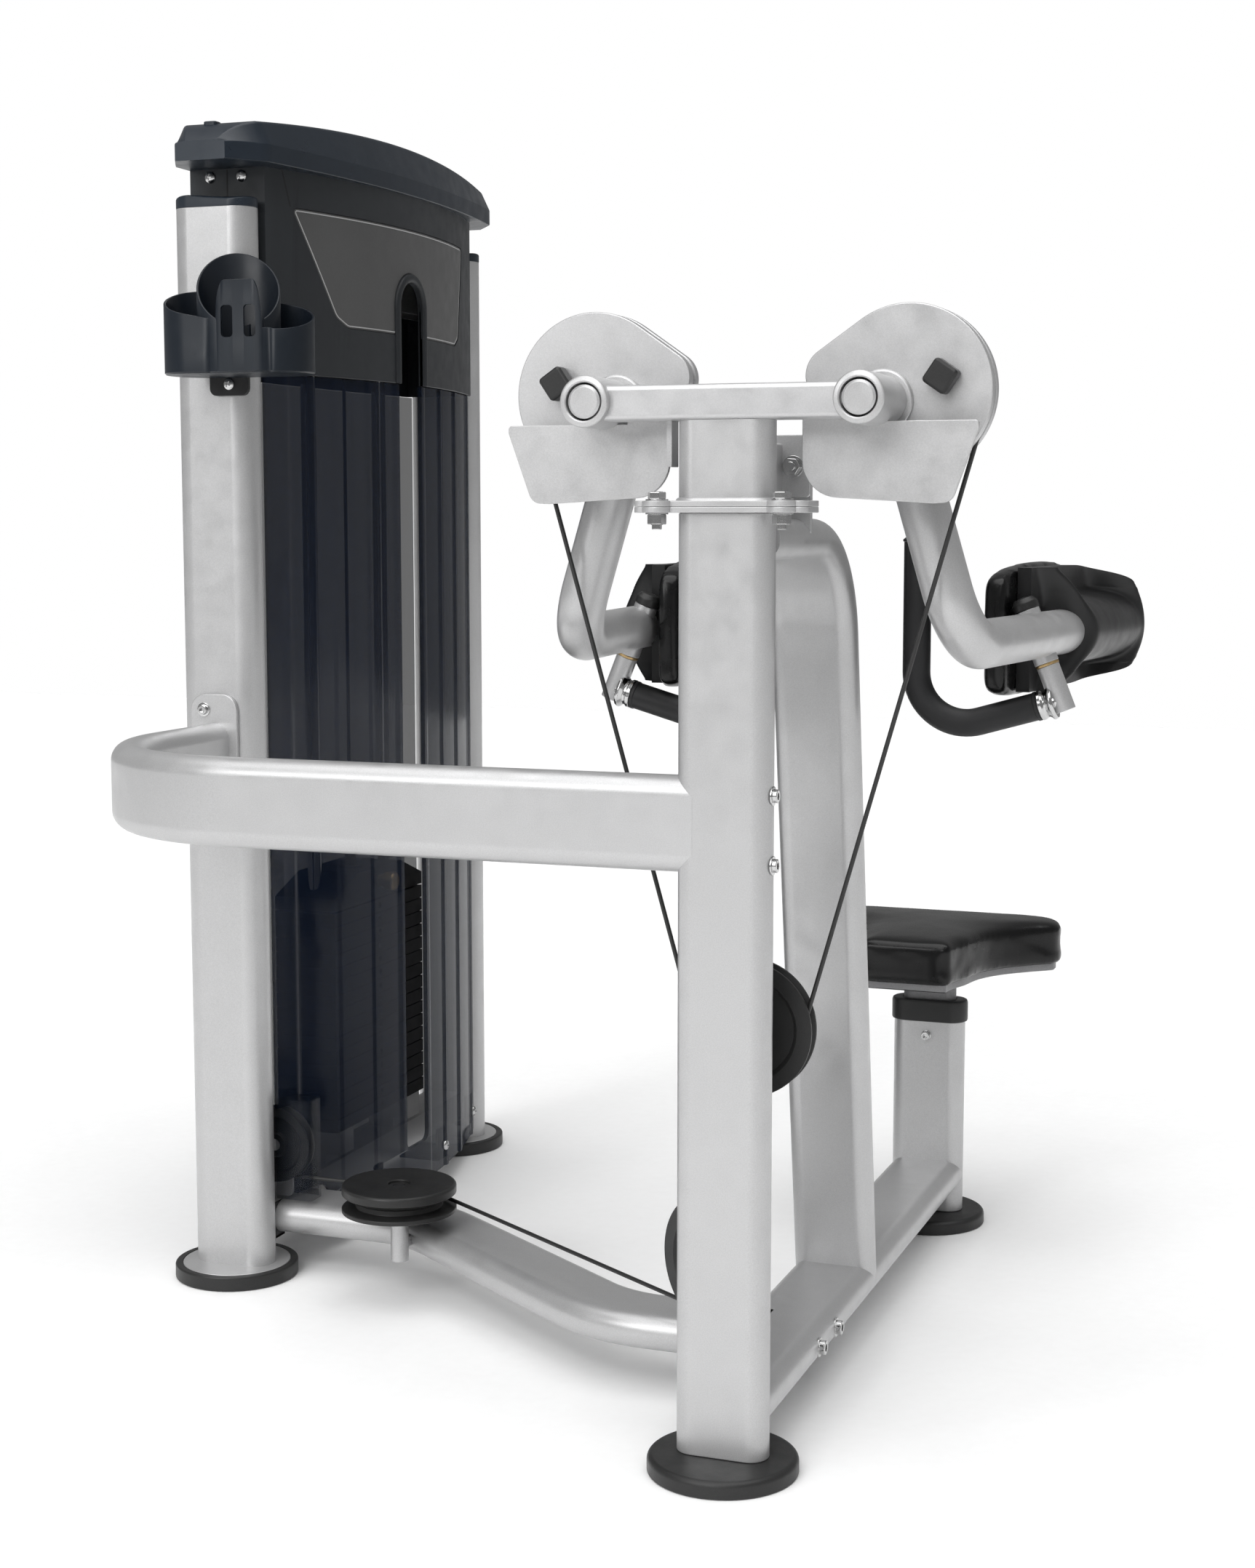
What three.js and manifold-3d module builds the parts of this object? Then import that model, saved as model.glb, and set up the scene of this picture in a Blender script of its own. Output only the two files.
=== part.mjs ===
// A lateral raise machine: a seat and two padded lever arms on an oval tube frame, joined by
// cables and pulleys to a shrouded weight tower. Millimetres, +Z up. The origin is the centre
// of the underside of the column's foot, +Y runs from the column to the seat, and the tower
// stands at -X.
import * as THREE from 'three';
import { mergeVertices } from 'three/addons/utils/BufferGeometryUtils.js';
import Module from 'manifold-3d';

const wasm = await Module();
wasm.setup();

// Frame tubes
const TUBE_WIDTH = 100;
const TUBE_DEPTH = 42;
const TUBE_WALL = 3;
const FIT = 0.3;
const OVERRUN = 40;

// Column, its foot and the bolted head joint
const FOOT_RADIUS = 80;
const FOOT_HEIGHT = 19;
const FOOT_EDGE = 4;
const FLANGE_BOTTOM = 998;
const FLANGE_THICKNESS = 6;
const FLANGE_HALF_WIDTH = 91;
const FLANGE_FRONT = 30;
const FLANGE_CORNER = 9;
const FLANGE_BOLT_X = 65;
const FLANGE_BOLT_Y = -28;
const FLANGE_LOBE_RADIUS = 15;
const BOLT_RADIUS = 5;
const BOLT_HEAD_RADIUS = 9.5;
const BOLT_HEAD_HEIGHT = 7;
const BOLT_STUD = 4;

// Crossbar with its pivot barrels and stop plates
const HEAD_POST_HEIGHT = 80;
const CROSSBAR_BOTTOM = FLANGE_BOTTOM + 2 * FLANGE_THICKNESS + HEAD_POST_HEIGHT;
const CROSSBAR_HEIGHT = 35;
const CROSSBAR_DEPTH = 50;
const CROSSBAR_HALF_LENGTH = 122;
const CROSSBAR_CORNER = 5;
const PIVOT_X = 142;
const PIVOT_RISE = 19;
const PIVOT_Z = CROSSBAR_BOTTOM + PIVOT_RISE;
const BARREL_RADIUS = 26;
const BARREL_FRONT = 32;
const BARREL_BACK = 58;
const SHAFT_RADIUS = 17;
const STOP_PLATE_THICKNESS = 5;
const STOP_PLATE_INNER = 70;
const STOP_PLATE_GAP = 2;
const STOP_PLATE_TOP = CROSSBAR_BOTTOM - STOP_PLATE_GAP;
const STOP_PLATE_OUTER = 248;
const STOP_PLATE_EDGE = 11;
const STOP_PLATE_SHOULDER = STOP_PLATE_TOP - STOP_PLATE_EDGE;
const STOP_PLATE_TAPER = 24;
const STOP_PLATE_TIP = STOP_PLATE_OUTER - STOP_PLATE_TAPER;
const STOP_PLATE_HEIGHT = 81;
const STOP_PLATE_BOTTOM = STOP_PLATE_TOP - STOP_PLATE_HEIGHT;
const STOP_PLATE_SLANT = 8;
const STOP_PLATE_BOTTOM_INNER = STOP_PLATE_BOTTOM + STOP_PLATE_SLANT;
const STOP_PLATE_CORNER = 38;
const STOP_PLATE_TAB_OUTER = 116;

// Cams
const CAM_FRONT = 64;
const CAM_THICKNESS = 30;
const CAM_LARGE_OUT = 25.5;
const CAM_LARGE_RISE = 11;
const CAM_LARGE_X = PIVOT_X + CAM_LARGE_OUT;
const CAM_LARGE_Z = PIVOT_Z + CAM_LARGE_RISE;
const CAM_LARGE_RADIUS = 86;
const CAM_SMALL_IN = 51.5;
const CAM_SMALL_RISE = 27;
const CAM_SMALL_X = PIVOT_X - CAM_SMALL_IN;
const CAM_SMALL_Z = PIVOT_Z + CAM_SMALL_RISE;
const CAM_SMALL_RADIUS = 29;
const CAM_GROOVE_WIDTH = 8;
const CAM_GROOVE_DEPTH = 10;
const CAM_HUB_RADIUS = 32;
const CAM_HUB_HEIGHT = 5.5;
const CAM_WRAP_ANGLE = 1.05;
const BUMPER_OUT = 62;
const BUMPER_RISE = 23;
const BUMPER_X = PIVOT_X + BUMPER_OUT;
const BUMPER_Z = PIVOT_Z + BUMPER_RISE;
const BUMPER_SIDE = 28;
const BUMPER_LENGTH = 20;
const BUMPER_CORNER = 5;
const BUMPER_TURN = 0.6;

// Cables and pulleys
const CABLE_RADIUS = 2.8;
const PULLEY_RADIUS = 73;
const PULLEY_GROOVE = 58;
const PULLEY_THICKNESS = 22;
const PULLEY_BORE = 8;
const AXLE_RADIUS = 7.6;
const SMALL_PULLEY_RADIUS = 50;
const SMALL_PULLEY_GROOVE = 42;
const SMALL_PULLEY_THICKNESS = 18;
const CABLE_PLANE_Y = CAM_FRONT + CAM_THICKNESS / 2;
const MID_PULLEY_Z = 457;
const LOW_CABLE_Z = 127;
const IDLER_X = -555;
const IDLER_Y = 378;
const BLOCK_PLATE = 4;
const BLOCK_HALF_WIDTH = 20;
const BLOCK_RISE = 30;
const BLOCK_BRIDGE = 14;

// Rear bracket between the head post and the curved post
const BRACKET_Y = 131;
const BRACKET_THICKNESS = 6;
const BRACKET_HALF_WIDTH = 50;
const BRACKET_GAP = 11;
const BRACKET_TOP = CROSSBAR_BOTTOM - BRACKET_GAP;
const BRACKET_BOLT_X = 32;
const BRACKET_BOLT_DROP = 33;
const BRACKET_BOLT_Z = BRACKET_TOP - BRACKET_BOLT_DROP;
const STUB_HALF_WIDTH = 20;
const STUB_RISE = 16;
const STUB_BOTTOM = FLANGE_BOTTOM + STUB_RISE;
const STUB_DROP = 9;
const STUB_TOP = BRACKET_TOP - STUB_DROP;

// Base beam and curved post
const BEAM_Z = 71;
const POST_FOOT_Y = 448;
const POST_LEAN = 0.1536;
const POST_RUN_DROP = 27;
const POST_RUN_Z = FLANGE_BOTTOM - POST_RUN_DROP;
const POST_BEND = 130;

// Lower tie from the base beam to the tower
const TIE_START_Y = 215;
const TIE_FIRST_CORNER_X = -205;
const TIE_SECOND_CORNER_X = -561;
const TIE_END_Y = 468;
const TIE_BEND = 170;

// Side beam from the column to the near tower post
const SIDE_BEAM_Z = 682;
const SIDE_BEAM_BEND = 230;
const END_PLATE_HALF_WIDTH = 33;
const END_PLATE_HEIGHT = 174;
const END_PLATE_CORNER = 21;
const END_PLATE_THICKNESS = 6;

// Seat
const SEAT_POST_Y = 946;
const SEAT_POST_TOP = 300;
const COLLAR_DROP = 15;
const COLLAR_RISE = 21;
const COLLAR_BOTTOM = SEAT_POST_TOP - COLLAR_DROP;
const COLLAR_TOP = SEAT_POST_TOP + COLLAR_RISE;
const COLLAR_WALL = 3.5;
const CARRIAGE_WIDTH = 74;
const CARRIAGE_DEPTH = 30;
const CARRIAGE_BOTTOM = 100;
const SEAT_BASE_RISE = 60;
const SEAT_BASE_BOTTOM = SEAT_POST_TOP + SEAT_BASE_RISE;
const SEAT_BASE_THICKNESS = 8;
const SEAT_THICKNESS = 52;
const SEAT_CROWN = 9;
const SEAT_REACH = 161;
const SEAT_NOSE_Y = SEAT_POST_Y - SEAT_REACH;
const SEAT_NOSE_HALF_WIDTH = 57;
const SEAT_LENGTH = 280;
const SEAT_BACK_Y = SEAT_NOSE_Y + SEAT_LENGTH;
const SEAT_HALF_WIDTH = 171;
const SEAT_EDGE = 12;
const PIN_RADIUS = 5;
const PIN_DROP = 50;
const PIN_Z = SEAT_POST_TOP - PIN_DROP;
const PIN_KNOB_RADIUS = 15;
const PIN_KNOB_LENGTH = 26;
const PIN_BOSS_RADIUS = 12;
const PIN_BOSS_LENGTH = 16;
const PIN_TRAVEL = 12;

// Lever arms
const ARM_RADIUS = 26;
const ARM_WALL = 3;
const ARM_Y = 121;
const ARM_HUB_RADIUS = 34;
const ARM_SPLAY = 73;
const ARM_DROP = 248;
const ARM_CORNER_X = PIVOT_X + ARM_SPLAY;
const ARM_CORNER_Z = PIVOT_Z - ARM_DROP;
const ARM_BEND = 62;
const ARM_DIVERGE = 0.106;
const SWIVEL_Y = 399;
const PAD_LENGTH = 370;
const ARM_END_INSET = 69;
const ARM_END_Y = SWIVEL_Y + PAD_LENGTH - ARM_END_INSET;

// Swivelling grips
const SWIVEL_LEAN = 0.379;
const SWIVEL_RADIUS = 11;
const SWIVEL_OFFSET = 5;
const SWIVEL_BOTTOM = 92;
const SWIVEL_TOP = 30;
const SWIVEL_CAP_RADIUS = 15;
const SWIVEL_CAP_HEIGHT = 15;
const SWIVEL_BOSS_RADIUS = 14;
const SWIVEL_BOSS_BOTTOM = 46;
const GRIP_RADIUS = 16;
const GRIP_TUBE_RADIUS = 12.5;
const GRIP_DROP = 79;
const GRIP_LEAN = 0.28;
const GRIP_INNER_X = 102;
const GRIP_RISE = 110;
const GRIP_TOP = ARM_CORNER_Z + GRIP_RISE;
const GRIP_BEND = 58;
const GRIP_COLLAR_LENGTH = 18;
const GRIP_COLLAR_RADIUS = 18;

// Elbow pads and their moulded shells
const PAD_NEAR = 27;
const PAD_TOP = 82;
const PAD_BOTTOM = 74;
const PAD_BACK = 34;
const PAD_THICKNESS = 28;
const PAD_EDGE = 9;
const PAD_CROWN = 5;
const SHELL_BACK = 33.5;
const SHELL_NEAR = 18;
const SHELL_FLANGE = 7;
const SHELL_HUB_RADIUS = 40;
const SHELL_HUB_START = 96;
const SHELL_POCKET = 16;
const SHELL_RIDGE_WIDTH = 13;
const SHELL_FAR_RISE = 50;

// Tower posts and feet
const TOWER_X = -802;
const NEAR_POST_Y = 397;
const FAR_POST_Y = 1084;
const TOWER_TUBE_WIDTH = 108;
const TOWER_TUBE_DEPTH = 53;
const TOWER_FOOT_DISC_RADIUS = 70;
const TOWER_FOOT_DISC = 6;
const PLUG_RISE = 13;
const PLUG_DEPTH = 24;
const PLUG_WAVE = 5;

// Tower base, top beam, guide rods and stack
const TOWER_BASE_WIDTH = 56;
const HOUSING_BOTTOM = 1175;
const TOP_BEAM_RISE = 113;
const TOWER_TOP_BOTTOM = HOUSING_BOTTOM + TOP_BEAM_RISE;
const TOWER_TOP_HEIGHT = 84;
const TOWER_TOP_WIDTH = 50;
const TOWER_TOP_WALL = 4;
const TOP_PULLEY_Z = TOWER_TOP_BOTTOM + TOWER_TOP_HEIGHT / 2;
const POST_RISE = 6;
const TOWER_POST_TOP = TOWER_TOP_BOTTOM + TOWER_TOP_HEIGHT + POST_RISE;
const ROD_RADIUS = 10;
const ROD_SPREAD = 108;
const STACK_WIDTH = 92;
const STACK_LENGTH = 280;
const STACK_BOTTOM = 141;
const PLATE_COUNT = 16;
const PLATE_PITCH = 19.4;
const PLATE_SEAM = 1.6;
const PLATE_SEAM_DEPTH = 2;
const STEM_RADIUS = 12;
const STACK_REST_HEIGHT = 35;
const STACK_TOP = STACK_BOTTOM + PLATE_COUNT * PLATE_PITCH;
const HEAD_GAP = 1;
const HEAD_HEIGHT = 44;
const ANCHOR_RADIUS = 8;
const ANCHOR_RISE = 48.6;
const ANCHOR_TOP = STACK_TOP + HEAD_GAP + HEAD_HEIGHT + ANCHOR_RISE;
const SELECTOR_RISE = 24.6;
const SELECTOR_Z = STACK_TOP + HEAD_GAP + SELECTOR_RISE;
const SELECTOR_RADIUS = 4.5;
const SELECTOR_KNOB_RADIUS = 13;
const SELECTOR_KNOB_LENGTH = 26;
const LANYARD_RADIUS = 4.6;
const LANYARD_WIRE = 1.1;
const LANYARD_CURLS = 7;
const LANYARD_LENGTH = 32;

// Shrouds, housing and cap
const TOWER_MID_Y = (NEAR_POST_Y + FAR_POST_Y) / 2;
const SHROUD_REACH = 49;
const SHROUD_EDGE_X = TOWER_X + SHROUD_REACH;
const SHROUD_BULGE = 52;
const SHROUD_FRONT_X = SHROUD_EDGE_X + SHROUD_BULGE;
const SHROUD_BACK_BULGE = 14;
const SHROUD_WALL = 4;
const SHROUD_BOTTOM = 36;
const HOUSING_HEADROOM = 53;
const HOUSING_TOP = TOWER_POST_TOP + HOUSING_HEADROOM;
const HOUSING_LAP = 30;
const SLOT_HALF_WIDTH = 36;
const SLOT_RISE = 139;
const SLOT_TOP = HOUSING_BOTTOM + SLOT_RISE;
const SLOT_LIP = 16;
const SLOT_LIP_DEPTH = 5;
const SLOT_BOTTOM = 96;
const RIB_WIDTH = 12;
const RIB_DEPTH = 3;
const CAP_EDGE = 22;
const CAP_BEVEL = HOUSING_TOP + CAP_EDGE;
const CAP_END_RISE = 24;
const CAP_TOP_END = CAP_BEVEL + CAP_END_RISE;
const CAP_RISE = 21;
const CAP_TOP_MID = CAP_TOP_END + CAP_RISE;
const CAP_BACK_REACH = 53;
const CAP_BACK_X = TOWER_X - CAP_BACK_REACH;
const CAP_END_REACH = 67;
const CAP_END_X = TOWER_X + CAP_END_REACH;
const CAP_OVERHANG = 25;
const CAP_INSET = 14;
const CAP_NEAR_REACH = 52;
const CAP_FAR_REACH = 43;
const CAP_NEAR_Y = NEAR_POST_Y - CAP_NEAR_REACH;
const CAP_FAR_Y = FAR_POST_Y + CAP_FAR_REACH;
const CAP_CORNER = 46;
const PLACARD_RECESS = 2;
const PLACARD_DROP = 45;
const PLACARD_TOP = HOUSING_TOP - PLACARD_DROP;
const PLACARD_HEIGHT = 146;
const PLACARD_BOTTOM = PLACARD_TOP - PLACARD_HEIGHT;

// Cup and towel holder
const HOLDER_REACH = 74;
const HOLDER_X = TOWER_X + HOLDER_REACH;
const HOLDER_WIDTH = 193;
const HOLDER_DEPTH = 102;
const HOLDER_DROP = 9;
const HOLDER_BOTTOM = HOUSING_BOTTOM - HOLDER_DROP;
const HOLDER_HEIGHT = 98;
const HOLDER_TOP = HOLDER_BOTTOM + HOLDER_HEIGHT;
const HOLDER_SLANT = 38;
const HOLDER_TOP_FRONT = HOLDER_TOP - HOLDER_SLANT;
const HOLDER_WALL = 3;
const HOLDER_CUP_RADIUS = 51;
const HOLDER_HOOP_RISE = 54;
const HOLDER_HOOP_TOP = HOLDER_TOP + HOLDER_HOOP_RISE;
const HOLDER_HOOP_SLANT = 96;
const HOLDER_HOOP_LOW = HOLDER_HOOP_TOP - HOLDER_HOOP_SLANT;
const HOLDER_PANEL_RISE = 12;
const HOLDER_PANEL_TOP = HOLDER_TOP + HOLDER_PANEL_RISE;
const HOLDER_PANEL_WIDTH = 60;
const HOLDER_SLOT_WIDTH = 14;
const HOLDER_SLOT_HEIGHT = 34;
const HOLDER_SLOT_DROP = 64;
const HOLDER_SLOT_BOTTOM = HOLDER_PANEL_TOP - HOLDER_SLOT_DROP;
const HOLDER_SLOT_SPREAD = 15;
const HOLDER_BRACKET_REACH = 31;
const HOLDER_BRACKET_X = TOWER_X + HOLDER_BRACKET_REACH;
const HOLDER_BRACKET_WIDTH = 54;
const HOLDER_BRACKET_DROP = 22;

// Counts of steps round curves
const ARC_STEPS = 3;
const ROUND_STEPS = 18;
const SMALL_STEPS = 12;
const PULLEY_STEPS = 20;
const ARM_SIDES = 16;
const GRIP_SIDES = 12;
const BEND_STEPS = 8;
const CABLE_SIDES = 8;
const SHELL_COLUMNS = 18;
const SHELL_ROWS = 10;

const group = new THREE.Group();

// Materials

function material(colour, roughness, metalness) {
  return new THREE.MeshStandardMaterial({ color: colour, roughness, metalness });
}

const PAINT = material(0xd4d5d6, 0.45, 0.1);
const RUBBER = material(0x303030, 0.75, 0);
const PLASTIC = material(0x2d343c, 0.5, 0);
const HOUSING = material(0x333537, 0.55, 0);
const VINYL = material(0x101010, 0.3, 0);
const STEEL = material(0xb9bbbd, 0.35, 0.9);
const CABLE = material(0x1c1c1c, 0.5, 0);
const IRON = material(0x3a3a3a, 0.6, 0.4);
const BRASS = material(0xb28a3c, 0.35, 0.9);
const BOARD = material(0x8e9092, 0.6, 0);
const SMOKED = new THREE.MeshStandardMaterial({
  color: 0x262b33, roughness: 0.2, metalness: 0, transparent: true, opacity: 0.6,
});

// Solids

function solidOf(geometry) {
  const bare = geometry.clone();
  bare.deleteAttribute('normal');
  bare.deleteAttribute('uv');
  const merged = mergeVertices(bare);
  const corners = merged.index.array;
  const kept = [];
  for (let i = 0; i < corners.length; i += 3) {
    const [a, b, c] = [corners[i], corners[i + 1], corners[i + 2]];
    if (a !== b && b !== c && c !== a) {
      kept.push(a, b, c);
    }
  }
  return new wasm.Manifold(new wasm.Mesh({
    numProp: 3,
    vertProperties: new Float32Array(merged.attributes.position.array),
    triVerts: new Uint32Array(kept),
  }));
}

function union(solids) {
  return solids.reduce((whole, solid) => whole.add(solid));
}

function addPiece(name, solid, finish, parent = group) {
  const { vertProperties, triVerts } = solid.getMesh();
  const geometry = new THREE.BufferGeometry();
  geometry.setAttribute('position', new THREE.BufferAttribute(vertProperties, 3));
  geometry.setIndex(new THREE.BufferAttribute(triVerts, 1));
  geometry.computeVertexNormals();
  const mesh = new THREE.Mesh(geometry, finish);
  mesh.name = name;
  parent.add(mesh);
}

function block(low, high) {
  const size = high.map((value, i) => value - low[i]);
  const geometry = new THREE.BoxGeometry(...size);
  geometry.translate(...low.map((value, i) => value + size[i] / 2));
  return solidOf(geometry);
}

// An outline extruded along Z, or along Y or X with its own y axis turned up to Z.
function prismZ(shape, low, high, steps = ARC_STEPS) {
  const options = { depth: high - low, bevelEnabled: false, curveSegments: steps };
  const geometry = new THREE.ExtrudeGeometry(shape, options);
  geometry.translate(0, 0, low);
  return solidOf(geometry);
}

function prismY(shape, low, high, steps = ARC_STEPS) {
  const options = { depth: high - low, bevelEnabled: false, curveSegments: steps };
  const geometry = new THREE.ExtrudeGeometry(shape, options);
  geometry.rotateX(Math.PI / 2);
  geometry.translate(0, high, 0);
  return solidOf(geometry);
}

function prismX(shape, low, high, steps = ARC_STEPS) {
  const options = { depth: high - low, bevelEnabled: false, curveSegments: steps };
  const geometry = new THREE.ExtrudeGeometry(shape, options);
  const turn = new THREE.Matrix4().makeBasis(
    new THREE.Vector3(0, 1, 0), new THREE.Vector3(0, 0, 1), new THREE.Vector3(1, 0, 0));
  geometry.applyMatrix4(turn);
  geometry.translate(low, 0, 0);
  return solidOf(geometry);
}

// A round bar between two points.
function bar(from, to, radius, steps = ROUND_STEPS) {
  const start = new THREE.Vector3(...from);
  const end = new THREE.Vector3(...to);
  const along = end.clone().sub(start);
  const geometry = new THREE.CylinderGeometry(radius, radius, along.length(), steps);
  const up = new THREE.Vector3(0, 1, 0);
  geometry.applyQuaternion(new THREE.Quaternion().setFromUnitVectors(up, along.normalize()));
  geometry.translate(...start.add(end).multiplyScalar(0.5).toArray());
  return solidOf(geometry);
}

// A bore whose flats stand clear of a round bar of the given radius.
function bore(from, to, radius) {
  return bar(from, to, radius / Math.cos(Math.PI / ROUND_STEPS));
}

// A turned form: profile points are [radius, height] from the low end of the axis to the high.
function turned(profile, axis, centre, steps = ROUND_STEPS) {
  const points = profile.map(([radius, height]) => new THREE.Vector2(radius, height));
  const geometry = new THREE.LatheGeometry(points, steps);
  const up = new THREE.Vector3(0, 1, 0);
  const along = new THREE.Vector3(...axis).normalize();
  geometry.applyQuaternion(new THREE.Quaternion().setFromUnitVectors(up, along));
  geometry.translate(...centre);
  return solidOf(geometry);
}

// Outlines

function oval(width, depth, x = 0, y = 0) {
  const radius = Math.min(width, depth) / 2;
  const across = Math.max(width, depth) / 2 - radius;
  const shape = new THREE.Shape();
  if (width >= depth) {
    shape.absarc(x + across, y, radius, -Math.PI / 2, Math.PI / 2);
    shape.absarc(x - across, y, radius, Math.PI / 2, 1.5 * Math.PI);
  } else {
    shape.absarc(x, y + across, radius, 0, Math.PI);
    shape.absarc(x, y - across, radius, Math.PI, 2 * Math.PI);
  }
  shape.closePath();
  return shape;
}

function ovalRing(width, depth, wall, x = 0, y = 0) {
  const shape = oval(width, depth, x, y);
  shape.holes.push(oval(width - 2 * wall, depth - 2 * wall, x, y));
  return shape;
}

function roundedBox(x0, x1, y0, y1, radius) {
  const shape = new THREE.Shape();
  shape.absarc(x1 - radius, y0 + radius, radius, -Math.PI / 2, 0);
  shape.absarc(x1 - radius, y1 - radius, radius, 0, Math.PI / 2);
  shape.absarc(x0 + radius, y1 - radius, radius, Math.PI / 2, Math.PI);
  shape.absarc(x0 + radius, y0 + radius, radius, Math.PI, 1.5 * Math.PI);
  shape.closePath();
  return shape;
}

function polygon(points) {
  return new THREE.Shape(points.map(([x, y]) => new THREE.Vector2(x, y)));
}

// Routes: straight runs joined by round bends, with one station at each end of a straight.
class BentRoute extends THREE.Curve {
  constructor(corners, radius) {
    super();
    const points = corners.map((corner) => new THREE.Vector3(...corner));
    const radii = Array.isArray(radius) ? radius : points.map(() => radius);
    this.stations = [];
    const first = points[1].clone().sub(points[0]).normalize();
    this.addStation(points[0], first);
    for (let i = 1; i < points.length - 1; i += 1) {
      this.addBend(points[i - 1], points[i], points[i + 1], radii[i]);
    }
    const last = points[points.length - 1];
    this.addStation(last, last.clone().sub(points[points.length - 2]).normalize());
    this.steps = this.stations.length - 1;
  }

  addStation(point, tangent) {
    const before = this.stations[this.stations.length - 1];
    if (!before || before.point.distanceTo(point) > CABLE_RADIUS / 10) {
      this.stations.push({ point, tangent });
    }
  }

  addBend(before, corner, after, radius) {
    const into = corner.clone().sub(before).normalize();
    const out = after.clone().sub(corner).normalize();
    const angle = into.angleTo(out);
    const start = corner.clone().addScaledVector(into, -radius * Math.tan(angle / 2));
    const side = out.clone().addScaledVector(into, -out.dot(into)).normalize();
    const steps = Math.max(2, Math.round(BEND_STEPS * angle / (Math.PI / 2)));
    for (let i = 0; i <= steps; i += 1) {
      const turn = angle * i / steps;
      const point = start.clone()
        .addScaledVector(into, radius * Math.sin(turn))
        .addScaledVector(side, radius * (1 - Math.cos(turn)));
      const tangent = into.clone().multiplyScalar(Math.cos(turn))
        .addScaledVector(side, Math.sin(turn));
      this.addStation(point, tangent);
    }
  }

  getPoint(t) {
    const { before, after, share } = this.between(t);
    return before.point.clone().lerp(after.point, share);
  }

  getTangent(t) {
    const { before, after, share } = this.between(t);
    return before.tangent.clone().lerp(after.tangent, share).normalize();
  }

  between(t) {
    const place = Math.min(t * this.steps, this.steps);
    const index = Math.min(Math.floor(place), this.steps - 1);
    const share = place - index;
    return { before: this.stations[index], after: this.stations[index + 1], share };
  }

  getPointAt(t) {
    return this.getPoint(t);
  }

  getTangentAt(t) {
    return this.getTangent(t);
  }
}

function sweep(shape, route, steps = ARC_STEPS) {
  const options = { steps: route.steps, extrudePath: route, curveSegments: steps };
  return solidOf(new THREE.ExtrudeGeometry(shape, options));
}

function circle(radius, sides = ROUND_STEPS) {
  const points = [];
  for (let i = 0; i < sides; i += 1) {
    const angle = 2 * Math.PI * i / sides;
    points.push([radius * Math.cos(angle), radius * Math.sin(angle)]);
  }
  return polygon(points);
}

// A closed form through rings that all have the same number of points. Each end face is a
// fan round the middle of its ring.
function loft(rings) {
  const count = rings[0].length;
  const positions = [];
  rings.forEach((ring) => ring.forEach((point) => positions.push(...point)));
  const ends = [rings[0], rings[rings.length - 1]];
  ends.forEach((ring) => positions.push(...middleOf(ring)));
  const index = [];
  for (let level = 0; level < rings.length - 1; level += 1) {
    for (let i = 0; i < count; i += 1) {
      const next = (i + 1) % count;
      const a = level * count + i;
      const b = level * count + next;
      index.push(a, b, b + count, a, b + count, a + count);
    }
  }
  const top = (rings.length - 1) * count;
  const lowMiddle = rings.length * count;
  for (let i = 0; i < count; i += 1) {
    const next = (i + 1) % count;
    index.push(next, i, lowMiddle, top + i, top + next, lowMiddle + 1);
  }
  const geometry = new THREE.BufferGeometry();
  geometry.setAttribute('position', new THREE.Float32BufferAttribute(positions, 3));
  geometry.setIndex(index);
  return solidOf(geometry);
}

function middleOf(ring) {
  return [0, 1, 2].map((axis) => ring.reduce((sum, point) => sum + point[axis], 0) / ring.length);
}

// An outline drawn together towards the middle of its own box by a share.
function drawnIn(outline, share) {
  const xs = outline.map(([x]) => x);
  const ys = outline.map(([, y]) => y);
  const x0 = (Math.min(...xs) + Math.max(...xs)) / 2;
  const y0 = (Math.min(...ys) + Math.max(...ys)) / 2;
  return outline.map(([x, y]) => [x + (x0 - x) * share, y + (y0 - y) * share]);
}

// An outline moved inwards along its own normals.
function inset(outline, distance) {
  const count = outline.length;
  return outline.map(([x, y], i) => {
    const before = outline[(i + count - 1) % count];
    const after = outline[(i + 1) % count];
    const dx = after[0] - before[0];
    const dy = after[1] - before[1];
    const length = Math.hypot(dx, dy);
    return [x - dy / length * distance, y + dx / length * distance];
  });
}

// Column, head joint and crossbar

function columnSpace() {
  const grow = 2 * FIT;
  return prismZ(oval(TUBE_WIDTH + grow, TUBE_DEPTH + grow), -OVERRUN, CROSSBAR_BOTTOM);
}

function flangePlate(bottom) {
  const top = bottom + FLANGE_THICKNESS;
  const outline = roundedBox(
    -FLANGE_HALF_WIDTH, FLANGE_HALF_WIDTH, -FLANGE_FRONT, TUBE_DEPTH / 2, FLANGE_CORNER);
  let plate = prismZ(outline, bottom, top, 2);
  for (const side of [-1, 1]) {
    const x = side * FLANGE_BOLT_X;
    plate = plate.add(bar(
      [x, FLANGE_BOLT_Y, bottom], [x, FLANGE_BOLT_Y, top], FLANGE_LOBE_RADIUS, SMALL_STEPS));
  }
  return plate;
}

function column() {
  const tube = prismZ(ovalRing(TUBE_WIDTH, TUBE_DEPTH, TUBE_WALL), FOOT_HEIGHT, FLANGE_BOTTOM);
  const flange = flangePlate(FLANGE_BOTTOM);
  let whole = tube.add(flange);
  for (const side of [-1, 1]) {
    const x = side * FLANGE_BOLT_X;
    const low = FLANGE_BOTTOM - OVERRUN;
    const high = FLANGE_BOTTOM + OVERRUN;
    whole = whole.subtract(bar(
      [x, FLANGE_BOLT_Y, low], [x, FLANGE_BOLT_Y, high], BOLT_RADIUS + FIT, SMALL_STEPS));
  }
  return whole;
}

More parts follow.
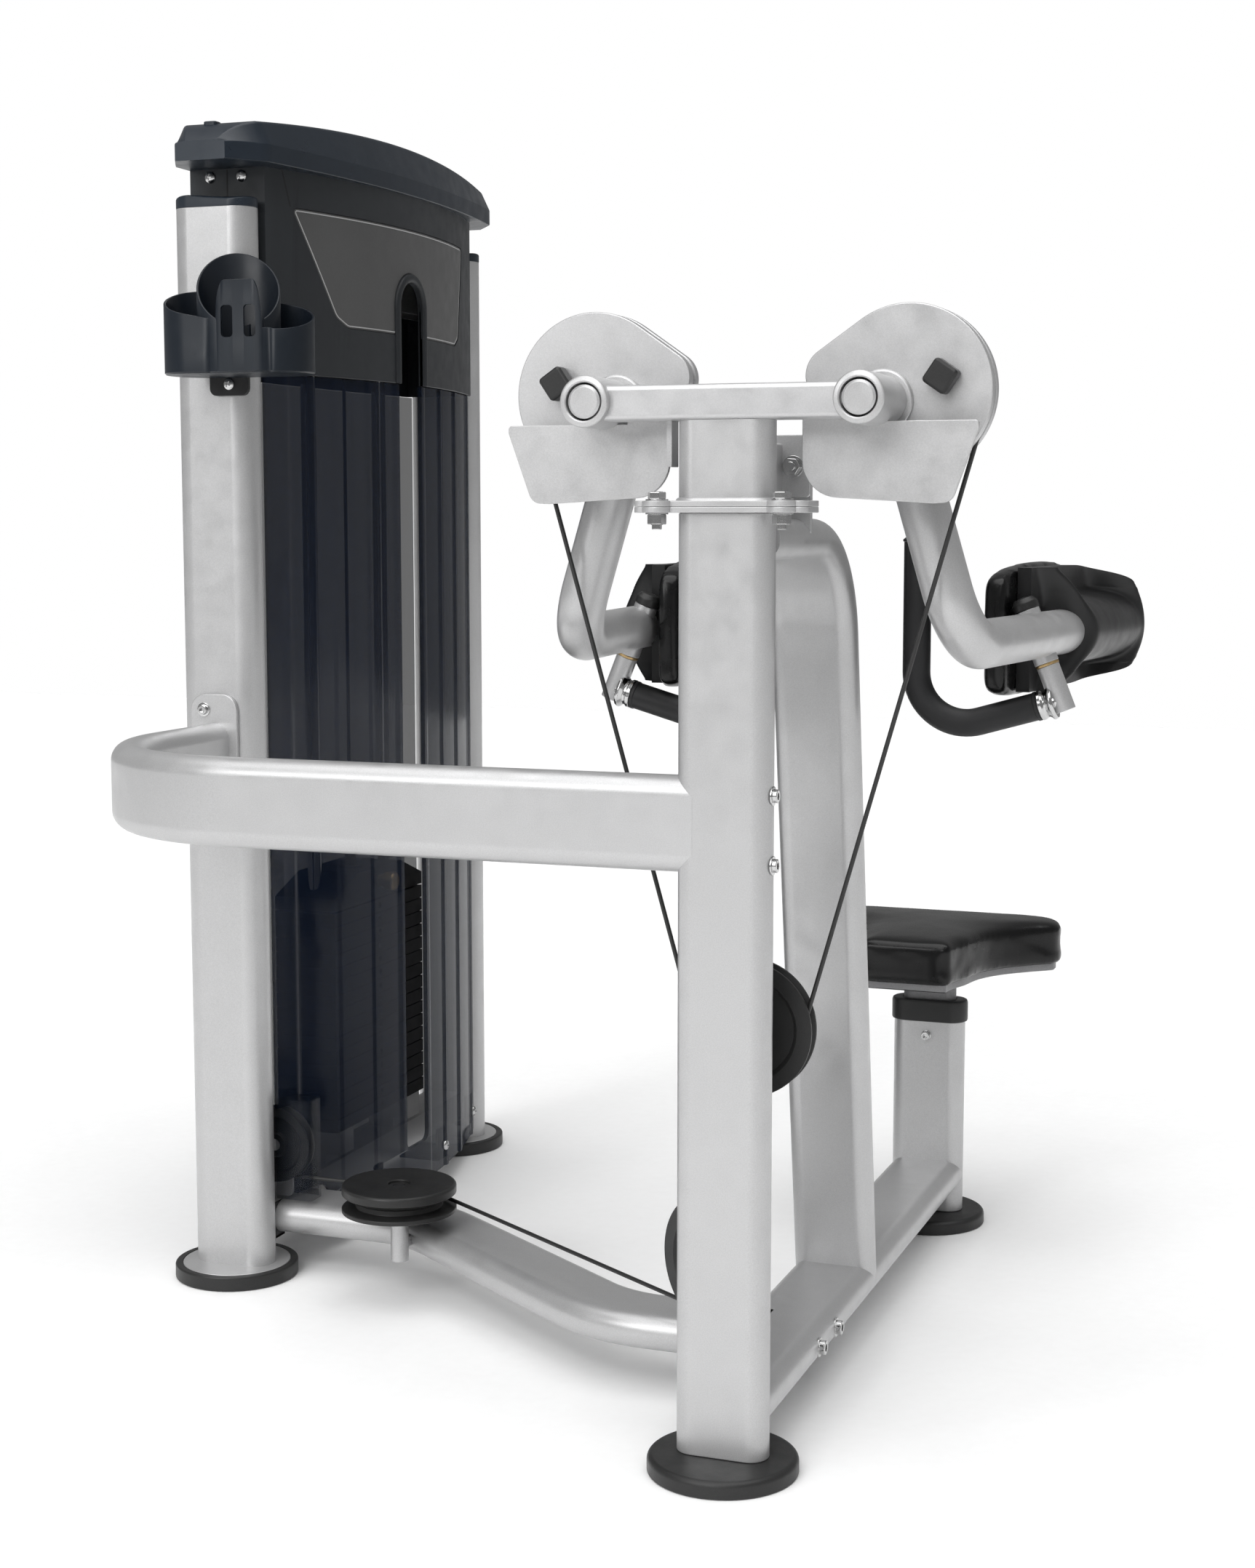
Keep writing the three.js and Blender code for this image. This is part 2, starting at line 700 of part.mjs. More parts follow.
function foot() {
  const edge = FOOT_EDGE;
  return [
    [0, 0], [FOOT_RADIUS - edge / 2, 0], [FOOT_RADIUS, edge / 2],
    [FOOT_RADIUS, FOOT_HEIGHT - 2 * edge], [FOOT_RADIUS - edge, FOOT_HEIGHT - edge / 2],
    [FOOT_RADIUS - 3 * edge, FOOT_HEIGHT], [0, FOOT_HEIGHT],
  ];
}

function hexagon(radius) {
  const points = [];
  for (let i = 0; i < 6; i += 1) {
    const angle = Math.PI * i / 3;
    points.push([radius * Math.cos(angle), radius * Math.sin(angle)]);
  }
  return points;
}

function headPost() {
  const bottom = FLANGE_BOTTOM + FLANGE_THICKNESS;
  const top = bottom + FLANGE_THICKNESS;
  const tube = prismZ(oval(TUBE_WIDTH, TUBE_DEPTH), top, CROSSBAR_BOTTOM);
  const stub = block(
    [-STUB_HALF_WIDTH, 0, STUB_BOTTOM], [STUB_HALF_WIDTH, BRACKET_Y - FIT, STUB_TOP]);
  const plate = block(
    [-BRACKET_HALF_WIDTH, BRACKET_Y - BRACKET_THICKNESS - FIT, STUB_BOTTOM],
    [BRACKET_HALF_WIDTH, BRACKET_Y - FIT, BRACKET_TOP]);
  const hollow = prismZ(
    oval(TUBE_WIDTH - 2 * TUBE_WALL, TUBE_DEPTH - 2 * TUBE_WALL), bottom, CROSSBAR_BOTTOM);
  let whole = union([tube, flangePlate(bottom), stub, plate]).subtract(hollow);
  for (const side of [-1, 1]) {
    whole = union([whole, flangeBolt(side), bracketBolt(side)]);
  }
  return whole;
}

function flangeBolt(side) {
  const x = side * FLANGE_BOLT_X;
  const y = FLANGE_BOLT_Y;
  const top = FLANGE_BOTTOM + 2 * FLANGE_THICKNESS;
  const nutTop = FLANGE_BOTTOM - FIT;
  const nutBottom = nutTop - BOLT_HEAD_HEIGHT - BOLT_STUD;
  const head = hexagon(BOLT_HEAD_RADIUS).map(([dx, dy]) => [x + dx, y + dy]);
  const shank = bar([x, y, nutBottom - BOLT_STUD], [x, y, top + BOLT_STUD], BOLT_RADIUS, SMALL_STEPS);
  const nut = prismZ(polygon(head), nutBottom, nutTop);
  return union([shank, nut, prismZ(polygon(head), top - FIT, top + BOLT_HEAD_HEIGHT)]);
}

function bracketBolt(side) {
  const x = side * BRACKET_BOLT_X;
  const z = BRACKET_BOLT_Z;
  const front = BRACKET_Y - BRACKET_THICKNESS - FIT;
  const back = BRACKET_Y + BRACKET_THICKNESS + FIT;
  const head = hexagon(BOLT_HEAD_RADIUS).map(([dx, dz]) => [x + dx, z + dz]);
  const shank = bar(
    [x, front - BOLT_HEAD_HEIGHT - BOLT_STUD, z], [x, back, z], BOLT_RADIUS, SMALL_STEPS);
  const nut = prismY(polygon(head), front - BOLT_HEAD_HEIGHT, front + FIT);
  return union([shank, nut, prismY(polygon(head), back, back + BOLT_HEAD_HEIGHT)]);
}

function stopPlate(side) {
  const back = CROSSBAR_DEPTH / 2;
  const corner = STOP_PLATE_CORNER;
  const inner = STOP_PLATE_INNER;
  const middle = STOP_PLATE_BOTTOM_INNER;
  const round = [];
  for (let i = 0; i <= BEND_STEPS; i += 1) {
    const angle = Math.PI / 2 * i / BEND_STEPS;
    round.push([
      inner + corner * (1 - Math.sin(angle)), middle + corner * (1 - Math.cos(angle))]);
  }
  const edge = STOP_PLATE_OUTER - STOP_PLATE_TIP;
  const step = STOP_PLATE_TOP - STOP_PLATE_SHOULDER;
  const outline = [
    ...round,
    [inner, STOP_PLATE_TOP], [inner, CROSSBAR_BOTTOM + CROSSBAR_HEIGHT / 2],
    [STOP_PLATE_TAB_OUTER, CROSSBAR_BOTTOM + CROSSBAR_HEIGHT / 2],
    [STOP_PLATE_TAB_OUTER, STOP_PLATE_TOP],
    [STOP_PLATE_OUTER - step / 2, STOP_PLATE_TOP],
    [STOP_PLATE_OUTER, STOP_PLATE_TOP - step / 3],
    [STOP_PLATE_OUTER, STOP_PLATE_SHOULDER],
    [STOP_PLATE_TIP, STOP_PLATE_BOTTOM + step / 2],
    [STOP_PLATE_TIP - edge / 4, STOP_PLATE_BOTTOM + step / 8],
    [STOP_PLATE_TIP - 3 * edge / 4, STOP_PLATE_BOTTOM],
  ];
  const mirrored = outline.map(([x, z]) => [side * x, z]);
  return prismY(polygon(mirrored), back, back + STOP_PLATE_THICKNESS);
}

function crossbar() {
  const half = CROSSBAR_DEPTH / 2;
  const top = CROSSBAR_BOTTOM + CROSSBAR_HEIGHT;
  const outline = roundedBox(-half, half, CROSSBAR_BOTTOM, top, CROSSBAR_CORNER);
  let whole = prismX(outline, -CROSSBAR_HALF_LENGTH, CROSSBAR_HALF_LENGTH, 2);
  for (const side of [-1, 1]) {
    const x = side * PIVOT_X;
    const lip = CROSSBAR_CORNER / 2;
    const barrel = turned([
      [0, -BARREL_FRONT], [BARREL_RADIUS - lip, -BARREL_FRONT],
      [BARREL_RADIUS, lip - BARREL_FRONT], [BARREL_RADIUS, BARREL_BACK], [0, BARREL_BACK],
    ], [0, 1, 0], [x, 0, PIVOT_Z]);
    whole = union([whole, barrel, stopPlate(side)]);
    whole = whole.subtract(bar(
      [x, -OVERRUN, PIVOT_Z], [x, BARREL_BACK + OVERRUN, PIVOT_Z], SHAFT_RADIUS + FIT));
  }
  return whole;
}

// Base beam, curved post, tie and side beam

const BEAM_BOTTOM = BEAM_Z - TUBE_DEPTH / 2;
const BEAM_TOP = BEAM_Z + TUBE_DEPTH / 2;

function beamSpace() {
  const outline = oval(TUBE_WIDTH + 2 * FIT, TUBE_DEPTH + 2 * FIT, 0, BEAM_Z);
  return prismY(outline, 0, SEAT_POST_Y);
}

function seatPostSpace() {
  const outline = oval(TUBE_WIDTH + 2 * FIT, TUBE_DEPTH + 2 * FIT, 0, SEAT_POST_Y);
  return prismZ(outline, 0, SEAT_POST_TOP);
}

// The cable drops from the block at x = 0 and leaves the low pulley level, towards the turn
// pulley, which it touches on its far side.
const turnX = IDLER_X;
const turnY = IDLER_Y - CABLE_PLANE_Y;
const driveAngle = Math.atan2(turnY, turnX) - Math.asin(PULLEY_GROOVE / Math.hypot(turnX, turnY));
const driveX = Math.cos(driveAngle);
const driveY = Math.sin(driveAngle);
const LOW_PULLEY = [
  PULLEY_GROOVE * driveX, CABLE_PLANE_Y + PULLEY_GROOVE * driveY, LOW_CABLE_Z + PULLEY_GROOVE];
const TOWER_CABLE_Y = IDLER_Y + PULLEY_GROOVE;

// Two cheek plates and an axle that carry the low pulley, on a sole plate.
function lowPulleyBracket() {
  const cheek = PULLEY_THICKNESS / 2 + BLOCK_PLATE / 2;
  const bottom = BEAM_TOP;
  const top = LOW_PULLEY[2] + BLOCK_HALF_WIDTH;
  const half = BLOCK_HALF_WIDTH;
  const parts = [];
  for (const side of [-1, 1]) {
    const near = side > 0 ? cheek : -cheek - BLOCK_PLATE;
    parts.push(new THREE.BoxGeometry(2 * half, BLOCK_PLATE, top - bottom));
    parts[parts.length - 1].translate(0, near + BLOCK_PLATE / 2, (top + bottom) / 2);
  }
  const reach = cheek + BLOCK_PLATE;
  const axle = new THREE.CylinderGeometry(AXLE_RADIUS, AXLE_RADIUS, 2 * reach, ROUND_STEPS);
  axle.translate(0, 0, 0);
  parts.push(axle.translate(0, 0, LOW_PULLEY[2]));
  const sole = new THREE.BoxGeometry(4 * half, 2 * reach, BLOCK_PLATE);
  parts.push(sole.translate(half, 0, bottom + BLOCK_PLATE / 2 - FIT));
  return union(parts.map((part) => {
    part.rotateZ(driveAngle + Math.PI);
    part.translate(LOW_PULLEY[0], LOW_PULLEY[1], 0);
    return solidOf(part);
  }));
}

function baseBeam() {
  const tube = prismY(ovalRing(TUBE_WIDTH, TUBE_DEPTH, TUBE_WALL, 0, BEAM_Z), 0, SEAT_POST_Y);
  return tube.subtract(columnSpace()).subtract(seatPostSpace()).add(lowPulleyBracket());
}

function curvedPostRoute() {
  const cornerY = POST_FOOT_Y - (POST_RUN_Z - BEAM_TOP) * Math.tan(POST_LEAN);
  const footY = POST_FOOT_Y + TUBE_DEPTH / 2 * Math.tan(POST_LEAN);
  return new BentRoute([[0, footY, BEAM_Z], [0, cornerY, POST_RUN_Z], [0, 0, POST_RUN_Z]], POST_BEND);
}

function curvedPost() {
  const tube = sweep(ovalRing(TUBE_WIDTH, TUBE_DEPTH, TUBE_WALL), curvedPostRoute());
  const plateOutline = roundedBox(
    -BRACKET_HALF_WIDTH, BRACKET_HALF_WIDTH, POST_RUN_Z, BRACKET_TOP, FLANGE_CORNER);
  let plate = prismY(plateOutline, BRACKET_Y, BRACKET_Y + BRACKET_THICKNESS, 2);
  for (const side of [-1, 1]) {
    const x = side * BRACKET_BOLT_X;
    plate = plate.subtract(bar(
      [x, 0, BRACKET_BOLT_Z], [x, 2 * BRACKET_Y, BRACKET_BOLT_Z],
      BOLT_RADIUS + FIT, SMALL_STEPS));
  }
  const inside = prismY(
    oval(TUBE_WIDTH - TUBE_WALL, TUBE_DEPTH - TUBE_WALL, 0, POST_RUN_Z),
    BRACKET_Y - OVERRUN, BRACKET_Y + OVERRUN);
  const joined = tube.add(plate.subtract(inside));
  return joined.subtract(columnSpace()).subtract(beamSpace());
}

function nearPostSpace() {
  const grow = 2 * FIT;
  return prismZ(oval(
    TOWER_TUBE_WIDTH + grow, TOWER_TUBE_DEPTH + grow, TOWER_X, NEAR_POST_Y), 0, TOWER_POST_TOP);
}

function lowerTie() {
  const inner = ovalRing(TUBE_DEPTH, TUBE_WIDTH, TUBE_WALL);
  const end = TOWER_X + TOWER_BASE_WIDTH / 2 + FIT;
  const route = new BentRoute([
    [0, TIE_START_Y, BEAM_Z], [TIE_FIRST_CORNER_X, TIE_START_Y, BEAM_Z],
    [TIE_SECOND_CORNER_X, TIE_END_Y, BEAM_Z], [end, TIE_END_Y, BEAM_Z]], TIE_BEND);
  const tube = sweep(inner, route).subtract(beamSpace()).subtract(nearPostSpace());
  const shaftTop = LOW_CABLE_Z + PULLEY_THICKNESS;
  const shaft = bar(
    [IDLER_X, IDLER_Y, BEAM_BOTTOM + 2 * TUBE_WALL],
    [IDLER_X, IDLER_Y, LOW_CABLE_Z - PULLEY_THICKNESS / 2 - FIT], 1.5 * AXLE_RADIUS);
  const spindle = bar(
    [IDLER_X, IDLER_Y, BEAM_Z], [IDLER_X, IDLER_Y, shaftTop], AXLE_RADIUS);
  const weld = block(
    [IDLER_X - AXLE_RADIUS, IDLER_Y, BEAM_Z - AXLE_RADIUS],
    [IDLER_X + AXLE_RADIUS, IDLER_Y + 1.5 * TUBE_DEPTH, BEAM_Z + AXLE_RADIUS]);
  const core = sweep(oval(TUBE_DEPTH - TUBE_WALL, TUBE_WIDTH - TUBE_WALL), route);
  return union([tube, shaft, spindle, weld.subtract(core)]);
}

const POST_FACE_Y = NEAR_POST_Y - TOWER_TUBE_DEPTH / 2;

function sideBeam() {
  const end = POST_FACE_Y - FIT;
  const route = new BentRoute([
    [0, 0, SIDE_BEAM_Z], [TOWER_X, 0, SIDE_BEAM_Z], [TOWER_X, end - END_PLATE_THICKNESS / 2, SIDE_BEAM_Z],
  ], SIDE_BEAM_BEND);
  const tube = sweep(ovalRing(TUBE_WIDTH, TUBE_DEPTH, TUBE_WALL), route);
  const plate = prismY(roundedBox(
    TOWER_X - END_PLATE_HALF_WIDTH, TOWER_X + END_PLATE_HALF_WIDTH,
    SIDE_BEAM_Z - END_PLATE_HEIGHT / 2, SIDE_BEAM_Z + END_PLATE_HEIGHT / 2,
    END_PLATE_CORNER), end - END_PLATE_THICKNESS, end);
  return tube.add(plate).subtract(columnSpace());
}

// Seat

function seatPost() {
  const outline = ovalRing(TUBE_WIDTH, TUBE_DEPTH, TUBE_WALL, 0, SEAT_POST_Y);
  const back = SEAT_POST_Y + TUBE_DEPTH / 2;
  const tube = prismZ(outline, FOOT_HEIGHT, SEAT_POST_TOP);
  const boss = bar([0, back - TUBE_WALL, PIN_Z], [0, back + PIN_BOSS_LENGTH, PIN_Z], PIN_BOSS_RADIUS);
  return tube.add(boss).subtract(bar(
    [0, back - OVERRUN / 4, PIN_Z], [0, back + OVERRUN, PIN_Z], PIN_RADIUS + FIT, SMALL_STEPS));
}

function seatCollar() {
  const width = TUBE_WIDTH + 2 * COLLAR_WALL;
  const depth = TUBE_DEPTH + 2 * COLLAR_WALL;
  const whole = prismZ(oval(width, depth, 0, SEAT_POST_Y), COLLAR_BOTTOM, COLLAR_TOP);
  const socket = prismZ(
    oval(TUBE_WIDTH + 2 * FIT, TUBE_DEPTH + 2 * FIT, 0, SEAT_POST_Y),
    COLLAR_BOTTOM - OVERRUN, SEAT_POST_TOP + FIT);
  const guide = prismZ(
    oval(CARRIAGE_WIDTH + 2 * FIT, CARRIAGE_DEPTH + 2 * FIT, 0, SEAT_POST_Y),
    COLLAR_BOTTOM - OVERRUN, COLLAR_TOP + OVERRUN);
  return whole.subtract(socket).subtract(guide);
}

function seatOutline() {
  const nose = SEAT_NOSE_HALF_WIDTH;
  const wide = SEAT_HALF_WIDTH;
  const length = SEAT_BACK_Y - SEAT_NOSE_Y;
  const y = (share) => SEAT_NOSE_Y + length * share;
  const right = [
    [nose * 0.55, y(0)], [nose * 0.92, y(0.02)], [nose * 1.05, y(0.08)], [nose * 1.33, y(0.22)],
    [nose * 1.5, y(0.42)], [wide * 0.62, y(0.54)], [wide * 0.8, y(0.66)], [wide * 0.97, y(0.75)],
    [wide, y(0.8)], [wide * 0.98, y(0.88)], [wide * 0.9, y(0.96)], [wide * 0.7, y(1)],
  ];
  const left = right.map(([x, value]) => [-x, value]).reverse();
  return [...right, ...left];
}

function seatCushion() {
  const outline = seatOutline();
  const bottom = SEAT_BASE_BOTTOM + SEAT_BASE_THICKNESS + FIT;
  const ring = (distance, height) => inset(outline, distance).map(
    ([x, y]) => [x, y, bottom + height]);
  const edge = SEAT_EDGE;
  const crown = (share, height) => drawnIn(inset(outline, edge), share).map(
    ([x, y]) => [x, y, bottom + SEAT_THICKNESS + SEAT_CROWN * height]);
  return loft([
    ring(edge / 2, 0), ring(edge / 4, edge / 4), ring(0, edge), ring(edge / 6, SEAT_THICKNESS / 2),
    ring(0, SEAT_THICKNESS - edge), ring(edge / 5, SEAT_THICKNESS - edge / 2),
    ring(edge * 0.6, SEAT_THICKNESS - edge / 8), crown(0.1, 0.4), crown(0.4, 0.85), crown(0.7, 1),
  ]);
}

function seatCarriage() {
  const tube = prismZ(
    ovalRing(CARRIAGE_WIDTH, CARRIAGE_DEPTH, TUBE_WALL, 0, SEAT_POST_Y),
    CARRIAGE_BOTTOM, SEAT_BASE_BOTTOM);
  const outline = inset(seatOutline(), SEAT_EDGE);
  const board = prismZ(polygon(outline), SEAT_BASE_BOTTOM, SEAT_BASE_BOTTOM + SEAT_BASE_THICKNESS);
  const strapTop = SEAT_BASE_BOTTOM;
  const strap = block(
    [-CARRIAGE_WIDTH / 2, SEAT_POST_Y - 3 * CARRIAGE_DEPTH, strapTop - 2 * TUBE_WALL],
    [CARRIAGE_WIDTH / 2, SEAT_POST_Y + 2 * CARRIAGE_DEPTH, strapTop]);
  const inside = prismZ(
    oval(CARRIAGE_WIDTH - 2 * TUBE_WALL, CARRIAGE_DEPTH - 2 * TUBE_WALL, 0, SEAT_POST_Y),
    CARRIAGE_BOTTOM, strapTop);
  return union([tube, board, strap]).subtract(inside);
}

function seatPin() {
  const tip = SEAT_POST_Y + CARRIAGE_DEPTH / 2 + FIT;
  const knobStart = SEAT_POST_Y + TUBE_DEPTH / 2 + PIN_BOSS_LENGTH + FIT;
  const radius = PIN_KNOB_RADIUS;
  const length = PIN_KNOB_LENGTH;
  const knob = turned([
    [0, 0], [radius * 0.55, 0], [radius * 0.6, length * 0.3], [radius, length * 0.45],
    [radius, length * 0.85], [radius * 0.8, length], [0, length],
  ], [0, 1, 0], [0, knobStart, PIN_Z]);
  return knob.add(bar([0, tip, PIN_Z], [0, knobStart + length / 2, PIN_Z], PIN_RADIUS, SMALL_STEPS));
}

// Cams, bumpers and lever arms

// The outline round two circles and their outer tangents, for the right-hand cam.
function camOutline(side, narrower) {
  const large = CAM_LARGE_RADIUS - narrower;
  const small = CAM_SMALL_RADIUS - narrower;
  const dx = CAM_LARGE_X - CAM_SMALL_X;
  const dz = CAM_LARGE_Z - CAM_SMALL_Z;
  const axis = Math.atan2(dz, dx);
  const open = Math.PI - Math.acos((large - small) / Math.hypot(dx, dz));
  const outline = [];
  const largeArc = 2 * open;
  for (let i = 0; i <= ROUND_STEPS; i += 1) {
    const angle = axis - largeArc / 2 + largeArc * i / ROUND_STEPS;
    outline.push([
      side * (CAM_LARGE_X + large * Math.cos(angle)), CAM_LARGE_Z + large * Math.sin(angle)]);
  }
  const smallArc = 2 * Math.PI - largeArc;
  const smallSteps = SMALL_STEPS / 2;
  for (let i = 0; i <= smallSteps; i += 1) {
    const angle = axis + largeArc / 2 + smallArc * i / smallSteps;
    outline.push([
      side * (CAM_SMALL_X + small * Math.cos(angle)), CAM_SMALL_Z + small * Math.sin(angle)]);
  }
  return outline;
}

function cam(side) {
  const middle = CAM_FRONT + CAM_THICKNESS / 2;
  const back = CAM_FRONT + CAM_THICKNESS;
  const rim = polygon(camOutline(side, 0));
  const core = polygon(camOutline(side, CAM_GROOVE_DEPTH));
  const front = prismY(rim, CAM_FRONT, middle - CAM_GROOVE_WIDTH / 2);
  const rear = prismY(rim, middle + CAM_GROOVE_WIDTH / 2, back);
  const x = side * PIVOT_X;
  const hub = turned([
    [0, 0], [CAM_HUB_RADIUS - TUBE_WALL, 0], [CAM_HUB_RADIUS, TUBE_WALL],
    [CAM_HUB_RADIUS, CAM_HUB_HEIGHT + TUBE_WALL], [0, CAM_HUB_HEIGHT + TUBE_WALL],
  ], [0, 1, 0], [x, CAM_FRONT - CAM_HUB_HEIGHT, PIVOT_Z]);
  const whole = union([front, rear, prismY(core, CAM_FRONT, back), hub]);
  return whole.subtract(bar(
    [x, 0, PIVOT_Z], [x, back + OVERRUN, PIVOT_Z], SHAFT_RADIUS + FIT));
}

function bumper(side) {
  const half = BUMPER_SIDE / 2;
  const outline = roundedBox(-half, half, -half, half, BUMPER_CORNER);
  const geometry = new THREE.ExtrudeGeometry(outline, {
    depth: BUMPER_LENGTH - 2 * TUBE_WALL, curveSegments: 2, bevelSize: TUBE_WALL / 2,
    bevelThickness: TUBE_WALL, bevelSegments: 1, bevelOffset: -TUBE_WALL / 2,
  });
  geometry.rotateX(Math.PI / 2);
  geometry.rotateY(side * BUMPER_TURN);
  geometry.translate(side * BUMPER_X, CAM_FRONT - FIT - TUBE_WALL, BUMPER_Z);
  return solidOf(geometry);
}

// A place along the level run of an arm: u from the swivel pin towards the pad's far end.
function armX(y) {
  return ARM_CORNER_X + (y - ARM_Y) * Math.tan(ARM_DIVERGE);
}

function arm(side) {
  const end = ARM_END_Y;
  const route = new BentRoute([
    [side * PIVOT_X, ARM_Y, PIVOT_Z], [side * ARM_CORNER_X, ARM_Y, ARM_CORNER_Z],
    [side * armX(end), end, ARM_CORNER_Z]], ARM_BEND);
  const tube = sweep(circle(ARM_RADIUS, ARM_SIDES), route);
  const inside = sweep(circle(ARM_RADIUS - ARM_WALL, ARM_SIDES / 2), new BentRoute([
    [side * PIVOT_X, ARM_Y, PIVOT_Z], [side * ARM_CORNER_X, ARM_Y, ARM_CORNER_Z],
    [side * armX(end + OVERRUN), end + OVERRUN, ARM_CORNER_Z]], ARM_BEND));
  const x = side * PIVOT_X;
  const camBack = CAM_FRONT + CAM_THICKNESS + FIT;
  const hub = bar([x, camBack, PIVOT_Z], [x, ARM_Y + ARM_RADIUS, PIVOT_Z], ARM_HUB_RADIUS);
  const shaftFront = BARREL_FRONT - FIT;
  const shaft = turned([
    [0, -shaftFront], [SHAFT_RADIUS - TUBE_WALL / 2, -shaftFront],
    [SHAFT_RADIUS, TUBE_WALL / 2 - shaftFront], [SHAFT_RADIUS, ARM_Y], [0, ARM_Y],
  ], [0, 1, 0], [x, 0, PIVOT_Z]);
  const top = swivelPoint(side, -2 * SWIVEL_TOP);
  const under = swivelPoint(side, SWIVEL_BOSS_BOTTOM);
  const boss = bar(
    swivelPoint(side, FIT - SWIVEL_TOP), under, SWIVEL_BOSS_RADIUS, SMALL_STEPS);
  const pinBore = bar(top, swivelPoint(side, SWIVEL_BOTTOM), SWIVEL_RADIUS + FIT);
  const hollow = tube.subtract(inside);
  return union([hollow, hub, shaft, boss]).subtract(pinBore);
}

// Swivels and grips: s runs down along the leaning swivel pin from the arm's centreline.
function swivelPoint(side, s) {
  const x = armX(SWIVEL_Y) - SWIVEL_OFFSET + s * Math.sin(SWIVEL_LEAN);
  return [side * x, SWIVEL_Y, ARM_CORNER_Z - s * Math.cos(SWIVEL_LEAN)];
}

// A place on the grip's lower arm, d inwards from the swivel pin.
function gripPoint(side, d) {
  const [x, y, z] = swivelPoint(side, GRIP_DROP);
  return [x - side * d * Math.cos(GRIP_LEAN), y, z - d * Math.sin(GRIP_LEAN)];
}

function swivel(side) {
  const down = [side * Math.sin(SWIVEL_LEAN), 0, -Math.cos(SWIVEL_LEAN)];
  const up = down.map((value) => -value);
  const pin = bar(swivelPoint(side, -SWIVEL_TOP), swivelPoint(side, SWIVEL_BOTTOM), SWIVEL_RADIUS);
  const sleeve = bar(
    swivelPoint(side, SWIVEL_BOSS_BOTTOM + FIT), swivelPoint(side, SWIVEL_BOTTOM),
    1.15 * SWIVEL_RADIUS, SMALL_STEPS);
  const r = SWIVEL_CAP_RADIUS;
  const h = SWIVEL_CAP_HEIGHT;
  const cap = turned([
    [0, 0], [r, 0], [r, h * 0.5], [r * 0.8, h * 0.85], [r * 0.4, h], [0, h],
  ], up, swivelPoint(side, -SWIVEL_TOP), SMALL_STEPS);
  const arm = bar(
    gripPoint(side, 0), gripPoint(side, SWIVEL_RADIUS + 3 * GRIP_COLLAR_LENGTH), GRIP_TUBE_RADIUS,
    GRIP_SIDES);
  const inwards = gripPoint(side, 1).map((value, i) => value - gripPoint(side, 0)[i]);
  const c = GRIP_COLLAR_RADIUS;
  const length = GRIP_COLLAR_LENGTH;
  const collar = turned([
    [0, 0], [c * 0.94, 0], [c, length * 0.15], [c * 0.86, length * 0.4], [c, length * 0.55],
    [c * 0.95, length], [0, length],
  ], inwards, gripPoint(side, SWIVEL_RADIUS * 0.6), GRIP_SIDES);
  return union([pin, sleeve, cap, arm, collar]);
}

function gripRoute(side) {
  const start = gripPoint(side, SWIVEL_RADIUS * 0.6 + GRIP_COLLAR_LENGTH + FIT);
  const [x0, y, z0] = gripPoint(side, 0);
  const cornerX = side * GRIP_INNER_X;
  const cornerZ = z0 - Math.abs(x0 - cornerX) * Math.tan(GRIP_LEAN);
  return new BentRoute([start, [cornerX, y, cornerZ], [cornerX, y, GRIP_TOP]], GRIP_BEND);
}

function grip(side) {
  const sleeve = sweep(circle(GRIP_RADIUS, GRIP_SIDES), gripRoute(side));
  return sleeve.subtract(bar(gripPoint(side, 0),
    gripPoint(side, SWIVEL_RADIUS + 3 * GRIP_COLLAR_LENGTH + FIT), GRIP_TUBE_RADIUS + FIT,
    GRIP_SIDES));
}

// Elbow pads, in the arm's own frame: u along the arm, v outwards, w up.
const padFar = PAD_LENGTH - PAD_NEAR;

function padOutline() {
  const top = PAD_TOP;
  const low = -PAD_BOTTOM;
  const far = padFar;
  const near = -PAD_NEAR;
  return [
    [near, low * 0.55], [near * 0.6, low * 0.92], [far * 0.1, low], [far * 0.35, low * 0.98],
    [far * 0.62, low * 0.9], [far * 0.85, low * 0.7], [far * 0.96, low * 0.35], [far, 0],
    [far * 0.98, top * 0.35], [far * 0.9, top * 0.66], [far * 0.76, top * 0.86],
    [far * 0.55, top * 0.98], [far * 0.35, top], [far * 0.1, top * 0.95],
    [near * 0.4, top * 0.84], [near, top * 0.6],
  ];
}

function padFrame(side) {
  const frame = new THREE.Group();
  frame.position.set(side * armX(SWIVEL_Y), SWIVEL_Y, ARM_CORNER_Z);
  frame.rotation.z = Math.PI / 2 - side * ARM_DIVERGE;
  group.add(frame);
  return frame;
}

function padCushion(side) {
  const outline = padOutline();
  const edge = PAD_EDGE;
  const depth = PAD_THICKNESS;
  const ring = (distance, height) => inset(outline, distance).map(
    ([u, w]) => [u, side * (PAD_BACK + height), w]);
  const crown = (share, height) => drawnIn(inset(outline, edge), share).map(
    ([u, w]) => [u, side * (PAD_BACK + depth + PAD_CROWN * height), w]);
  const rings = [
    ring(edge / 2, 0), ring(0, edge / 2), ring(edge / 6, depth / 2), ring(0, depth - edge),
    ring(edge * 0.4, depth - edge * 0.3), ring(edge, depth),
    crown(0.2, 0.6), crown(0.5, 0.9), crown(0.75, 1),
  ];
  return loft(side > 0 ? rings.reverse() : rings);
}

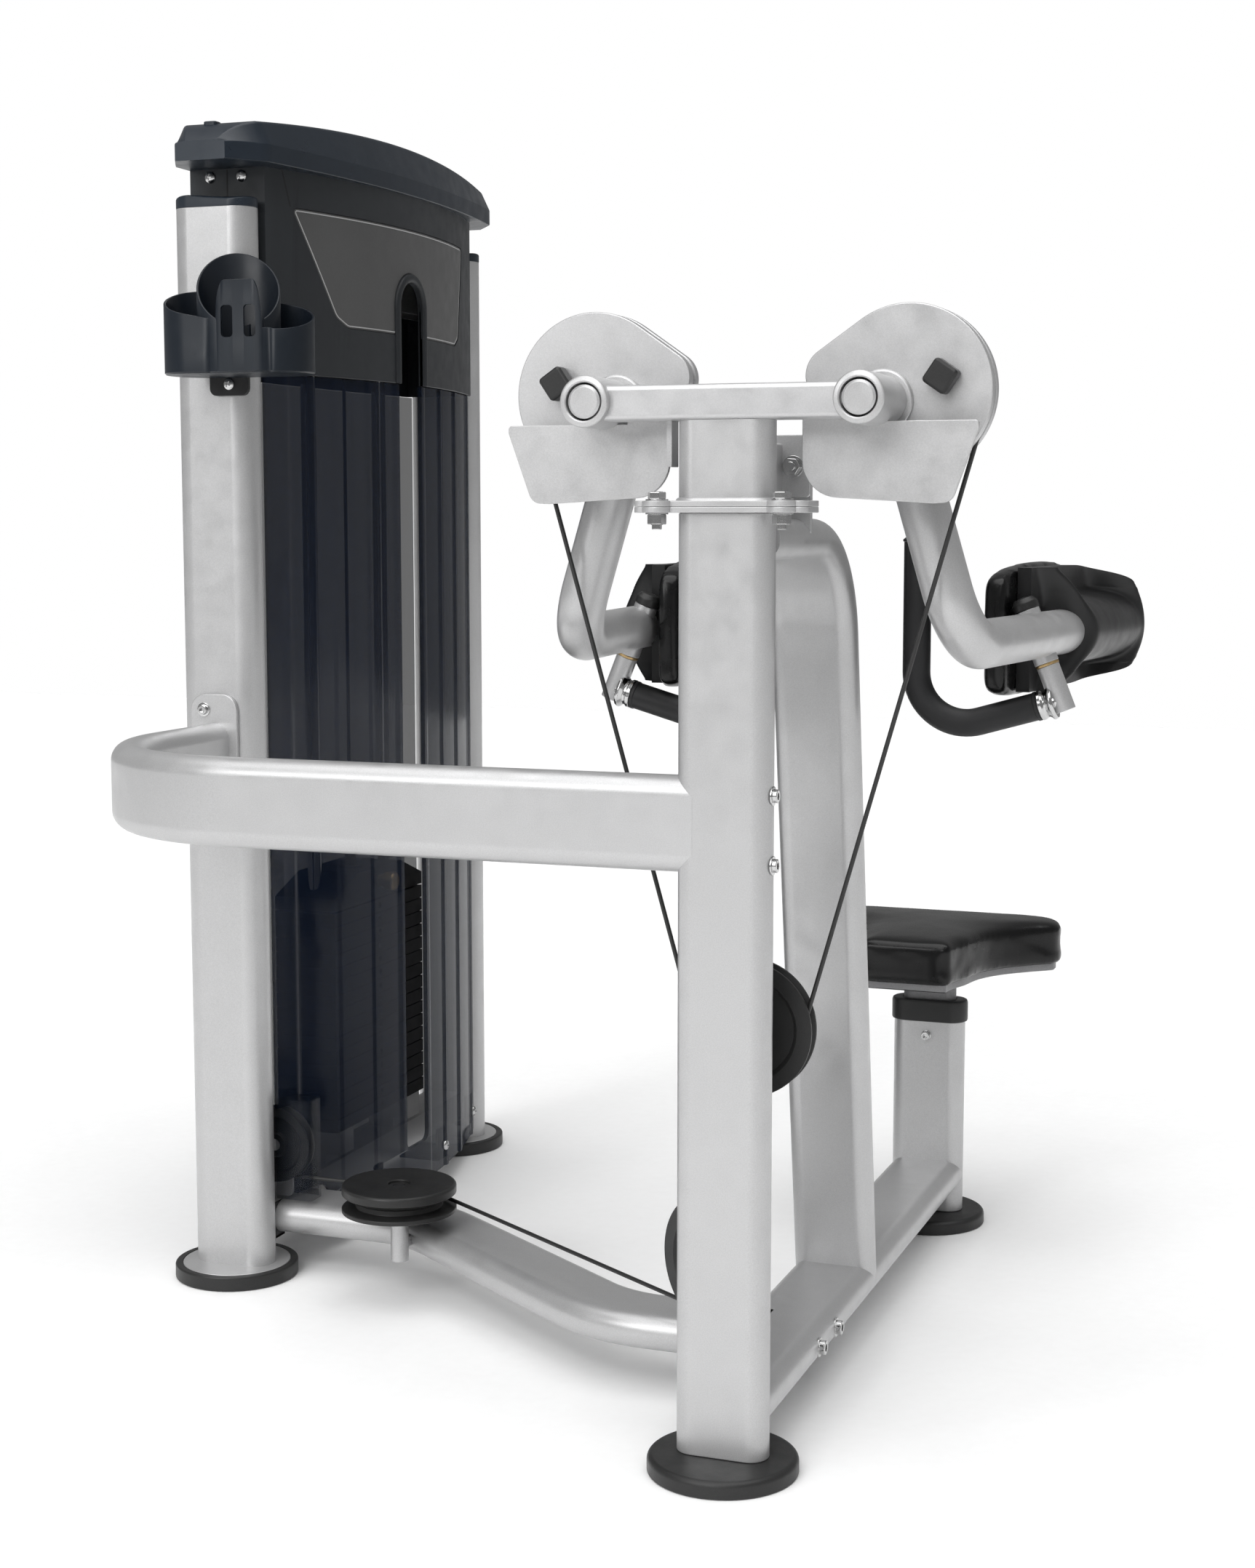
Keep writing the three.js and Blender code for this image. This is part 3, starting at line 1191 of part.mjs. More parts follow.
// How far the shell stands out from its back plate at a place on the pad.
function shellHeight(u, w) {
  const plate = SHELL_BACK - SHELL_POCKET;
  const across = Math.min(Math.abs(w) / SHELL_HUB_RADIUS, 1);
  const hub = SHELL_HUB_RADIUS * Math.sqrt(1 - across * across);
  const side = w > 0 ? w / PAD_TOP : -w / PAD_BOTTOM;
  const nearLine = SHELL_HUB_START - (SHELL_HUB_START - SHELL_NEAR) * 0.55 * side * side;
  const farLine = padFar * (0.9 - 0.12 * side * side);
  const farWall = (SHELL_FAR_RISE + plate) * (1 - 0.6 * side * side);
  const wall = (SHELL_HUB_RADIUS + plate) * (1 - 0.8 * side * side) - plate;
  const near = Math.exp(-(((u - nearLine) / SHELL_RIDGE_WIDTH) ** 2));
  const far = Math.exp(-(((u - farLine) / (1.6 * SHELL_RIDGE_WIDTH)) ** 2));
  const ridge = -plate + Math.max((wall + plate) * near, farWall * far);
  const behindRidge = u > nearLine && u < farLine ? hub : -plate;
  return Math.max(-plate, ridge, across < 1 ? behindRidge : -plate);
}

function padShell(side) {
  const columns = SHELL_COLUMNS;
  const rows = SHELL_ROWS;
  const near = SHELL_NEAR;
  const far = padFar - SHELL_FLANGE;
  const positions = [];
  const edgeAt = (u, sign) => {
    const t = (u - near) / (far - near);
    const fall = 1 - 0.75 * Math.max(0, (t - 0.5) * 2) ** 3;
    return sign > 0 ? (PAD_TOP - SHELL_FLANGE) * fall : -(PAD_BOTTOM - SHELL_FLANGE) * fall;
  };
  for (const layer of [0, 1]) {
    for (let i = 0; i <= columns; i += 1) {
      const u = near + (far - near) * i / columns;
      for (let j = 0; j <= rows; j += 1) {
        const w = edgeAt(u, -1) + (edgeAt(u, 1) - edgeAt(u, -1)) * j / rows;
        const v = layer === 0 ? -SHELL_BACK : shellHeight(u, w);
        positions.push(u, -side * v, w);
      }
    }
  }
  const index = [];
  const size = rows + 1;
  const whole = (columns + 1) * size;
  const quad = (a, b, c, d) => {
    if (side < 0) {
      index.push(a, b, c, a, c, d);
    } else {
      index.push(a, c, b, a, d, c);
    }
  };
  for (let i = 0; i < columns; i += 1) {
    for (let j = 0; j < rows; j += 1) {
      const a = i * size + j;
      quad(a, a + size, a + size + 1, a + 1);
      quad(whole + a, whole + a + 1, whole + a + size + 1, whole + a + size);
    }
  }
  for (let i = 0; i < columns; i += 1) {
    const a = i * size;
    quad(a, whole + a, whole + a + size, a + size);
    const b = a + rows;
    quad(b, b + size, whole + b + size, whole + b);
  }
  for (let j = 0; j < rows; j += 1) {
    quad(j, j + 1, whole + j + 1, whole + j);
    const b = columns * size + j;
    quad(b, whole + b, whole + b + 1, b + 1);
  }
  const geometry = new THREE.BufferGeometry();
  geometry.setAttribute('position', new THREE.Float32BufferAttribute(positions, 3));
  geometry.setIndex(index);
  const reach = (ARM_END_Y - SWIVEL_Y) / Math.cos(ARM_DIVERGE) + FIT;
  return solidOf(geometry).subtract(bore([-OVERRUN, 0, 0], [reach, 0, 0], ARM_RADIUS + FIT));
}

// Pulleys, floating block and cables

function pulley(axis, centre, radius, groove, thickness) {
  const half = thickness / 2;
  const seat = groove - CABLE_RADIUS - 2 * FIT;
  const lip = CABLE_RADIUS + 2 * FIT;
  const rim = thickness / 8;
  return turned([
    [PULLEY_BORE, -half], [radius, -half], [radius, -half + rim], [seat, -lip], [seat, lip],
    [radius, half - rim], [radius, half], [PULLEY_BORE, half], [PULLEY_BORE, -half],
  ], axis, centre, PULLEY_STEPS);
}

function turnPulley() {
  const half = PULLEY_THICKNESS / 2;
  const seat = PULLEY_GROOVE - CABLE_RADIUS - 2 * FIT;
  const lip = CABLE_RADIUS + 2 * FIT;
  const rim = PULLEY_THICKNESS / 8;
  const cover = PULLEY_THICKNESS * 0.6;
  const radius = PULLEY_RADIUS;
  const top = half + cover;
  return turned([
    [PULLEY_BORE, -half], [radius, -half], [radius, -lip - rim], [seat, -lip], [seat, lip],
    [radius - 2 * rim, half], [radius, half + rim], [radius, top - rim], [radius - rim, top],
    [2 * AXLE_RADIUS, top], [2 * AXLE_RADIUS, top - rim], [PULLEY_BORE, top - rim],
    [PULLEY_BORE, -half],
  ], [0, 0, 1], [IDLER_X, IDLER_Y, LOW_CABLE_Z], PULLEY_STEPS);
}

const BLOCK_BOTTOM = MID_PULLEY_Z - PULLEY_RADIUS - BLOCK_BRIDGE - BLOCK_PLATE;

function pulleyBlock() {
  const cheek = PULLEY_THICKNESS / 2 + BLOCK_PLATE / 2;
  const y = CABLE_PLANE_Y;
  const plates = [];
  for (const side of [-1, 1]) {
    const low = side > 0 ? cheek : -cheek - BLOCK_PLATE;
    plates.push(prismY(
      oval(2 * BLOCK_HALF_WIDTH, MID_PULLEY_Z - BLOCK_BOTTOM + BLOCK_RISE, 0,
        (MID_PULLEY_Z + BLOCK_BOTTOM + BLOCK_RISE) / 2),
      y + low, y + low + BLOCK_PLATE));
  }
  const bridge = block(
    [-BLOCK_HALF_WIDTH / 2, y - cheek, BLOCK_BOTTOM + BLOCK_PLATE],
    [BLOCK_HALF_WIDTH / 2, y + cheek, BLOCK_BOTTOM + BLOCK_BRIDGE]);
  const axle = bar(
    [0, y - cheek, MID_PULLEY_Z], [0, y + cheek, MID_PULLEY_Z], AXLE_RADIUS, ROUND_STEPS);
  const socket = bar(
    [0, y, BLOCK_BOTTOM - BLOCK_BRIDGE], [0, y, BLOCK_BOTTOM + BLOCK_BRIDGE], 2 * CABLE_RADIUS, SMALL_STEPS);
  return union([...plates, bridge, axle, socket]);
}

// The tangent that runs down from the outer side of a cam to the same side of the mid pulley.
function armCableTangent() {
  const camRadius = CAM_LARGE_RADIUS - CAM_GROOVE_DEPTH + CABLE_RADIUS - FIT;
  const dx = CAM_LARGE_X;
  const dz = CAM_LARGE_Z - MID_PULLEY_Z;
  const length = Math.hypot(dx, dz);
  const lean = Math.acos((PULLEY_GROOVE - camRadius) / length);
  const angle = Math.atan2(dz, dx) - lean;
  const normal = [Math.cos(angle), Math.sin(angle)];
  return {
    camRadius,
    angle,
    top: [CAM_LARGE_X + camRadius * normal[0], CAM_LARGE_Z + camRadius * normal[1]],
    bottom: [PULLEY_GROOVE * normal[0], MID_PULLEY_Z + PULLEY_GROOVE * normal[1]],
  };
}

function armCable(side) {
  const { top, bottom } = armCableTangent();
  const route = new BentRoute([
    [side * bottom[0], CABLE_PLANE_Y, bottom[1] + FIT],
    [side * top[0], CABLE_PLANE_Y, top[1] - FIT]], 0);
  return sweep(circle(CABLE_RADIUS, CABLE_SIDES), route);
}

// The stretch that lies in the cam's groove, up to its end fitting.
function camCable(side) {
  const { camRadius, angle } = armCableTangent();
  const steps = BEND_STEPS;
  const route = new ArcRoute(
    [side * CAM_LARGE_X, CABLE_PLANE_Y, CAM_LARGE_Z], camRadius, angle, angle + CAM_WRAP_ANGLE, steps, side);
  return sweep(circle(CABLE_RADIUS, CABLE_SIDES), route);
}

class ArcRoute extends THREE.Curve {
  constructor(centre, radius, from, to, steps, side) {
    super();
    this.centre = new THREE.Vector3(...centre);
    this.radius = radius;
    this.from = from;
    this.to = to;
    this.steps = steps;
    this.side = side;
  }

  angleAt(t) {
    return this.from + (this.to - this.from) * t;
  }

  getPoint(t) {
    const angle = this.angleAt(t);
    const dx = this.side * this.radius * Math.cos(angle);
    return new THREE.Vector3(dx, 0, this.radius * Math.sin(angle)).add(this.centre);
  }

  getTangent(t) {
    const angle = this.angleAt(t);
    return new THREE.Vector3(-this.side * Math.sin(angle), 0, Math.cos(angle));
  }

  getPointAt(t) {
    return this.getPoint(t);
  }

  getTangentAt(t) {
    return this.getTangent(t);
  }
}

function blockBight() {
  const { angle } = armCableTangent();
  const route = new ArcRoute(
    [0, CABLE_PLANE_Y, MID_PULLEY_Z], PULLEY_GROOVE, -Math.PI - angle, angle, 2 * BEND_STEPS, 1);
  return sweep(circle(CABLE_RADIUS, CABLE_SIDES), route);
}

const CABLE_CORNERS = [
  [0, CABLE_PLANE_Y, LOW_PULLEY[2]],
  [0, CABLE_PLANE_Y, LOW_CABLE_Z],
  [(TOWER_CABLE_Y - CABLE_PLANE_Y) / Math.tan(driveAngle), TOWER_CABLE_Y, LOW_CABLE_Z],
  [TOWER_X, TOWER_CABLE_Y, LOW_CABLE_Z],
  [TOWER_X, TOWER_CABLE_Y, TOP_PULLEY_Z + SMALL_PULLEY_GROOVE],
  [TOWER_X, TOWER_MID_Y, TOP_PULLEY_Z + SMALL_PULLEY_GROOVE],
  [TOWER_X, TOWER_MID_Y, TOP_PULLEY_Z],
];

function driveCable() {
  const small = SMALL_PULLEY_GROOVE;
  const route = new BentRoute(
    CABLE_CORNERS, [0, PULLEY_GROOVE, PULLEY_GROOVE, small, small, small, 0]);
  return sweep(circle(CABLE_RADIUS, CABLE_SIDES), route);
}

function cableBetween(x, y, low, high) {
  const route = new BentRoute([[x, y, low + FIT], [x, y, high - FIT]], 0);
  return sweep(circle(CABLE_RADIUS, CABLE_SIDES), route);
}

// Tower

function towerFoot(y) {
  const edge = FOOT_EDGE;
  const rim = TOWER_FOOT_DISC_RADIUS + FIT;
  const floor = FOOT_HEIGHT - TOWER_FOOT_DISC;
  return turned([
    [0, 0], [FOOT_RADIUS - edge / 2, 0], [FOOT_RADIUS, edge / 2], [FOOT_RADIUS, FOOT_HEIGHT - edge],
    [FOOT_RADIUS - edge / 2, FOOT_HEIGHT], [rim, FOOT_HEIGHT], [rim, floor], [0, floor],
  ], [0, 0, 1], [TOWER_X, y, 0]);
}

function towerPost(y) {
  const floor = FOOT_HEIGHT - TOWER_FOOT_DISC;
  const disc = bar([TOWER_X, y, floor], [TOWER_X, y, FOOT_HEIGHT], TOWER_FOOT_DISC_RADIUS);
  const tube = prismZ(
    ovalRing(TOWER_TUBE_WIDTH, TOWER_TUBE_DEPTH, TUBE_WALL, TOWER_X, y), floor, TOWER_POST_TOP);
  return disc.add(tube);
}

function plug(y) {
  const columns = SMALL_STEPS;
  const width = TOWER_TUBE_WIDTH;
  const top = [];
  for (let i = 0; i <= columns; i += 1) {
    const share = i / columns;
    const wave = PLUG_WAVE * Math.sin(2 * Math.PI * share) / 2;
    top.push([TOWER_X + width * (0.5 - share), TOWER_POST_TOP + PLUG_RISE - wave]);
  }
  const side = polygon([
    [TOWER_X - width / 2, TOWER_POST_TOP], [TOWER_X + width / 2, TOWER_POST_TOP], ...top]);
  const depth = TOWER_TUBE_DEPTH;
  const head = prismY(side, y - depth / 2, y + depth / 2).intersect(
    prismZ(oval(width, depth, TOWER_X, y), TOWER_POST_TOP, TOWER_POST_TOP + OVERRUN));
  const neckWall = 2 * (TUBE_WALL + FIT);
  const neck = prismZ(
    oval(width - neckWall, depth - neckWall, TOWER_X, y),
    TOWER_POST_TOP - PLUG_DEPTH, TOWER_POST_TOP + TUBE_WALL);
  return head.add(neck);
}

const POST_INNER_NEAR = NEAR_POST_Y + TOWER_TUBE_DEPTH / 2 + FIT;
const POST_INNER_FAR = FAR_POST_Y - TOWER_TUBE_DEPTH / 2 - FIT;
const BASE_PULLEY = [
  TOWER_X + SMALL_PULLEY_GROOVE, TOWER_CABLE_Y, LOW_CABLE_Z + SMALL_PULLEY_GROOVE];

function towerBase() {
  const half = TOWER_BASE_WIDTH / 2;
  const beam = block(
    [TOWER_X - half, POST_INNER_NEAR, BEAM_BOTTOM], [TOWER_X + half, POST_INNER_FAR, BEAM_TOP]);
  const hollow = block(
    [TOWER_X - half + TUBE_WALL, POST_INNER_NEAR - OVERRUN, BEAM_BOTTOM + TUBE_WALL],
    [TOWER_X + half - TUBE_WALL, POST_INNER_FAR + OVERRUN, BEAM_TOP - TUBE_WALL]);
  const cheekY = BASE_PULLEY[1] + SMALL_PULLEY_THICKNESS / 2 + BLOCK_PLATE / 2;
  const cheekFoot = block(
    [TOWER_X, cheekY, BEAM_TOP - TUBE_WALL],
    [TOWER_X + half - TUBE_WALL, cheekY + BLOCK_PLATE, BASE_PULLEY[2]]);
  const cheek = prismY(
    roundedBox(TOWER_X, BASE_PULLEY[0] + 2 * AXLE_RADIUS, BEAM_TOP + TUBE_WALL,
      BASE_PULLEY[2] + 2 * AXLE_RADIUS, AXLE_RADIUS), cheekY, cheekY + BLOCK_PLATE);
  const axle = bar(
    [BASE_PULLEY[0], BASE_PULLEY[1] - SMALL_PULLEY_THICKNESS / 2, BASE_PULLEY[2]],
    [BASE_PULLEY[0], cheekY + BLOCK_PLATE, BASE_PULLEY[2]], AXLE_RADIUS);
  const restHalf = STACK_WIDTH / 2 - PLATE_SEAM_DEPTH;
  const parts = [beam.subtract(hollow), cheekFoot, cheek, axle];
  for (const side of [-1, 1]) {
    const y = TOWER_MID_Y + side * ROD_SPREAD;
    const rest = block(
      [TOWER_X - restHalf, y - 2 * ROD_RADIUS, STACK_BOTTOM - STACK_REST_HEIGHT],
      [TOWER_X + restHalf, y + 2 * ROD_RADIUS, STACK_BOTTOM]);
    const leg = block(
      [TOWER_X - 2 * ROD_RADIUS, y - 2 * ROD_RADIUS, BEAM_TOP - TUBE_WALL],
      [TOWER_X + 2 * ROD_RADIUS, y + 2 * ROD_RADIUS, STACK_BOTTOM - STACK_REST_HEIGHT / 2]);
    const socket = bar(
      [TOWER_X, y, BEAM_TOP], [TOWER_X, y, STACK_BOTTOM + OVERRUN], ROD_RADIUS + FIT);
    parts.push(rest.add(leg).subtract(socket));
  }
  return union(parts);
}

function guideRod(y) {
  const top = TOWER_TOP_BOTTOM + TOWER_TOP_HEIGHT / 2 - FIT;
  return bar([TOWER_X, y, BEAM_TOP + FIT], [TOWER_X, y, top], ROD_RADIUS);
}

function towerTopFrame() {
  const half = TOWER_TOP_WIDTH / 2;
  const top = TOWER_TOP_BOTTOM + TOWER_TOP_HEIGHT;
  const wall = TOWER_TOP_WALL;
  const beam = block(
    [TOWER_X - half, POST_INNER_NEAR, TOWER_TOP_BOTTOM], [TOWER_X + half, POST_INNER_FAR, top]);
  const hollow = block(
    [TOWER_X - half + wall, POST_INNER_NEAR + wall, TOWER_TOP_BOTTOM - OVERRUN],
    [TOWER_X + half - wall, POST_INNER_FAR - wall, top + OVERRUN]);
  const parts = [beam.subtract(hollow)];
  for (const side of [-1, 1]) {
    const y = TOWER_MID_Y + side * ROD_SPREAD;
    const tie = block(
      [TOWER_X - half + wall / 2, y - 1.5 * ROD_RADIUS, TOWER_TOP_BOTTOM],
      [TOWER_X + half - wall / 2, y + 1.5 * ROD_RADIUS, top - wall]);
    const socket = bar(
      [TOWER_X, y, TOWER_TOP_BOTTOM - OVERRUN],
      [TOWER_X, y, TOWER_TOP_BOTTOM + TOWER_TOP_HEIGHT / 2], ROD_RADIUS + FIT);
    parts.push(tie.subtract(socket));
  }
  for (const y of TOP_PULLEY_YS) {
    parts.push(bar(
      [TOWER_X - half + wall / 2, y, TOP_PULLEY_Z], [TOWER_X + half - wall / 2, y, TOP_PULLEY_Z],
      AXLE_RADIUS));
  }
  return union(parts);
}

const TOP_PULLEY_YS = [
  TOWER_CABLE_Y + SMALL_PULLEY_GROOVE, TOWER_MID_Y - SMALL_PULLEY_GROOVE];

function weightPlates() {
  const half = STACK_WIDTH / 2;
  const length = STACK_LENGTH / 2;
  const depth = PLATE_SEAM_DEPTH;
  const core = block(
    [TOWER_X - half + depth, TOWER_MID_Y - length + depth, STACK_BOTTOM],
    [TOWER_X + half - depth, TOWER_MID_Y + length - depth, STACK_TOP - PLATE_SEAM]);
  let whole = core;
  const holes = [];
  for (let i = 0; i < PLATE_COUNT; i += 1) {
    const bottom = STACK_BOTTOM + i * PLATE_PITCH;
    const plate = block(
      [TOWER_X - half, TOWER_MID_Y - length, bottom],
      [TOWER_X + half, TOWER_MID_Y + length, bottom + PLATE_PITCH - PLATE_SEAM]);
    whole = whole.add(plate);
    const z = bottom + (PLATE_PITCH - PLATE_SEAM) / 2;
    holes.push(bar(
      [TOWER_X, TOWER_MID_Y, z], [TOWER_X + half + OVERRUN, TOWER_MID_Y, z],
      SELECTOR_RADIUS + 2 * FIT, SMALL_STEPS / 2));
  }
  holes.push(bar(
    [TOWER_X, TOWER_MID_Y, 0], [TOWER_X, TOWER_MID_Y, 2 * STACK_TOP], STEM_RADIUS + 2 * FIT,
    SMALL_STEPS));
  for (const side of [-1, 1]) {
    const y = TOWER_MID_Y + side * ROD_SPREAD;
    holes.push(bar([TOWER_X, y, 0], [TOWER_X, y, 2 * STACK_TOP], ROD_RADIUS + 2 * FIT,
      SMALL_STEPS));
  }
  return whole.subtract(union(holes));
}

function stackHead() {
  const half = STACK_WIDTH / 2;
  const length = STACK_LENGTH / 2;
  const bottom = STACK_TOP + HEAD_GAP;
  const shoulder = HEAD_HEIGHT / 5;
  const section = polygon([
    [TOWER_MID_Y - length, bottom], [TOWER_MID_Y + length, bottom],
    [TOWER_MID_Y + length, bottom + 2 * shoulder],
    [TOWER_MID_Y + length / 2, bottom + HEAD_HEIGHT], [TOWER_MID_Y - length / 2, bottom + HEAD_HEIGHT],
    [TOWER_MID_Y - length, bottom + 2 * shoulder],
  ]);
  const head = prismX(section, TOWER_X - half, TOWER_X + half);
  const stem = bar(
    [TOWER_X, TOWER_MID_Y, STACK_BOTTOM], [TOWER_X, TOWER_MID_Y, bottom + shoulder], STEM_RADIUS);
  const anchor = turned([
    [0, 0], [2 * ANCHOR_RADIUS, 0], [2 * ANCHOR_RADIUS, shoulder], [ANCHOR_RADIUS, shoulder],
    [ANCHOR_RADIUS, ANCHOR_TOP - bottom - HEAD_HEIGHT], [0, ANCHOR_TOP - bottom - HEAD_HEIGHT],
  ], [0, 0, 1], [TOWER_X, TOWER_MID_Y, bottom + HEAD_HEIGHT - FIT], SMALL_STEPS * 2);
  const holes = [bar(
    [TOWER_X, TOWER_MID_Y, SELECTOR_Z], [TOWER_X + half + OVERRUN, TOWER_MID_Y, SELECTOR_Z],
    SELECTOR_RADIUS + FIT, SMALL_STEPS)];
  for (const side of [-1, 1]) {
    const y = TOWER_MID_Y + side * ROD_SPREAD;
    holes.push(bar([TOWER_X, y, 0], [TOWER_X, y, 2 * STACK_TOP], ROD_RADIUS + 2 * FIT,
      SMALL_STEPS));
  }
  return union([head, stem, anchor]).subtract(union(holes));
}

function selectorPin() {
  const face = TOWER_X + STACK_WIDTH / 2 + FIT;
  const r = SELECTOR_KNOB_RADIUS;
  const length = SELECTOR_KNOB_LENGTH;
  const knob = turned([
    [0, 0], [r * 0.7, 0], [r * 0.7, length * 0.35], [r, length * 0.45], [r, length * 0.9],
    [r * 0.85, length], [0, length],
  ], [1, 0, 0], [face, TOWER_MID_Y, SELECTOR_Z]);
  return knob.add(bar(
    [TOWER_X + FIT, TOWER_MID_Y, SELECTOR_Z], [face + length / 2, TOWER_MID_Y, SELECTOR_Z],
    SELECTOR_RADIUS, SMALL_STEPS));
}

// The curly lanyard: a helix of eight steps a curl, from the head plate's face to the knob.
function lanyard() {
  const sides = 5;
  const steps = 8 * LANYARD_CURLS;
  const x = TOWER_X + STACK_WIDTH / 2 + LANYARD_RADIUS + LANYARD_WIRE + FIT;
  const start = TOWER_MID_Y + SELECTOR_KNOB_RADIUS + LANYARD_RADIUS;
  const positions = [];
  const centres = [];
  for (let i = 0; i <= steps; i += 1) {
    const angle = 2 * Math.PI * i / 8;
    const along = LANYARD_LENGTH * i / steps;
    const outwards = new THREE.Vector3(Math.cos(angle), 0, Math.sin(angle));
    const centre = new THREE.Vector3(x, start + along, SELECTOR_Z)
      .addScaledVector(outwards, LANYARD_RADIUS);
    centres.push(centre);
    for (let j = 0; j < sides; j += 1) {
      const turn = 2 * Math.PI * j / sides;
      const point = centre.clone().addScaledVector(outwards, LANYARD_WIRE * Math.cos(turn));
      positions.push(point.x, point.y + LANYARD_WIRE * Math.sin(turn), point.z);
    }
  }
  const index = [];
  for (let i = 0; i < steps; i += 1) {
    for (let j = 0; j < sides; j += 1) {
      const a = i * sides + j;
      const b = i * sides + (j + 1) % sides;
      index.push(a, b, b + sides, a, b + sides, a + sides);
    }
  }
  const last = steps * sides;
  for (let j = 1; j < sides - 1; j += 1) {
    index.push(0, j + 1, j, last, last + j, last + j + 1);
  }
  const geometry = new THREE.BufferGeometry();
  geometry.setAttribute('position', new THREE.Float32BufferAttribute(positions, 3));
  geometry.setIndex(index);
  let least = Infinity;
  for (let i = 0; i < centres.length; i += 1) {
    for (let j = i + 6; j < centres.length; j += 1) {
      least = Math.min(least, centres[i].distanceTo(centres[j]) - 2 * LANYARD_WIRE);
    }
  }
  console.log(`Least gap between the lanyard's curls: ${least.toFixed(2)} mm`);
  return solidOf(geometry);
}

// Shroud plan curves: how far out the front and the back stand at a distance along the tower.
const SHROUD_NEAR_Y = POST_INNER_NEAR;
const SHROUD_FAR_Y = POST_INNER_FAR;

function frontX(y, outwards = 0) {
  const share = (y - TOWER_MID_Y) / ((SHROUD_FAR_Y - SHROUD_NEAR_Y) / 2);
  return SHROUD_EDGE_X + (SHROUD_FRONT_X - SHROUD_EDGE_X) * (1 - share * share) + outwards;
}

function backX(y, outwards = 0) {
  const share = (y - TOWER_MID_Y) / ((SHROUD_FAR_Y - SHROUD_NEAR_Y) / 2);
  const edge = 2 * TOWER_X - SHROUD_EDGE_X;
  return edge - SHROUD_BACK_BULGE * (1 - share * share) - outwards;
}

function curvedPanel(edge, y0, y1, inner, outer, steps = SMALL_STEPS) {
  const points = [];
  for (let i = 0; i <= steps; i += 1) {
    const y = y0 + (y1 - y0) * i / steps;
    points.push([edge(y, outer), y]);
  }
  for (let i = steps; i >= 0; i -= 1) {
    const y = y0 + (y1 - y0) * i / steps;
    points.push([edge(y, inner), y]);
  }
  return polygon(points);
}

function shroudFront() {
  const wall = SHROUD_WALL;
  const panel = prismZ(
    curvedPanel(frontX, SHROUD_NEAR_Y, SHROUD_FAR_Y, -wall, 0), SHROUD_BOTTOM, HOUSING_BOTTOM + HOUSING_LAP);
  const ribs = [];
  const span = SHROUD_FAR_Y - SHROUD_NEAR_Y;
  for (const share of [0.05, 0.2, 0.32, 0.68, 0.8, 0.95]) {
    const y = SHROUD_NEAR_Y + span * share;
    ribs.push(prismZ(
      curvedPanel(frontX, y - RIB_WIDTH / 2, y + RIB_WIDTH / 2, -wall / 2, RIB_DEPTH, 1),
      SHROUD_BOTTOM, HOUSING_BOTTOM - FIT));
  }
  const lipHalf = SLOT_HALF_WIDTH + SLOT_LIP;
  const lip = prismZ(
    curvedPanel(frontX, TOWER_MID_Y - lipHalf, TOWER_MID_Y + lipHalf, -wall / 2, SLOT_LIP_DEPTH, 2),
    SLOT_BOTTOM - SLOT_LIP, HOUSING_BOTTOM - FIT);
  const slot = prismX(
    roundedBox(TOWER_MID_Y - SLOT_HALF_WIDTH, TOWER_MID_Y + SLOT_HALF_WIDTH, SLOT_BOTTOM,
      HOUSING_TOP, SLOT_HALF_WIDTH / 3), SHROUD_EDGE_X - OVERRUN, SHROUD_FRONT_X + OVERRUN);
  const tieHalf = TUBE_WIDTH / 2 + 2 * FIT;
  const tieHole = prismX(
    roundedBox(SHROUD_NEAR_Y - OVERRUN, TIE_END_Y + tieHalf, SHROUD_BOTTOM - TUBE_DEPTH,
      BEAM_TOP + 2 * TUBE_WALL, TUBE_DEPTH / 2), SHROUD_EDGE_X - OVERRUN, SHROUD_FRONT_X + OVERRUN);
  const cableHole = bar(
    [SHROUD_EDGE_X - OVERRUN, TOWER_CABLE_Y, LOW_CABLE_Z],
    [SHROUD_FRONT_X + OVERRUN, TOWER_CABLE_Y, LOW_CABLE_Z], 3 * CABLE_RADIUS, SMALL_STEPS);
  const bulge = BASE_PULLEY[0] + SMALL_PULLEY_RADIUS + 2 * FIT;
  const pulleyHole = block(
    [SHROUD_EDGE_X - OVERRUN, SHROUD_NEAR_Y - OVERRUN, BEAM_TOP],
    [bulge, TOWER_CABLE_Y + SMALL_PULLEY_THICKNESS, BASE_PULLEY[2] + SMALL_PULLEY_RADIUS]);
  return union([panel, ...ribs, lip]).subtract(
    union([slot, tieHole, cableHole, pulleyHole, housingEndSpace()]));
}

function shroudBack() {
  const wall = SHROUD_WALL;
  const panel = prismZ(
    curvedPanel(backX, SHROUD_NEAR_Y, SHROUD_FAR_Y, -wall, 0), SHROUD_BOTTOM, HOUSING_BOTTOM + HOUSING_LAP);
  const ribs = [];
  const span = SHROUD_FAR_Y - SHROUD_NEAR_Y;
  for (const share of [0.05, 0.26, 0.5, 0.74, 0.95]) {
    const y = SHROUD_NEAR_Y + span * share;
    ribs.push(prismZ(
      curvedPanel(backX, y - RIB_WIDTH / 2, y + RIB_WIDTH / 2, -wall / 2, RIB_DEPTH, 1),
      SHROUD_BOTTOM, HOUSING_BOTTOM - FIT));
  }
  return union([panel, ...ribs]).subtract(housingEndSpace());
}

function housingPlan(outwards, steps = SMALL_STEPS) {
  const y0 = SHROUD_NEAR_Y - outwards + SHROUD_WALL + FIT;
  const y1 = SHROUD_FAR_Y + outwards - SHROUD_WALL - FIT;
  const points = [];
  for (let i = 0; i <= steps; i += 1) {
    const y = y0 + (y1 - y0) * i / steps;
    points.push([frontX(y, outwards), y]);
  }
  for (let i = steps; i >= 0; i -= 1) {
    const y = y0 + (y1 - y0) * i / steps;
    points.push([backX(y, outwards), y]);
  }
  return polygon(points);
}

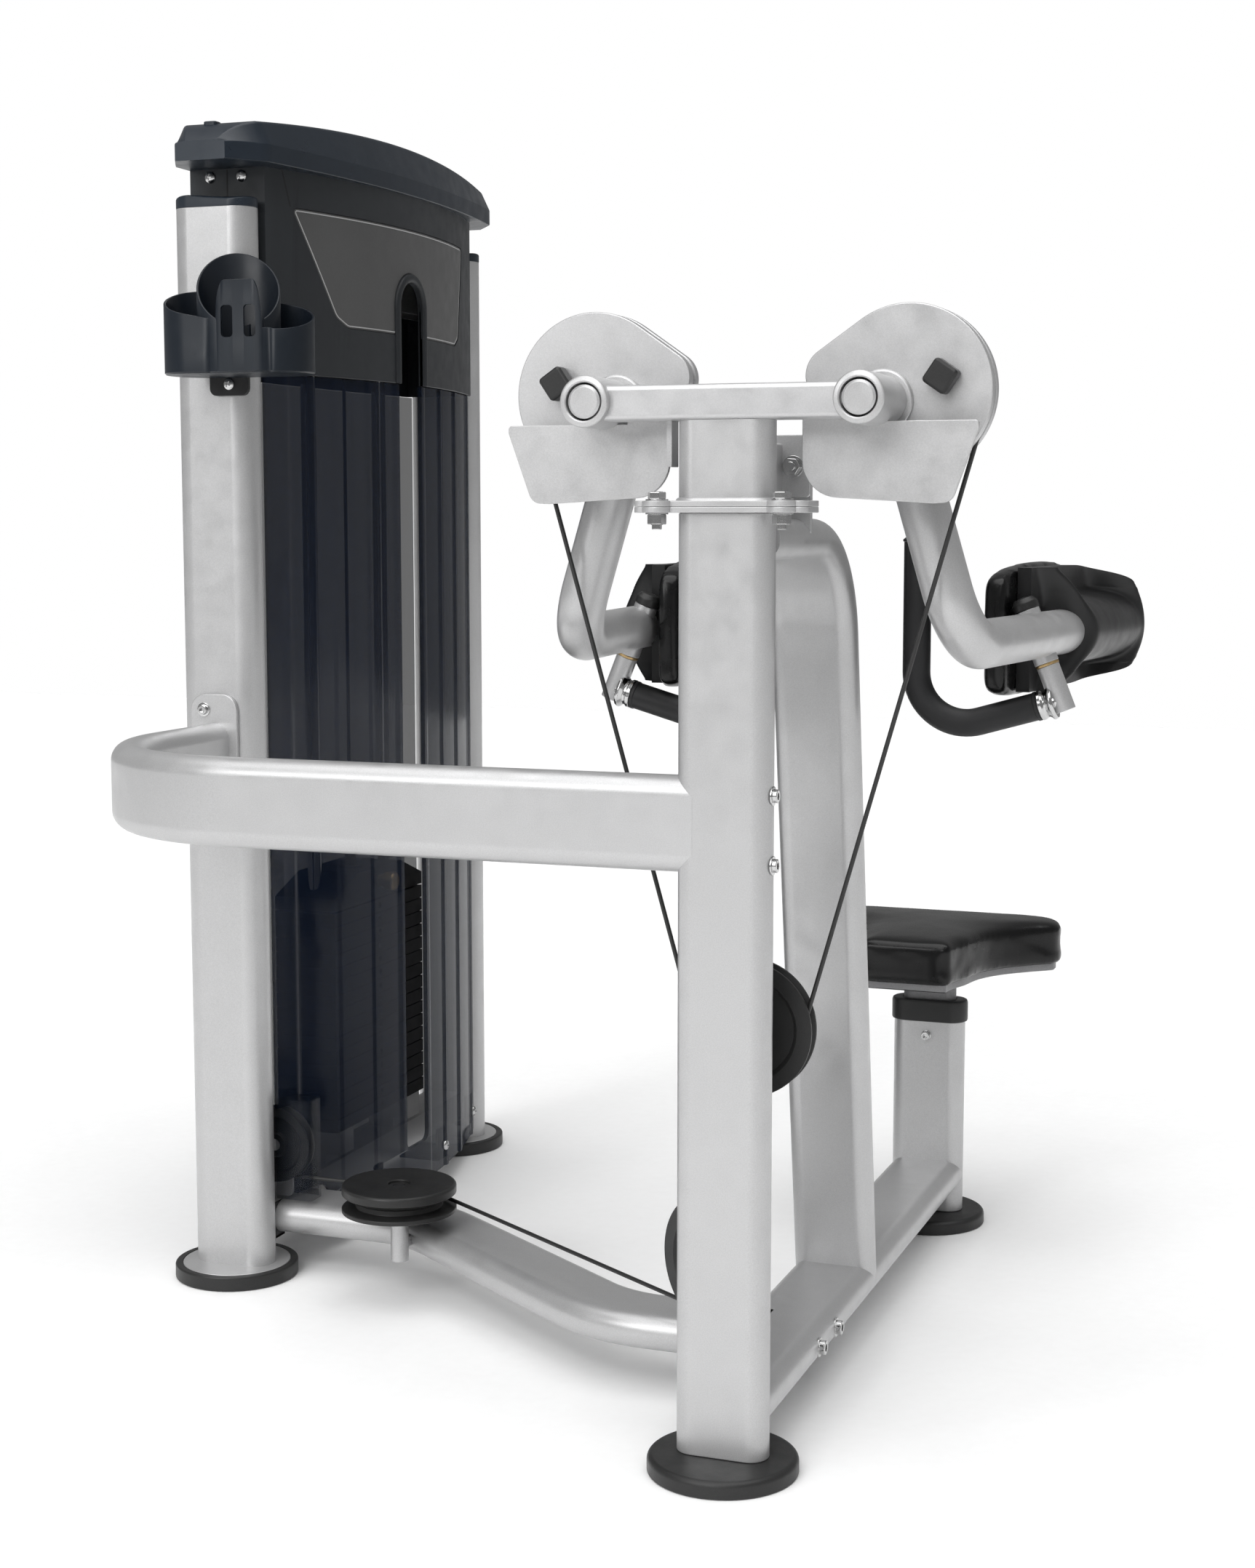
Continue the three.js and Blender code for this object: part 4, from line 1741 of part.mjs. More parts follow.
// The room for the tower's top beam in the ends of the housing.
function topFrameSpace() {
  const half = TOWER_TOP_WIDTH / 2 + FIT;
  return block(
    [TOWER_X - half, SHROUD_NEAR_Y - OVERRUN, TOWER_TOP_BOTTOM - FIT],
    [TOWER_X + half, SHROUD_FAR_Y + OVERRUN, HOUSING_TOP + OVERRUN]);
}

// The ends of the housing, where the shrouds' upper edges stop short.
function housingEndSpace() {
  const ends = [
    [SHROUD_NEAR_Y - OVERRUN, SHROUD_NEAR_Y + SHROUD_WALL + 2 * FIT],
    [SHROUD_FAR_Y - SHROUD_WALL - 2 * FIT, SHROUD_FAR_Y + OVERRUN]];
  return union(ends.map(([y0, y1]) => block(
    [TOWER_X - TUBE_WIDTH, y0, HOUSING_BOTTOM - FIT],
    [TOWER_X + 2 * TUBE_WIDTH, y1, HOUSING_TOP])));
}

function upperHousing() {
  const wall = SHROUD_WALL;
  const outer = prismZ(housingPlan(wall + FIT), HOUSING_BOTTOM, HOUSING_TOP);
  const inner = prismZ(housingPlan(FIT), HOUSING_BOTTOM - OVERRUN, HOUSING_TOP + OVERRUN);
  const shell = outer.subtract(inner);
  const slotShape = new THREE.Shape();
  slotShape.moveTo(TOWER_MID_Y - SLOT_HALF_WIDTH, HOUSING_BOTTOM - OVERRUN);
  slotShape.lineTo(TOWER_MID_Y + SLOT_HALF_WIDTH, HOUSING_BOTTOM - OVERRUN);
  slotShape.absarc(TOWER_MID_Y, SLOT_TOP - SLOT_HALF_WIDTH, SLOT_HALF_WIDTH, 0, Math.PI);
  slotShape.closePath();
  const slot = prismX(slotShape, SHROUD_EDGE_X - OVERRUN, SHROUD_FRONT_X + OVERRUN);
  const lipHalf = SLOT_HALF_WIDTH + SLOT_LIP;
  const lipShape = new THREE.Shape();
  lipShape.moveTo(TOWER_MID_Y - lipHalf, HOUSING_BOTTOM);
  lipShape.lineTo(TOWER_MID_Y + lipHalf, HOUSING_BOTTOM);
  lipShape.absarc(TOWER_MID_Y, SLOT_TOP - SLOT_HALF_WIDTH, lipHalf, 0, Math.PI);
  lipShape.closePath();
  const face = prismZ(
    curvedPanel(frontX, TOWER_MID_Y - lipHalf, TOWER_MID_Y + lipHalf, FIT + wall / 2,
      FIT + wall + SLOT_LIP_DEPTH, 2), HOUSING_BOTTOM, HOUSING_TOP);
  const lip = prismX(lipShape, SHROUD_EDGE_X, SHROUD_FRONT_X + OVERRUN).intersect(face);
  const recessShape = placardShape();
  const recess = prismX(recessShape, SHROUD_EDGE_X, SHROUD_FRONT_X + OVERRUN).intersect(prismZ(
    curvedPanel(frontX, SHROUD_NEAR_Y, SHROUD_FAR_Y, FIT + wall - PLACARD_RECESS, OVERRUN),
    HOUSING_BOTTOM, HOUSING_TOP));
  return shell.subtract(recess).add(lip).subtract(slot).subtract(topFrameSpace());
}

function placardShape() {
  const span = SHROUD_FAR_Y - SHROUD_NEAR_Y;
  const y = (share) => SHROUD_NEAR_Y + span * share;
  return polygon([
    [y(0.24), PLACARD_BOTTOM], [y(0.79), PLACARD_BOTTOM], [y(0.82), PLACARD_BOTTOM + RIB_WIDTH],
    [y(0.87), PLACARD_TOP], [y(0.07), PLACARD_TOP], [y(0.2), PLACARD_BOTTOM + RIB_WIDTH]]);
}

function towerCap() {
  const sections = 14;
  const nearY = CAP_NEAR_Y;
  const farY = CAP_FAR_Y;
  const half = (farY - nearY) / 2;
  const middle = (farY + nearY) / 2;
  const rings = [];
  for (let i = 0; i <= sections; i += 1) {
    const turn = Math.PI * i / sections;
    const y = middle - half * Math.cos(turn);
    const share = (y - middle) / half;
    const toEnd = half - Math.abs(y - middle);
    const slant = Math.max(0, 1 - toEnd / CAP_CORNER);
    const bulge = SHROUD_FRONT_X + 2 * SHROUD_WALL - CAP_END_X;
    const front = CAP_END_X + bulge * (1 - share * share) - CAP_OVERHANG * slant;
    const back = CAP_BACK_X - CAP_OVERHANG / 4 * (1 - share * share) + CAP_OVERHANG * slant;
    const top = CAP_TOP_END + (CAP_TOP_MID - CAP_TOP_END) * (1 - share * share);
    const roof = top - (top - CAP_BEVEL) * slant * slant;
    rings.push([
      [back, y, HOUSING_TOP], [front, y, HOUSING_TOP], [front, y, CAP_BEVEL],
      [front - CAP_INSET, y, Math.max(roof, CAP_BEVEL + FIT)],
      [back + CAP_INSET, y, Math.max(roof, CAP_BEVEL + FIT)], [back, y, CAP_BEVEL]]);
  }
  const cap = loft(rings.reverse());
  const pocketTop = CAP_BEVEL;
  const pocket = block(
    [CAP_BACK_X + 3 * CAP_INSET, nearY + CAP_CORNER, HOUSING_TOP - OVERRUN],
    [CAP_END_X - CAP_INSET, farY - CAP_CORNER, pocketTop]);
  return cap.subtract(pocket);
}

// Cup and towel holder on the near post: a long oval tray with a round cup through its
// middle, whose rim rises to a slanted hoop, and a slotted panel in front.
function cupHolder() {
  const wall = HOLDER_WALL;
  const y = POST_FACE_Y - FIT - wall - HOLDER_DEPTH / 2;
  const tray = prismZ(oval(HOLDER_WIDTH, HOLDER_DEPTH, HOLDER_X, y), HOLDER_BOTTOM, HOLDER_TOP);
  const trayHollow = prismZ(
    oval(HOLDER_WIDTH - 2 * wall, HOLDER_DEPTH - 2 * wall, HOLDER_X, y),
    HOLDER_BOTTOM + wall, HOLDER_TOP + OVERRUN);
  const radius = HOLDER_CUP_RADIUS;
  const tube = bar([HOLDER_X, y, HOLDER_BOTTOM], [HOLDER_X, y, HOLDER_HOOP_TOP], radius);
  const tubeBore = bar(
    [HOLDER_X, y, HOLDER_BOTTOM + wall], [HOLDER_X, y, HOLDER_HOOP_TOP + OVERRUN], radius - wall);
  const front = y - radius - OVERRUN;
  const back = y + radius;
  const aboveLine = (lowZ, highZ) => {
    const slope = (highZ - lowZ) / (2 * radius);
    return prismX(polygon([
      [front, lowZ - OVERRUN * slope], [back + OVERRUN, highZ + OVERRUN * slope],
      [back + OVERRUN, highZ + 3 * OVERRUN], [front, highZ + 3 * OVERRUN],
    ]), HOLDER_X - HOLDER_WIDTH, HOLDER_X + HOLDER_WIDTH);
  };
  const above = aboveLine(HOLDER_HOOP_LOW, HOLDER_HOOP_TOP);
  const panelZone = prismY(roundedBox(
    HOLDER_X - HOLDER_PANEL_WIDTH / 2, HOLDER_X + HOLDER_PANEL_WIDTH / 2,
    HOLDER_BOTTOM, HOLDER_PANEL_TOP, SLOT_LIP), y - 2 * radius, y);
  const cup = tube.subtract(above).add(tube.intersect(panelZone));
  const rimmed = tray.subtract(trayHollow).subtract(aboveLine(HOLDER_TOP_FRONT, HOLDER_TOP));
  const ends = rimmed.subtract(bar(
    [HOLDER_X, y, 0], [HOLDER_X, y, 2 * HOLDER_TOP], radius - wall / 2));
  let whole = ends.add(cup.subtract(tubeBore));
  for (const side of [-1, 1]) {
    const x = HOLDER_X + side * HOLDER_SLOT_SPREAD;
    const half = HOLDER_SLOT_WIDTH / 2;
    whole = whole.subtract(prismY(roundedBox(
      x - half, x + half, HOLDER_SLOT_BOTTOM, HOLDER_SLOT_BOTTOM + HOLDER_SLOT_HEIGHT, half * 0.6,
    ), y - 2 * radius, y));
  }
  const plate = prismY(roundedBox(
    HOLDER_BRACKET_X - HOLDER_BRACKET_WIDTH / 2, HOLDER_BRACKET_X + HOLDER_BRACKET_WIDTH / 2,
    HOLDER_BOTTOM - HOLDER_BRACKET_DROP, HOLDER_TOP - OVERRUN / 2, FLANGE_CORNER),
  POST_FACE_Y - FIT - 2 * wall, POST_FACE_Y - FIT, 2);
  return whole.add(plate);
}

// Assembly

addPiece('column', column(), PAINT);
addPiece('column_foot', turned(foot(), [0, 0, 1], [0, 0, 0]), RUBBER);
addPiece('head_post', headPost(), PAINT);
addPiece('crossbar', crossbar(), PAINT);
addPiece('base_beam', baseBeam(), PAINT);
addPiece('curved_post', curvedPost(), PAINT);
addPiece('lower_tie', lowerTie(), PAINT);
addPiece('side_beam', sideBeam(), PAINT);
addPiece('seat_post', seatPost(), PAINT);
addPiece('seat_foot', turned(foot(), [0, 0, 1], [0, SEAT_POST_Y, 0]), RUBBER);
addPiece('seat_collar', seatCollar(), PLASTIC);
addPiece('seat_cushion', seatCushion(), VINYL);
addPiece('seat_carriage', seatCarriage(), BOARD);
addPiece('seat_pin', seatPin(), PLASTIC);

const posts = [['near', NEAR_POST_Y], ['far', FAR_POST_Y]];
for (const [place, y] of posts) {
  addPiece(`post_${place}`, towerPost(y), PAINT);
  addPiece(`foot_${place}`, towerFoot(y), RUBBER);
  addPiece(`plug_${place}`, plug(y), PLASTIC);
}
addPiece('tower_base', towerBase(), PAINT);
addPiece('tower_top_frame', towerTopFrame(), PAINT);
addPiece('guide_rod_near', guideRod(TOWER_MID_Y - ROD_SPREAD), STEEL);
addPiece('guide_rod_far', guideRod(TOWER_MID_Y + ROD_SPREAD), STEEL);
addPiece('weight_plates', weightPlates(), IRON);
addPiece('stack_head', stackHead(), IRON);
addPiece('selector_pin', selectorPin(), BRASS);
addPiece('lanyard', lanyard(), CABLE);
addPiece('shroud_front', shroudFront(), SMOKED);
addPiece('shroud_back', shroudBack(), SMOKED);
addPiece('upper_housing', upperHousing(), HOUSING);
addPiece('tower_cap', towerCap(), PLASTIC);
addPiece('cup_holder', cupHolder(), PLASTIC);

for (const [word, side] of [['left', -1], ['right', 1]]) {
  addPiece(`arm_${word}`, arm(side), PAINT);
  addPiece(`cam_${word}`, cam(side).add(camCable(side)), PAINT);
  addPiece(`bumper_${word}`, bumper(side), RUBBER);
  addPiece(`swivel_${word}`, swivel(side), STEEL);
  addPiece(`grip_${word}`, grip(side), RUBBER);
  addPiece(`arm_cable_${word}`, armCable(side), CABLE);
  const frame = padFrame(side);
  addPiece(`pad_${word}`, padCushion(side), VINYL, frame);
  addPiece(`pad_shell_${word}`, padShell(side), PLASTIC, frame);
}

const drivePlane = [-driveY, driveX, 0];
addPiece('mid_pulley', pulley([0, 1, 0], [0, CABLE_PLANE_Y, MID_PULLEY_Z],
  PULLEY_RADIUS, PULLEY_GROOVE, PULLEY_THICKNESS), RUBBER);
addPiece('low_pulley', pulley(drivePlane, LOW_PULLEY,
  PULLEY_RADIUS, PULLEY_GROOVE, PULLEY_THICKNESS), RUBBER);
addPiece('turn_pulley', turnPulley(), RUBBER);
addPiece('base_pulley', pulley([0, 1, 0], BASE_PULLEY,
  SMALL_PULLEY_RADIUS, SMALL_PULLEY_GROOVE, SMALL_PULLEY_THICKNESS), RUBBER);
['near', 'mid'].forEach((place, i) => {
  addPiece(`top_pulley_${place}`, pulley([1, 0, 0], [TOWER_X, TOP_PULLEY_YS[i], TOP_PULLEY_Z],
    SMALL_PULLEY_RADIUS, SMALL_PULLEY_GROOVE, SMALL_PULLEY_THICKNESS), RUBBER);
});
addPiece('pulley_block', pulleyBlock(), STEEL);
addPiece('block_bight', blockBight(), CABLE);
addPiece('block_cable', cableBetween(
  0, CABLE_PLANE_Y, LOW_PULLEY[2], BLOCK_BOTTOM - BLOCK_BRIDGE), CABLE);
addPiece('drive_cable', driveCable(), CABLE);
addPiece('stack_cable', cableBetween(TOWER_X, TOWER_MID_Y, ANCHOR_TOP, TOP_PULLEY_Z), CABLE);

export default group;
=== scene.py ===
"""Looks for the lateral raise machine. Lengths are in millimetres until a mesh is made."""
import cmath
from math import acos, atan2, cos, dist, exp, hypot, pi, radians, sin, sqrt, tan

import bmesh
import bpy
from mathutils import Matrix, Vector


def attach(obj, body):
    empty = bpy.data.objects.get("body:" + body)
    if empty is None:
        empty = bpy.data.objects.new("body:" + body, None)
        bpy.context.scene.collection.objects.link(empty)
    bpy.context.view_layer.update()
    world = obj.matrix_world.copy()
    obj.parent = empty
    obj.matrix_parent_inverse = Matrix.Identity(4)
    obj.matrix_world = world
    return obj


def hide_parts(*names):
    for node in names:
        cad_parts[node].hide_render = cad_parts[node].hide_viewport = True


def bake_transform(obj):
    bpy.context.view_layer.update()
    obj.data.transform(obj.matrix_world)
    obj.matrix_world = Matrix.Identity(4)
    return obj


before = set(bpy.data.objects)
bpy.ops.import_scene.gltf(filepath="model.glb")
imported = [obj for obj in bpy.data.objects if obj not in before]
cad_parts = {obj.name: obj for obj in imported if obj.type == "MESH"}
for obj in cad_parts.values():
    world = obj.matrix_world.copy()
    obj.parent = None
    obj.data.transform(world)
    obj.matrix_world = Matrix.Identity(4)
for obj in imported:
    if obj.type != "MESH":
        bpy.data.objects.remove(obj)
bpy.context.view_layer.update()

MM = 0.001
X, Y, Z = Vector((1, 0, 0)), Vector((0, 1, 0)), Vector((0, 0, 1))
SIDES = (("left", -1), ("right", 1))

# Sizes that the solids have too: widths, radii and places
TUBE_W, TUBE_D = 100, 42
PLATE_NEAR, PLATE_MID, PLATE_FAR, PLATE_LOW, PLATE_HIGH = 124.7, 131, 137, 1014, 1079
BEAM_Z = 71
FOOT_R, FOOT_H = 80, 19
SEAT_Y = 946
FLANGE = 998
FLANGE_TOP = FLANGE + 12
FLANGE_BOLT = (65, -28)
BAR_LOW, BAR_HIGH = 1090, 1125
PIVOT_X, PIVOT_Z = 142, 1109
BARREL_R, BARREL_BORE = 26, 19.2
CAM_FRONT, CAM_BACK = 64, 94
CAM_MID = (CAM_FRONT + CAM_BACK) / 2
CAM_LARGE = (167.5, 1120, 86)
CAM_SMALL = (90.5, 1136, 29)
WRAP_R, WRAP_TO = 78.5, 1.05
CABLE_R = 2.4
GROOVE_R = 2.8
WHEEL_R, SMALL_R = 58, 42
WHEEL, SMALL_WHEEL = (73, WHEEL_R, 22), (50, SMALL_R, 18)
AXLE_R, CHEEK = 7.6, 17
ARM_R, ARM_Y, ARM_Z, ARM_X = 26, 121, 861, 215
DIVERGE = 0.106
SWIVEL_Y, SWIVEL_LEAN = 399, 0.379
GRIP_R, GRIP_LEAN, GRIP_DROP, GRIP_X, GRIP_TOP = 16, 0.28, 79, 102, 971
PAD_NEAR, PAD_FAR, PAD_TOP, PAD_LOW = -27, 343, 82, -74
PAD_BACK = 34
SHELL_BACK, SHELL_NEAR, SHELL_EDGE = 33.5, 18, 7
MID_Z, LOW_Z, LOW_AXLE_Z = 457, 127, 185
SOCKET_Z, STEM_Z, HIGH_Z = 352, 545, 1330
HIGH_CABLE_Z = HIGH_Z + SMALL_R
IDLER = (-555, 378, LOW_Z)
DRIVE = radians(146.408)
LOW_PULLEY = (WHEEL_R * cos(DRIVE), CAM_MID + WHEEL_R * sin(DRIVE), LOW_AXLE_Z)
TOWER_X, NEAR_Y, FAR_Y = -802, 397, 1084
TOWER_Y = (NEAR_Y + FAR_Y) / 2
POST_W, POST_D, POST_LOW, POST_HIGH = 108, 53, 13, 1378
GUIDE_Y, GUIDE_R = 108, 10
SHROUD_NEAR, SHROUD_FAR = 423.8, 1057.2
EDGE_X, FRONT_X, BACK_BULGE = -753, -701, 14
SHEET_LOW, SHEET_HIGH = 36, 1174
HOUSE_LOW, HOUSE_HIGH, HOUSE_OUT = 1175, 1431, 4.3
SLOT_HALF, SLOT_TOP, SLOT_LOW = 36, 1314, 96
SEAT_BASE, SEAT_LOW = 360, 368.3
HOLDER = (-728, 316.2)
KNOB_Z = 477
SIDE_Z, ARCH_Z = 682, 971
REAR_Y, REAR_LEAN = 448, tan(0.1536)
PIN_Z = 250


# Camera

def added(name, data):
    """A new object in the scene."""
    obj = bpy.data.objects.new(name, data)
    bpy.context.scene.collection.objects.link(obj)
    return obj


camera_data = bpy.data.cameras.new("camera")
camera_data.sensor_fit = "VERTICAL"
camera_data.sensor_height = 36
camera_data.lens = 54.18
camera = added("camera", camera_data)
camera.location = (0.7267, -2.2691, 0.9960)
camera.rotation_euler = (radians(90 - 6.509), 0, radians(20.164))
bpy.context.scene.camera = camera


# Materials

def material(name, colour, rough, metal=0.0, tint=0.05, grain=900, bump=0.1, fleck=0.0,
             edge_wear_and_highlight=None, cells=False, coat=0.0, alpha=1.0, spread=0.08, streak=None, spec=0.5):
    """Colour drifts over large patches and small grains, and convex edges take a lighter colour
    that is partly edge wear and partly a painted edge highlight; bump and roughness follow the
    grain.
    """
    made = bpy.data.materials.new(name)
    made.use_nodes = True
    tree = made.node_tree
    shader = tree.nodes["Principled BSDF"]

    def node(kind, **values):
        new = tree.nodes.new(kind)
        for key, value in values.items():
            if key in new.inputs:
                new.inputs[key].default_value = value
            else:
                setattr(new, key, value)
        return new

    def link(a, out, b, into):
        tree.links.new(a.outputs[out], b.inputs[into])

    def ranged(source, out, low, high, least=0.0, most=1.0):
        """A value brought from one range to another."""
        new = node("ShaderNodeMapRange", **{"From Min": low, "From Max": high, "To Min": least,
                                            "To Max": most})
        link(source, out, new, "Value")
        return new

    place = node("ShaderNodeTexCoord")
    source = place
    if streak:
        source = node("ShaderNodeMapping", Scale=streak)
        link(place, "Object", source, "Vector")
    output = "Vector" if streak else "Object"
    broad = node("ShaderNodeTexNoise", Scale=7.0, Detail=5.0)
    fine = node("ShaderNodeTexNoise", Scale=float(grain), Detail=2.0)
    link(place, "Object", broad, "Vector")
    link(source, output, fine, "Vector")
    ramp = node("ShaderNodeValToRGB")
    for stop, at, drift in zip(ramp.color_ramp.elements, (0.3, 0.7), (-tint, tint)):
        stop.position = at
        stop.color = [c * (1 + drift) for c in colour] + [1]
    link(broad, "Fac", ramp, "Fac")
    last, port = ramp, "Color"
    if fleck:
        spots = ranged(fine, "Fac", 0.3, 0.7, 1 - fleck, 1 + fleck)
        scale = node("ShaderNodeVectorMath", operation="SCALE")
        link(last, port, scale, "Vector")
        link(spots, "Result", scale, "Scale")
        last, port = scale, "Vector"
    # Convex edges, found by pointiness, are lightened: partly edge wear, partly a painted edge
    # highlight.
    if edge_wear_and_highlight:
        band = ranged(node("ShaderNodeNewGeometry"), "Pointiness", 0.53, 0.66, most=0.5)
        share, whole, edge_slot, mixed = 0, 6, 7, 2
        mix = node("ShaderNodeMix", data_type="RGBA")
        mix.inputs[edge_slot].default_value = list(edge_wear_and_highlight) + [1]
        link(band, "Result", mix, share)
        link(last, port, mix, whole)
        link(mix, mixed, shader, "Base Color")
    else:
        link(last, port, shader, "Base Color")
    patches = node("ShaderNodeTexNoise", Scale=38.0, Detail=6.0)
    link(place, "Object", patches, "Vector")
    shine = ranged(patches, "Fac", 0.25, 0.75, max(rough - spread, 0.02), rough + spread)
    link(shine, "Result", shader, "Roughness")
    lift = node("ShaderNodeBump", Strength=bump, Distance=0.0006)
    if cells:
        crease = node("ShaderNodeTexVoronoi", feature="DISTANCE_TO_EDGE", Scale=cells)
        link(place, "Object", crease, "Vector")
        link(ranged(crease, "Distance", 0.0, 0.12), "Result", lift, "Height")
    else:
        link(fine, "Fac", lift, "Height")
    link(lift, "Normal", shader, "Normal")
    for key, value in (("Metallic", metal), ("Coat Weight", coat), ("Alpha", alpha),
                       ("Specular IOR Level", spec)):
        shader.inputs[key].default_value = value
    return made


# The last colour in a row, where one is given, lightens convex edges: partly edge wear, partly a
# painted edge highlight.
FINISHES = {
    "paint": material("powder_coat", (0.52, 0.52, 0.523), 0.38, 0.6, 0.02, 900, 0.10, 0.07,
                      (0.66, 0.66, 0.67)),
    "rubber": material("moulded_rubber", (0.018, 0.018, 0.018), 0.42, 0, 0.10, 700, 0.12, 0.10,
                       (0.035, 0.035, 0.035), spec=0.4),
    "grip": material("foam_rubber", (0.012, 0.012, 0.013), 0.5, 0, 0.12, 1300, 0.3, 0.16,
                     spec=0.4),
    "plastic": material("moulded_plastic", (0.013, 0.019, 0.028), 0.34, 0, 0.08, 1100, 0.08,
                        0.06, (0.07, 0.085, 0.10), spec=0.35),
    "tray": material("tray_plastic", (0.0055, 0.0085, 0.0135), 0.36, 0, 0.08, 1100, 0.08,
                     0.06, (0.05, 0.062, 0.075), spec=0.3),
    "housing": material("textured_plastic", (0.018, 0.020, 0.023), 0.44, 0, 0.07, 900, 0.12,
                        0.09, (0.04, 0.045, 0.05), spec=0.3),
    "placard": material("printed_plate", (0.085, 0.085, 0.085), 0.38, 0, 0.06, 300, 0.03, 0.03,
                        spec=0.3),
    "line": material("plate_line", (0.42, 0.42, 0.42), 0.4, 0, 0.05, 500, 0.03, 0.05),
    "vinyl": material("upholstery_vinyl", (0.0026, 0.0026, 0.0028), 0.27, 0, 0.15, 500, 0.03,
                      cells=620, coat=0.05, spread=0.03, spec=0.3),
    "shell": material("shell_plastic", (0.012, 0.012, 0.0125), 0.38, 0, 0.08, 1200, 0.08, 0.08,
                      spec=0.35),
    "chrome": material("bright_steel", (0.56, 0.56, 0.56), 0.15, 1.0, 0.04, 260, 0.03, 0.04,
                       spread=0.06, streak=(1, 1, 12)),
    "steel": material("satin_steel", (0.42, 0.42, 0.42), 0.30, 1.0, 0.06, 400, 0.06, 0.06),
    "iron": material("cast_iron_paint", (0.005, 0.0055, 0.007), 0.5, 0.0, 0.12, 350, 0.06,
                     0.08, (0.03, 0.031, 0.034), spec=0.3),
    "brass": material("satin_brass", (0.56, 0.40, 0.20), 0.34, 1.0, 0.10, 500, 0.10, 0.10),
    "cable": material("coated_cable", (0.016, 0.016, 0.016), 0.42, 0, 0.12, 1700, 0.30, 0.2),
    "board": material("seat_board", (0.22, 0.22, 0.225), 0.5, 0, 0.06, 500, 0.12, 0.08,
                      (0.3, 0.3, 0.3)),
    "smoked": material("smoked_sheet", (0.0055, 0.010, 0.023), 0.10, 0, 0.08, 25, 0.01,
                       alpha=0.63, spread=0.03, spec=0.12),
    "guard": material("smoked_guard", (0.006, 0.009, 0.016), 0.10, 0, 0.08, 25, 0.01,
                      alpha=0.26, spread=0.03, spec=0.2),
    "dark": material("dark_recess", (0.005, 0.005, 0.006), 0.6, 0, 0.2, 400, 0.1, 0.1),
}


# Forms: corners in millimetres and the faces between them

class Form:
    """Corners and faces that can be added together and moved."""
    def __init__(self, points=(), faces=()):
        self.points = [Vector(p) for p in points]
        self.faces = [list(f) for f in faces]

    def __add__(self, other):
        start = len(self.points)
        return Form(self.points + other.points,
                    self.faces + [[start + i for i in face] for face in other.faces])

    def moved(self, matrix):
        return Form([matrix @ p for p in self.points], self.faces)


def stepped(low, high, steps):
    """Values at even steps, with both ends."""
    return [low + (high - low) * k / steps for k in range(steps + 1)]


def around(sides):
    """Angles of the corners of a round outline."""
    return [2 * pi * k / sides for k in range(sides)]


def joined(forms):
    whole = Form()
    for form in forms:
        whole = whole + form
    return whole


def loft(rings, caps=True, closed=False):
    """Faces between rings that have the same number of corners."""
    count = len(rings[0])
    faces = []
    for i in range(len(rings) if closed else len(rings) - 1):
        here, there = i * count, (i + 1) % len(rings) * count
        for j in range(count):
            k = (j + 1) % count
            faces.append([here + j, here + k, there + k, there + j])
    if caps and not closed:
        last = (len(rings) - 1) * count
        faces.append(list(range(count))[::-1])
        faces.append([last + j for j in range(count)])
    return Form([p for ring in rings for p in ring], faces)


def basis(axis):
    """Two directions across an axis, and the axis itself."""
    w = Vector(axis).normalized()
    u = w.orthogonal().normalized()
    return u, w.cross(u), w


def placed(form, origin, axis, turn=0.0):
    """A form made along +Z, set at a point and along an axis."""
    u, v, w = basis(axis)
    matrix = Matrix((u, v, w)).transposed().to_4x4()
    return form.moved(Matrix.Translation(origin) @ matrix @ Matrix.Rotation(turn, 4, "Z"))


def lathe(profile, axis=Z, centre=(0, 0, 0), sides=72, bored=False):
    """A profile of radii and heights turned about an axis; a bored one is a closed loop."""
    u, v, w = basis(axis)
    middle = Vector(centre)
    return loft([[middle + w * h + (u * cos(t) + v * sin(t)) * r for t in around(sides)]
                 for r, h in profile], closed=bored)


def fillet(points, radius, closed=True, steps=6):
    """The outline with its corners rounded, by one radius or one for each corner."""
    spots = [complex(*p) for p in points]
    count = len(spots)
    radii = radius if isinstance(radius, (list, tuple)) else [radius] * count
    out = []
    for i, (spot, r) in enumerate(zip(spots, radii)):
        before, after = spots[i - 1] - spot, spots[(i + 1) % count] - spot
        end = not closed and i in (0, count - 1)
        if end or r <= 0 or not abs(before) or not abs(after):
            out.append(spot)
            continue
        a, b = before / abs(before), after / abs(after)
        half = abs(cmath.phase(b / a)) / 2
        if half > pi / 2 - 0.02:
            out.append(spot)
            continue
        reach = min(r / tan(half), 0.49 * abs(before), 0.49 * abs(after))
        centre = spot + (a + b) / abs(a + b) * reach / cos(half)
        start, stop = spot + a * reach - centre, spot + b * reach - centre
        turn = cmath.phase(stop / start)
        out += [centre + start * cmath.exp(1j * turn * k / steps) for k in range(steps + 1)]
    return [(p.real, p.imag) for p in out]


def inset(outline, distance):
    """An outline moved inwards, or outwards where the distance is below zero."""
    spots = [complex(*p) for p in outline]
    count = len(spots)
    area = sum((spots[i - 1].conjugate() * spots[i]).imag for i in range(count))
    sign = 1 if area > 0 else -1
    out = []
    for i, spot in enumerate(spots):
        before, after = spot - spots[i - 1], spots[(i + 1) % count] - spot
        n1 = 1j * sign * before / max(abs(before), 1e-9)
        n2 = 1j * sign * after / max(abs(after), 1e-9)
        bend = 1 + (n1.conjugate() * n2).real
        shift = (n1 + n2) / max(bend, 0.5) * distance
        out.append((spot.real + shift.real, spot.imag + shift.imag))
    return out


def on_axis(axis, a, b, along):
    if axis == "X":
        return Vector((along, a, b))
    if axis == "Y":
        return Vector((a, along, b))
    return Vector((a, b, along))


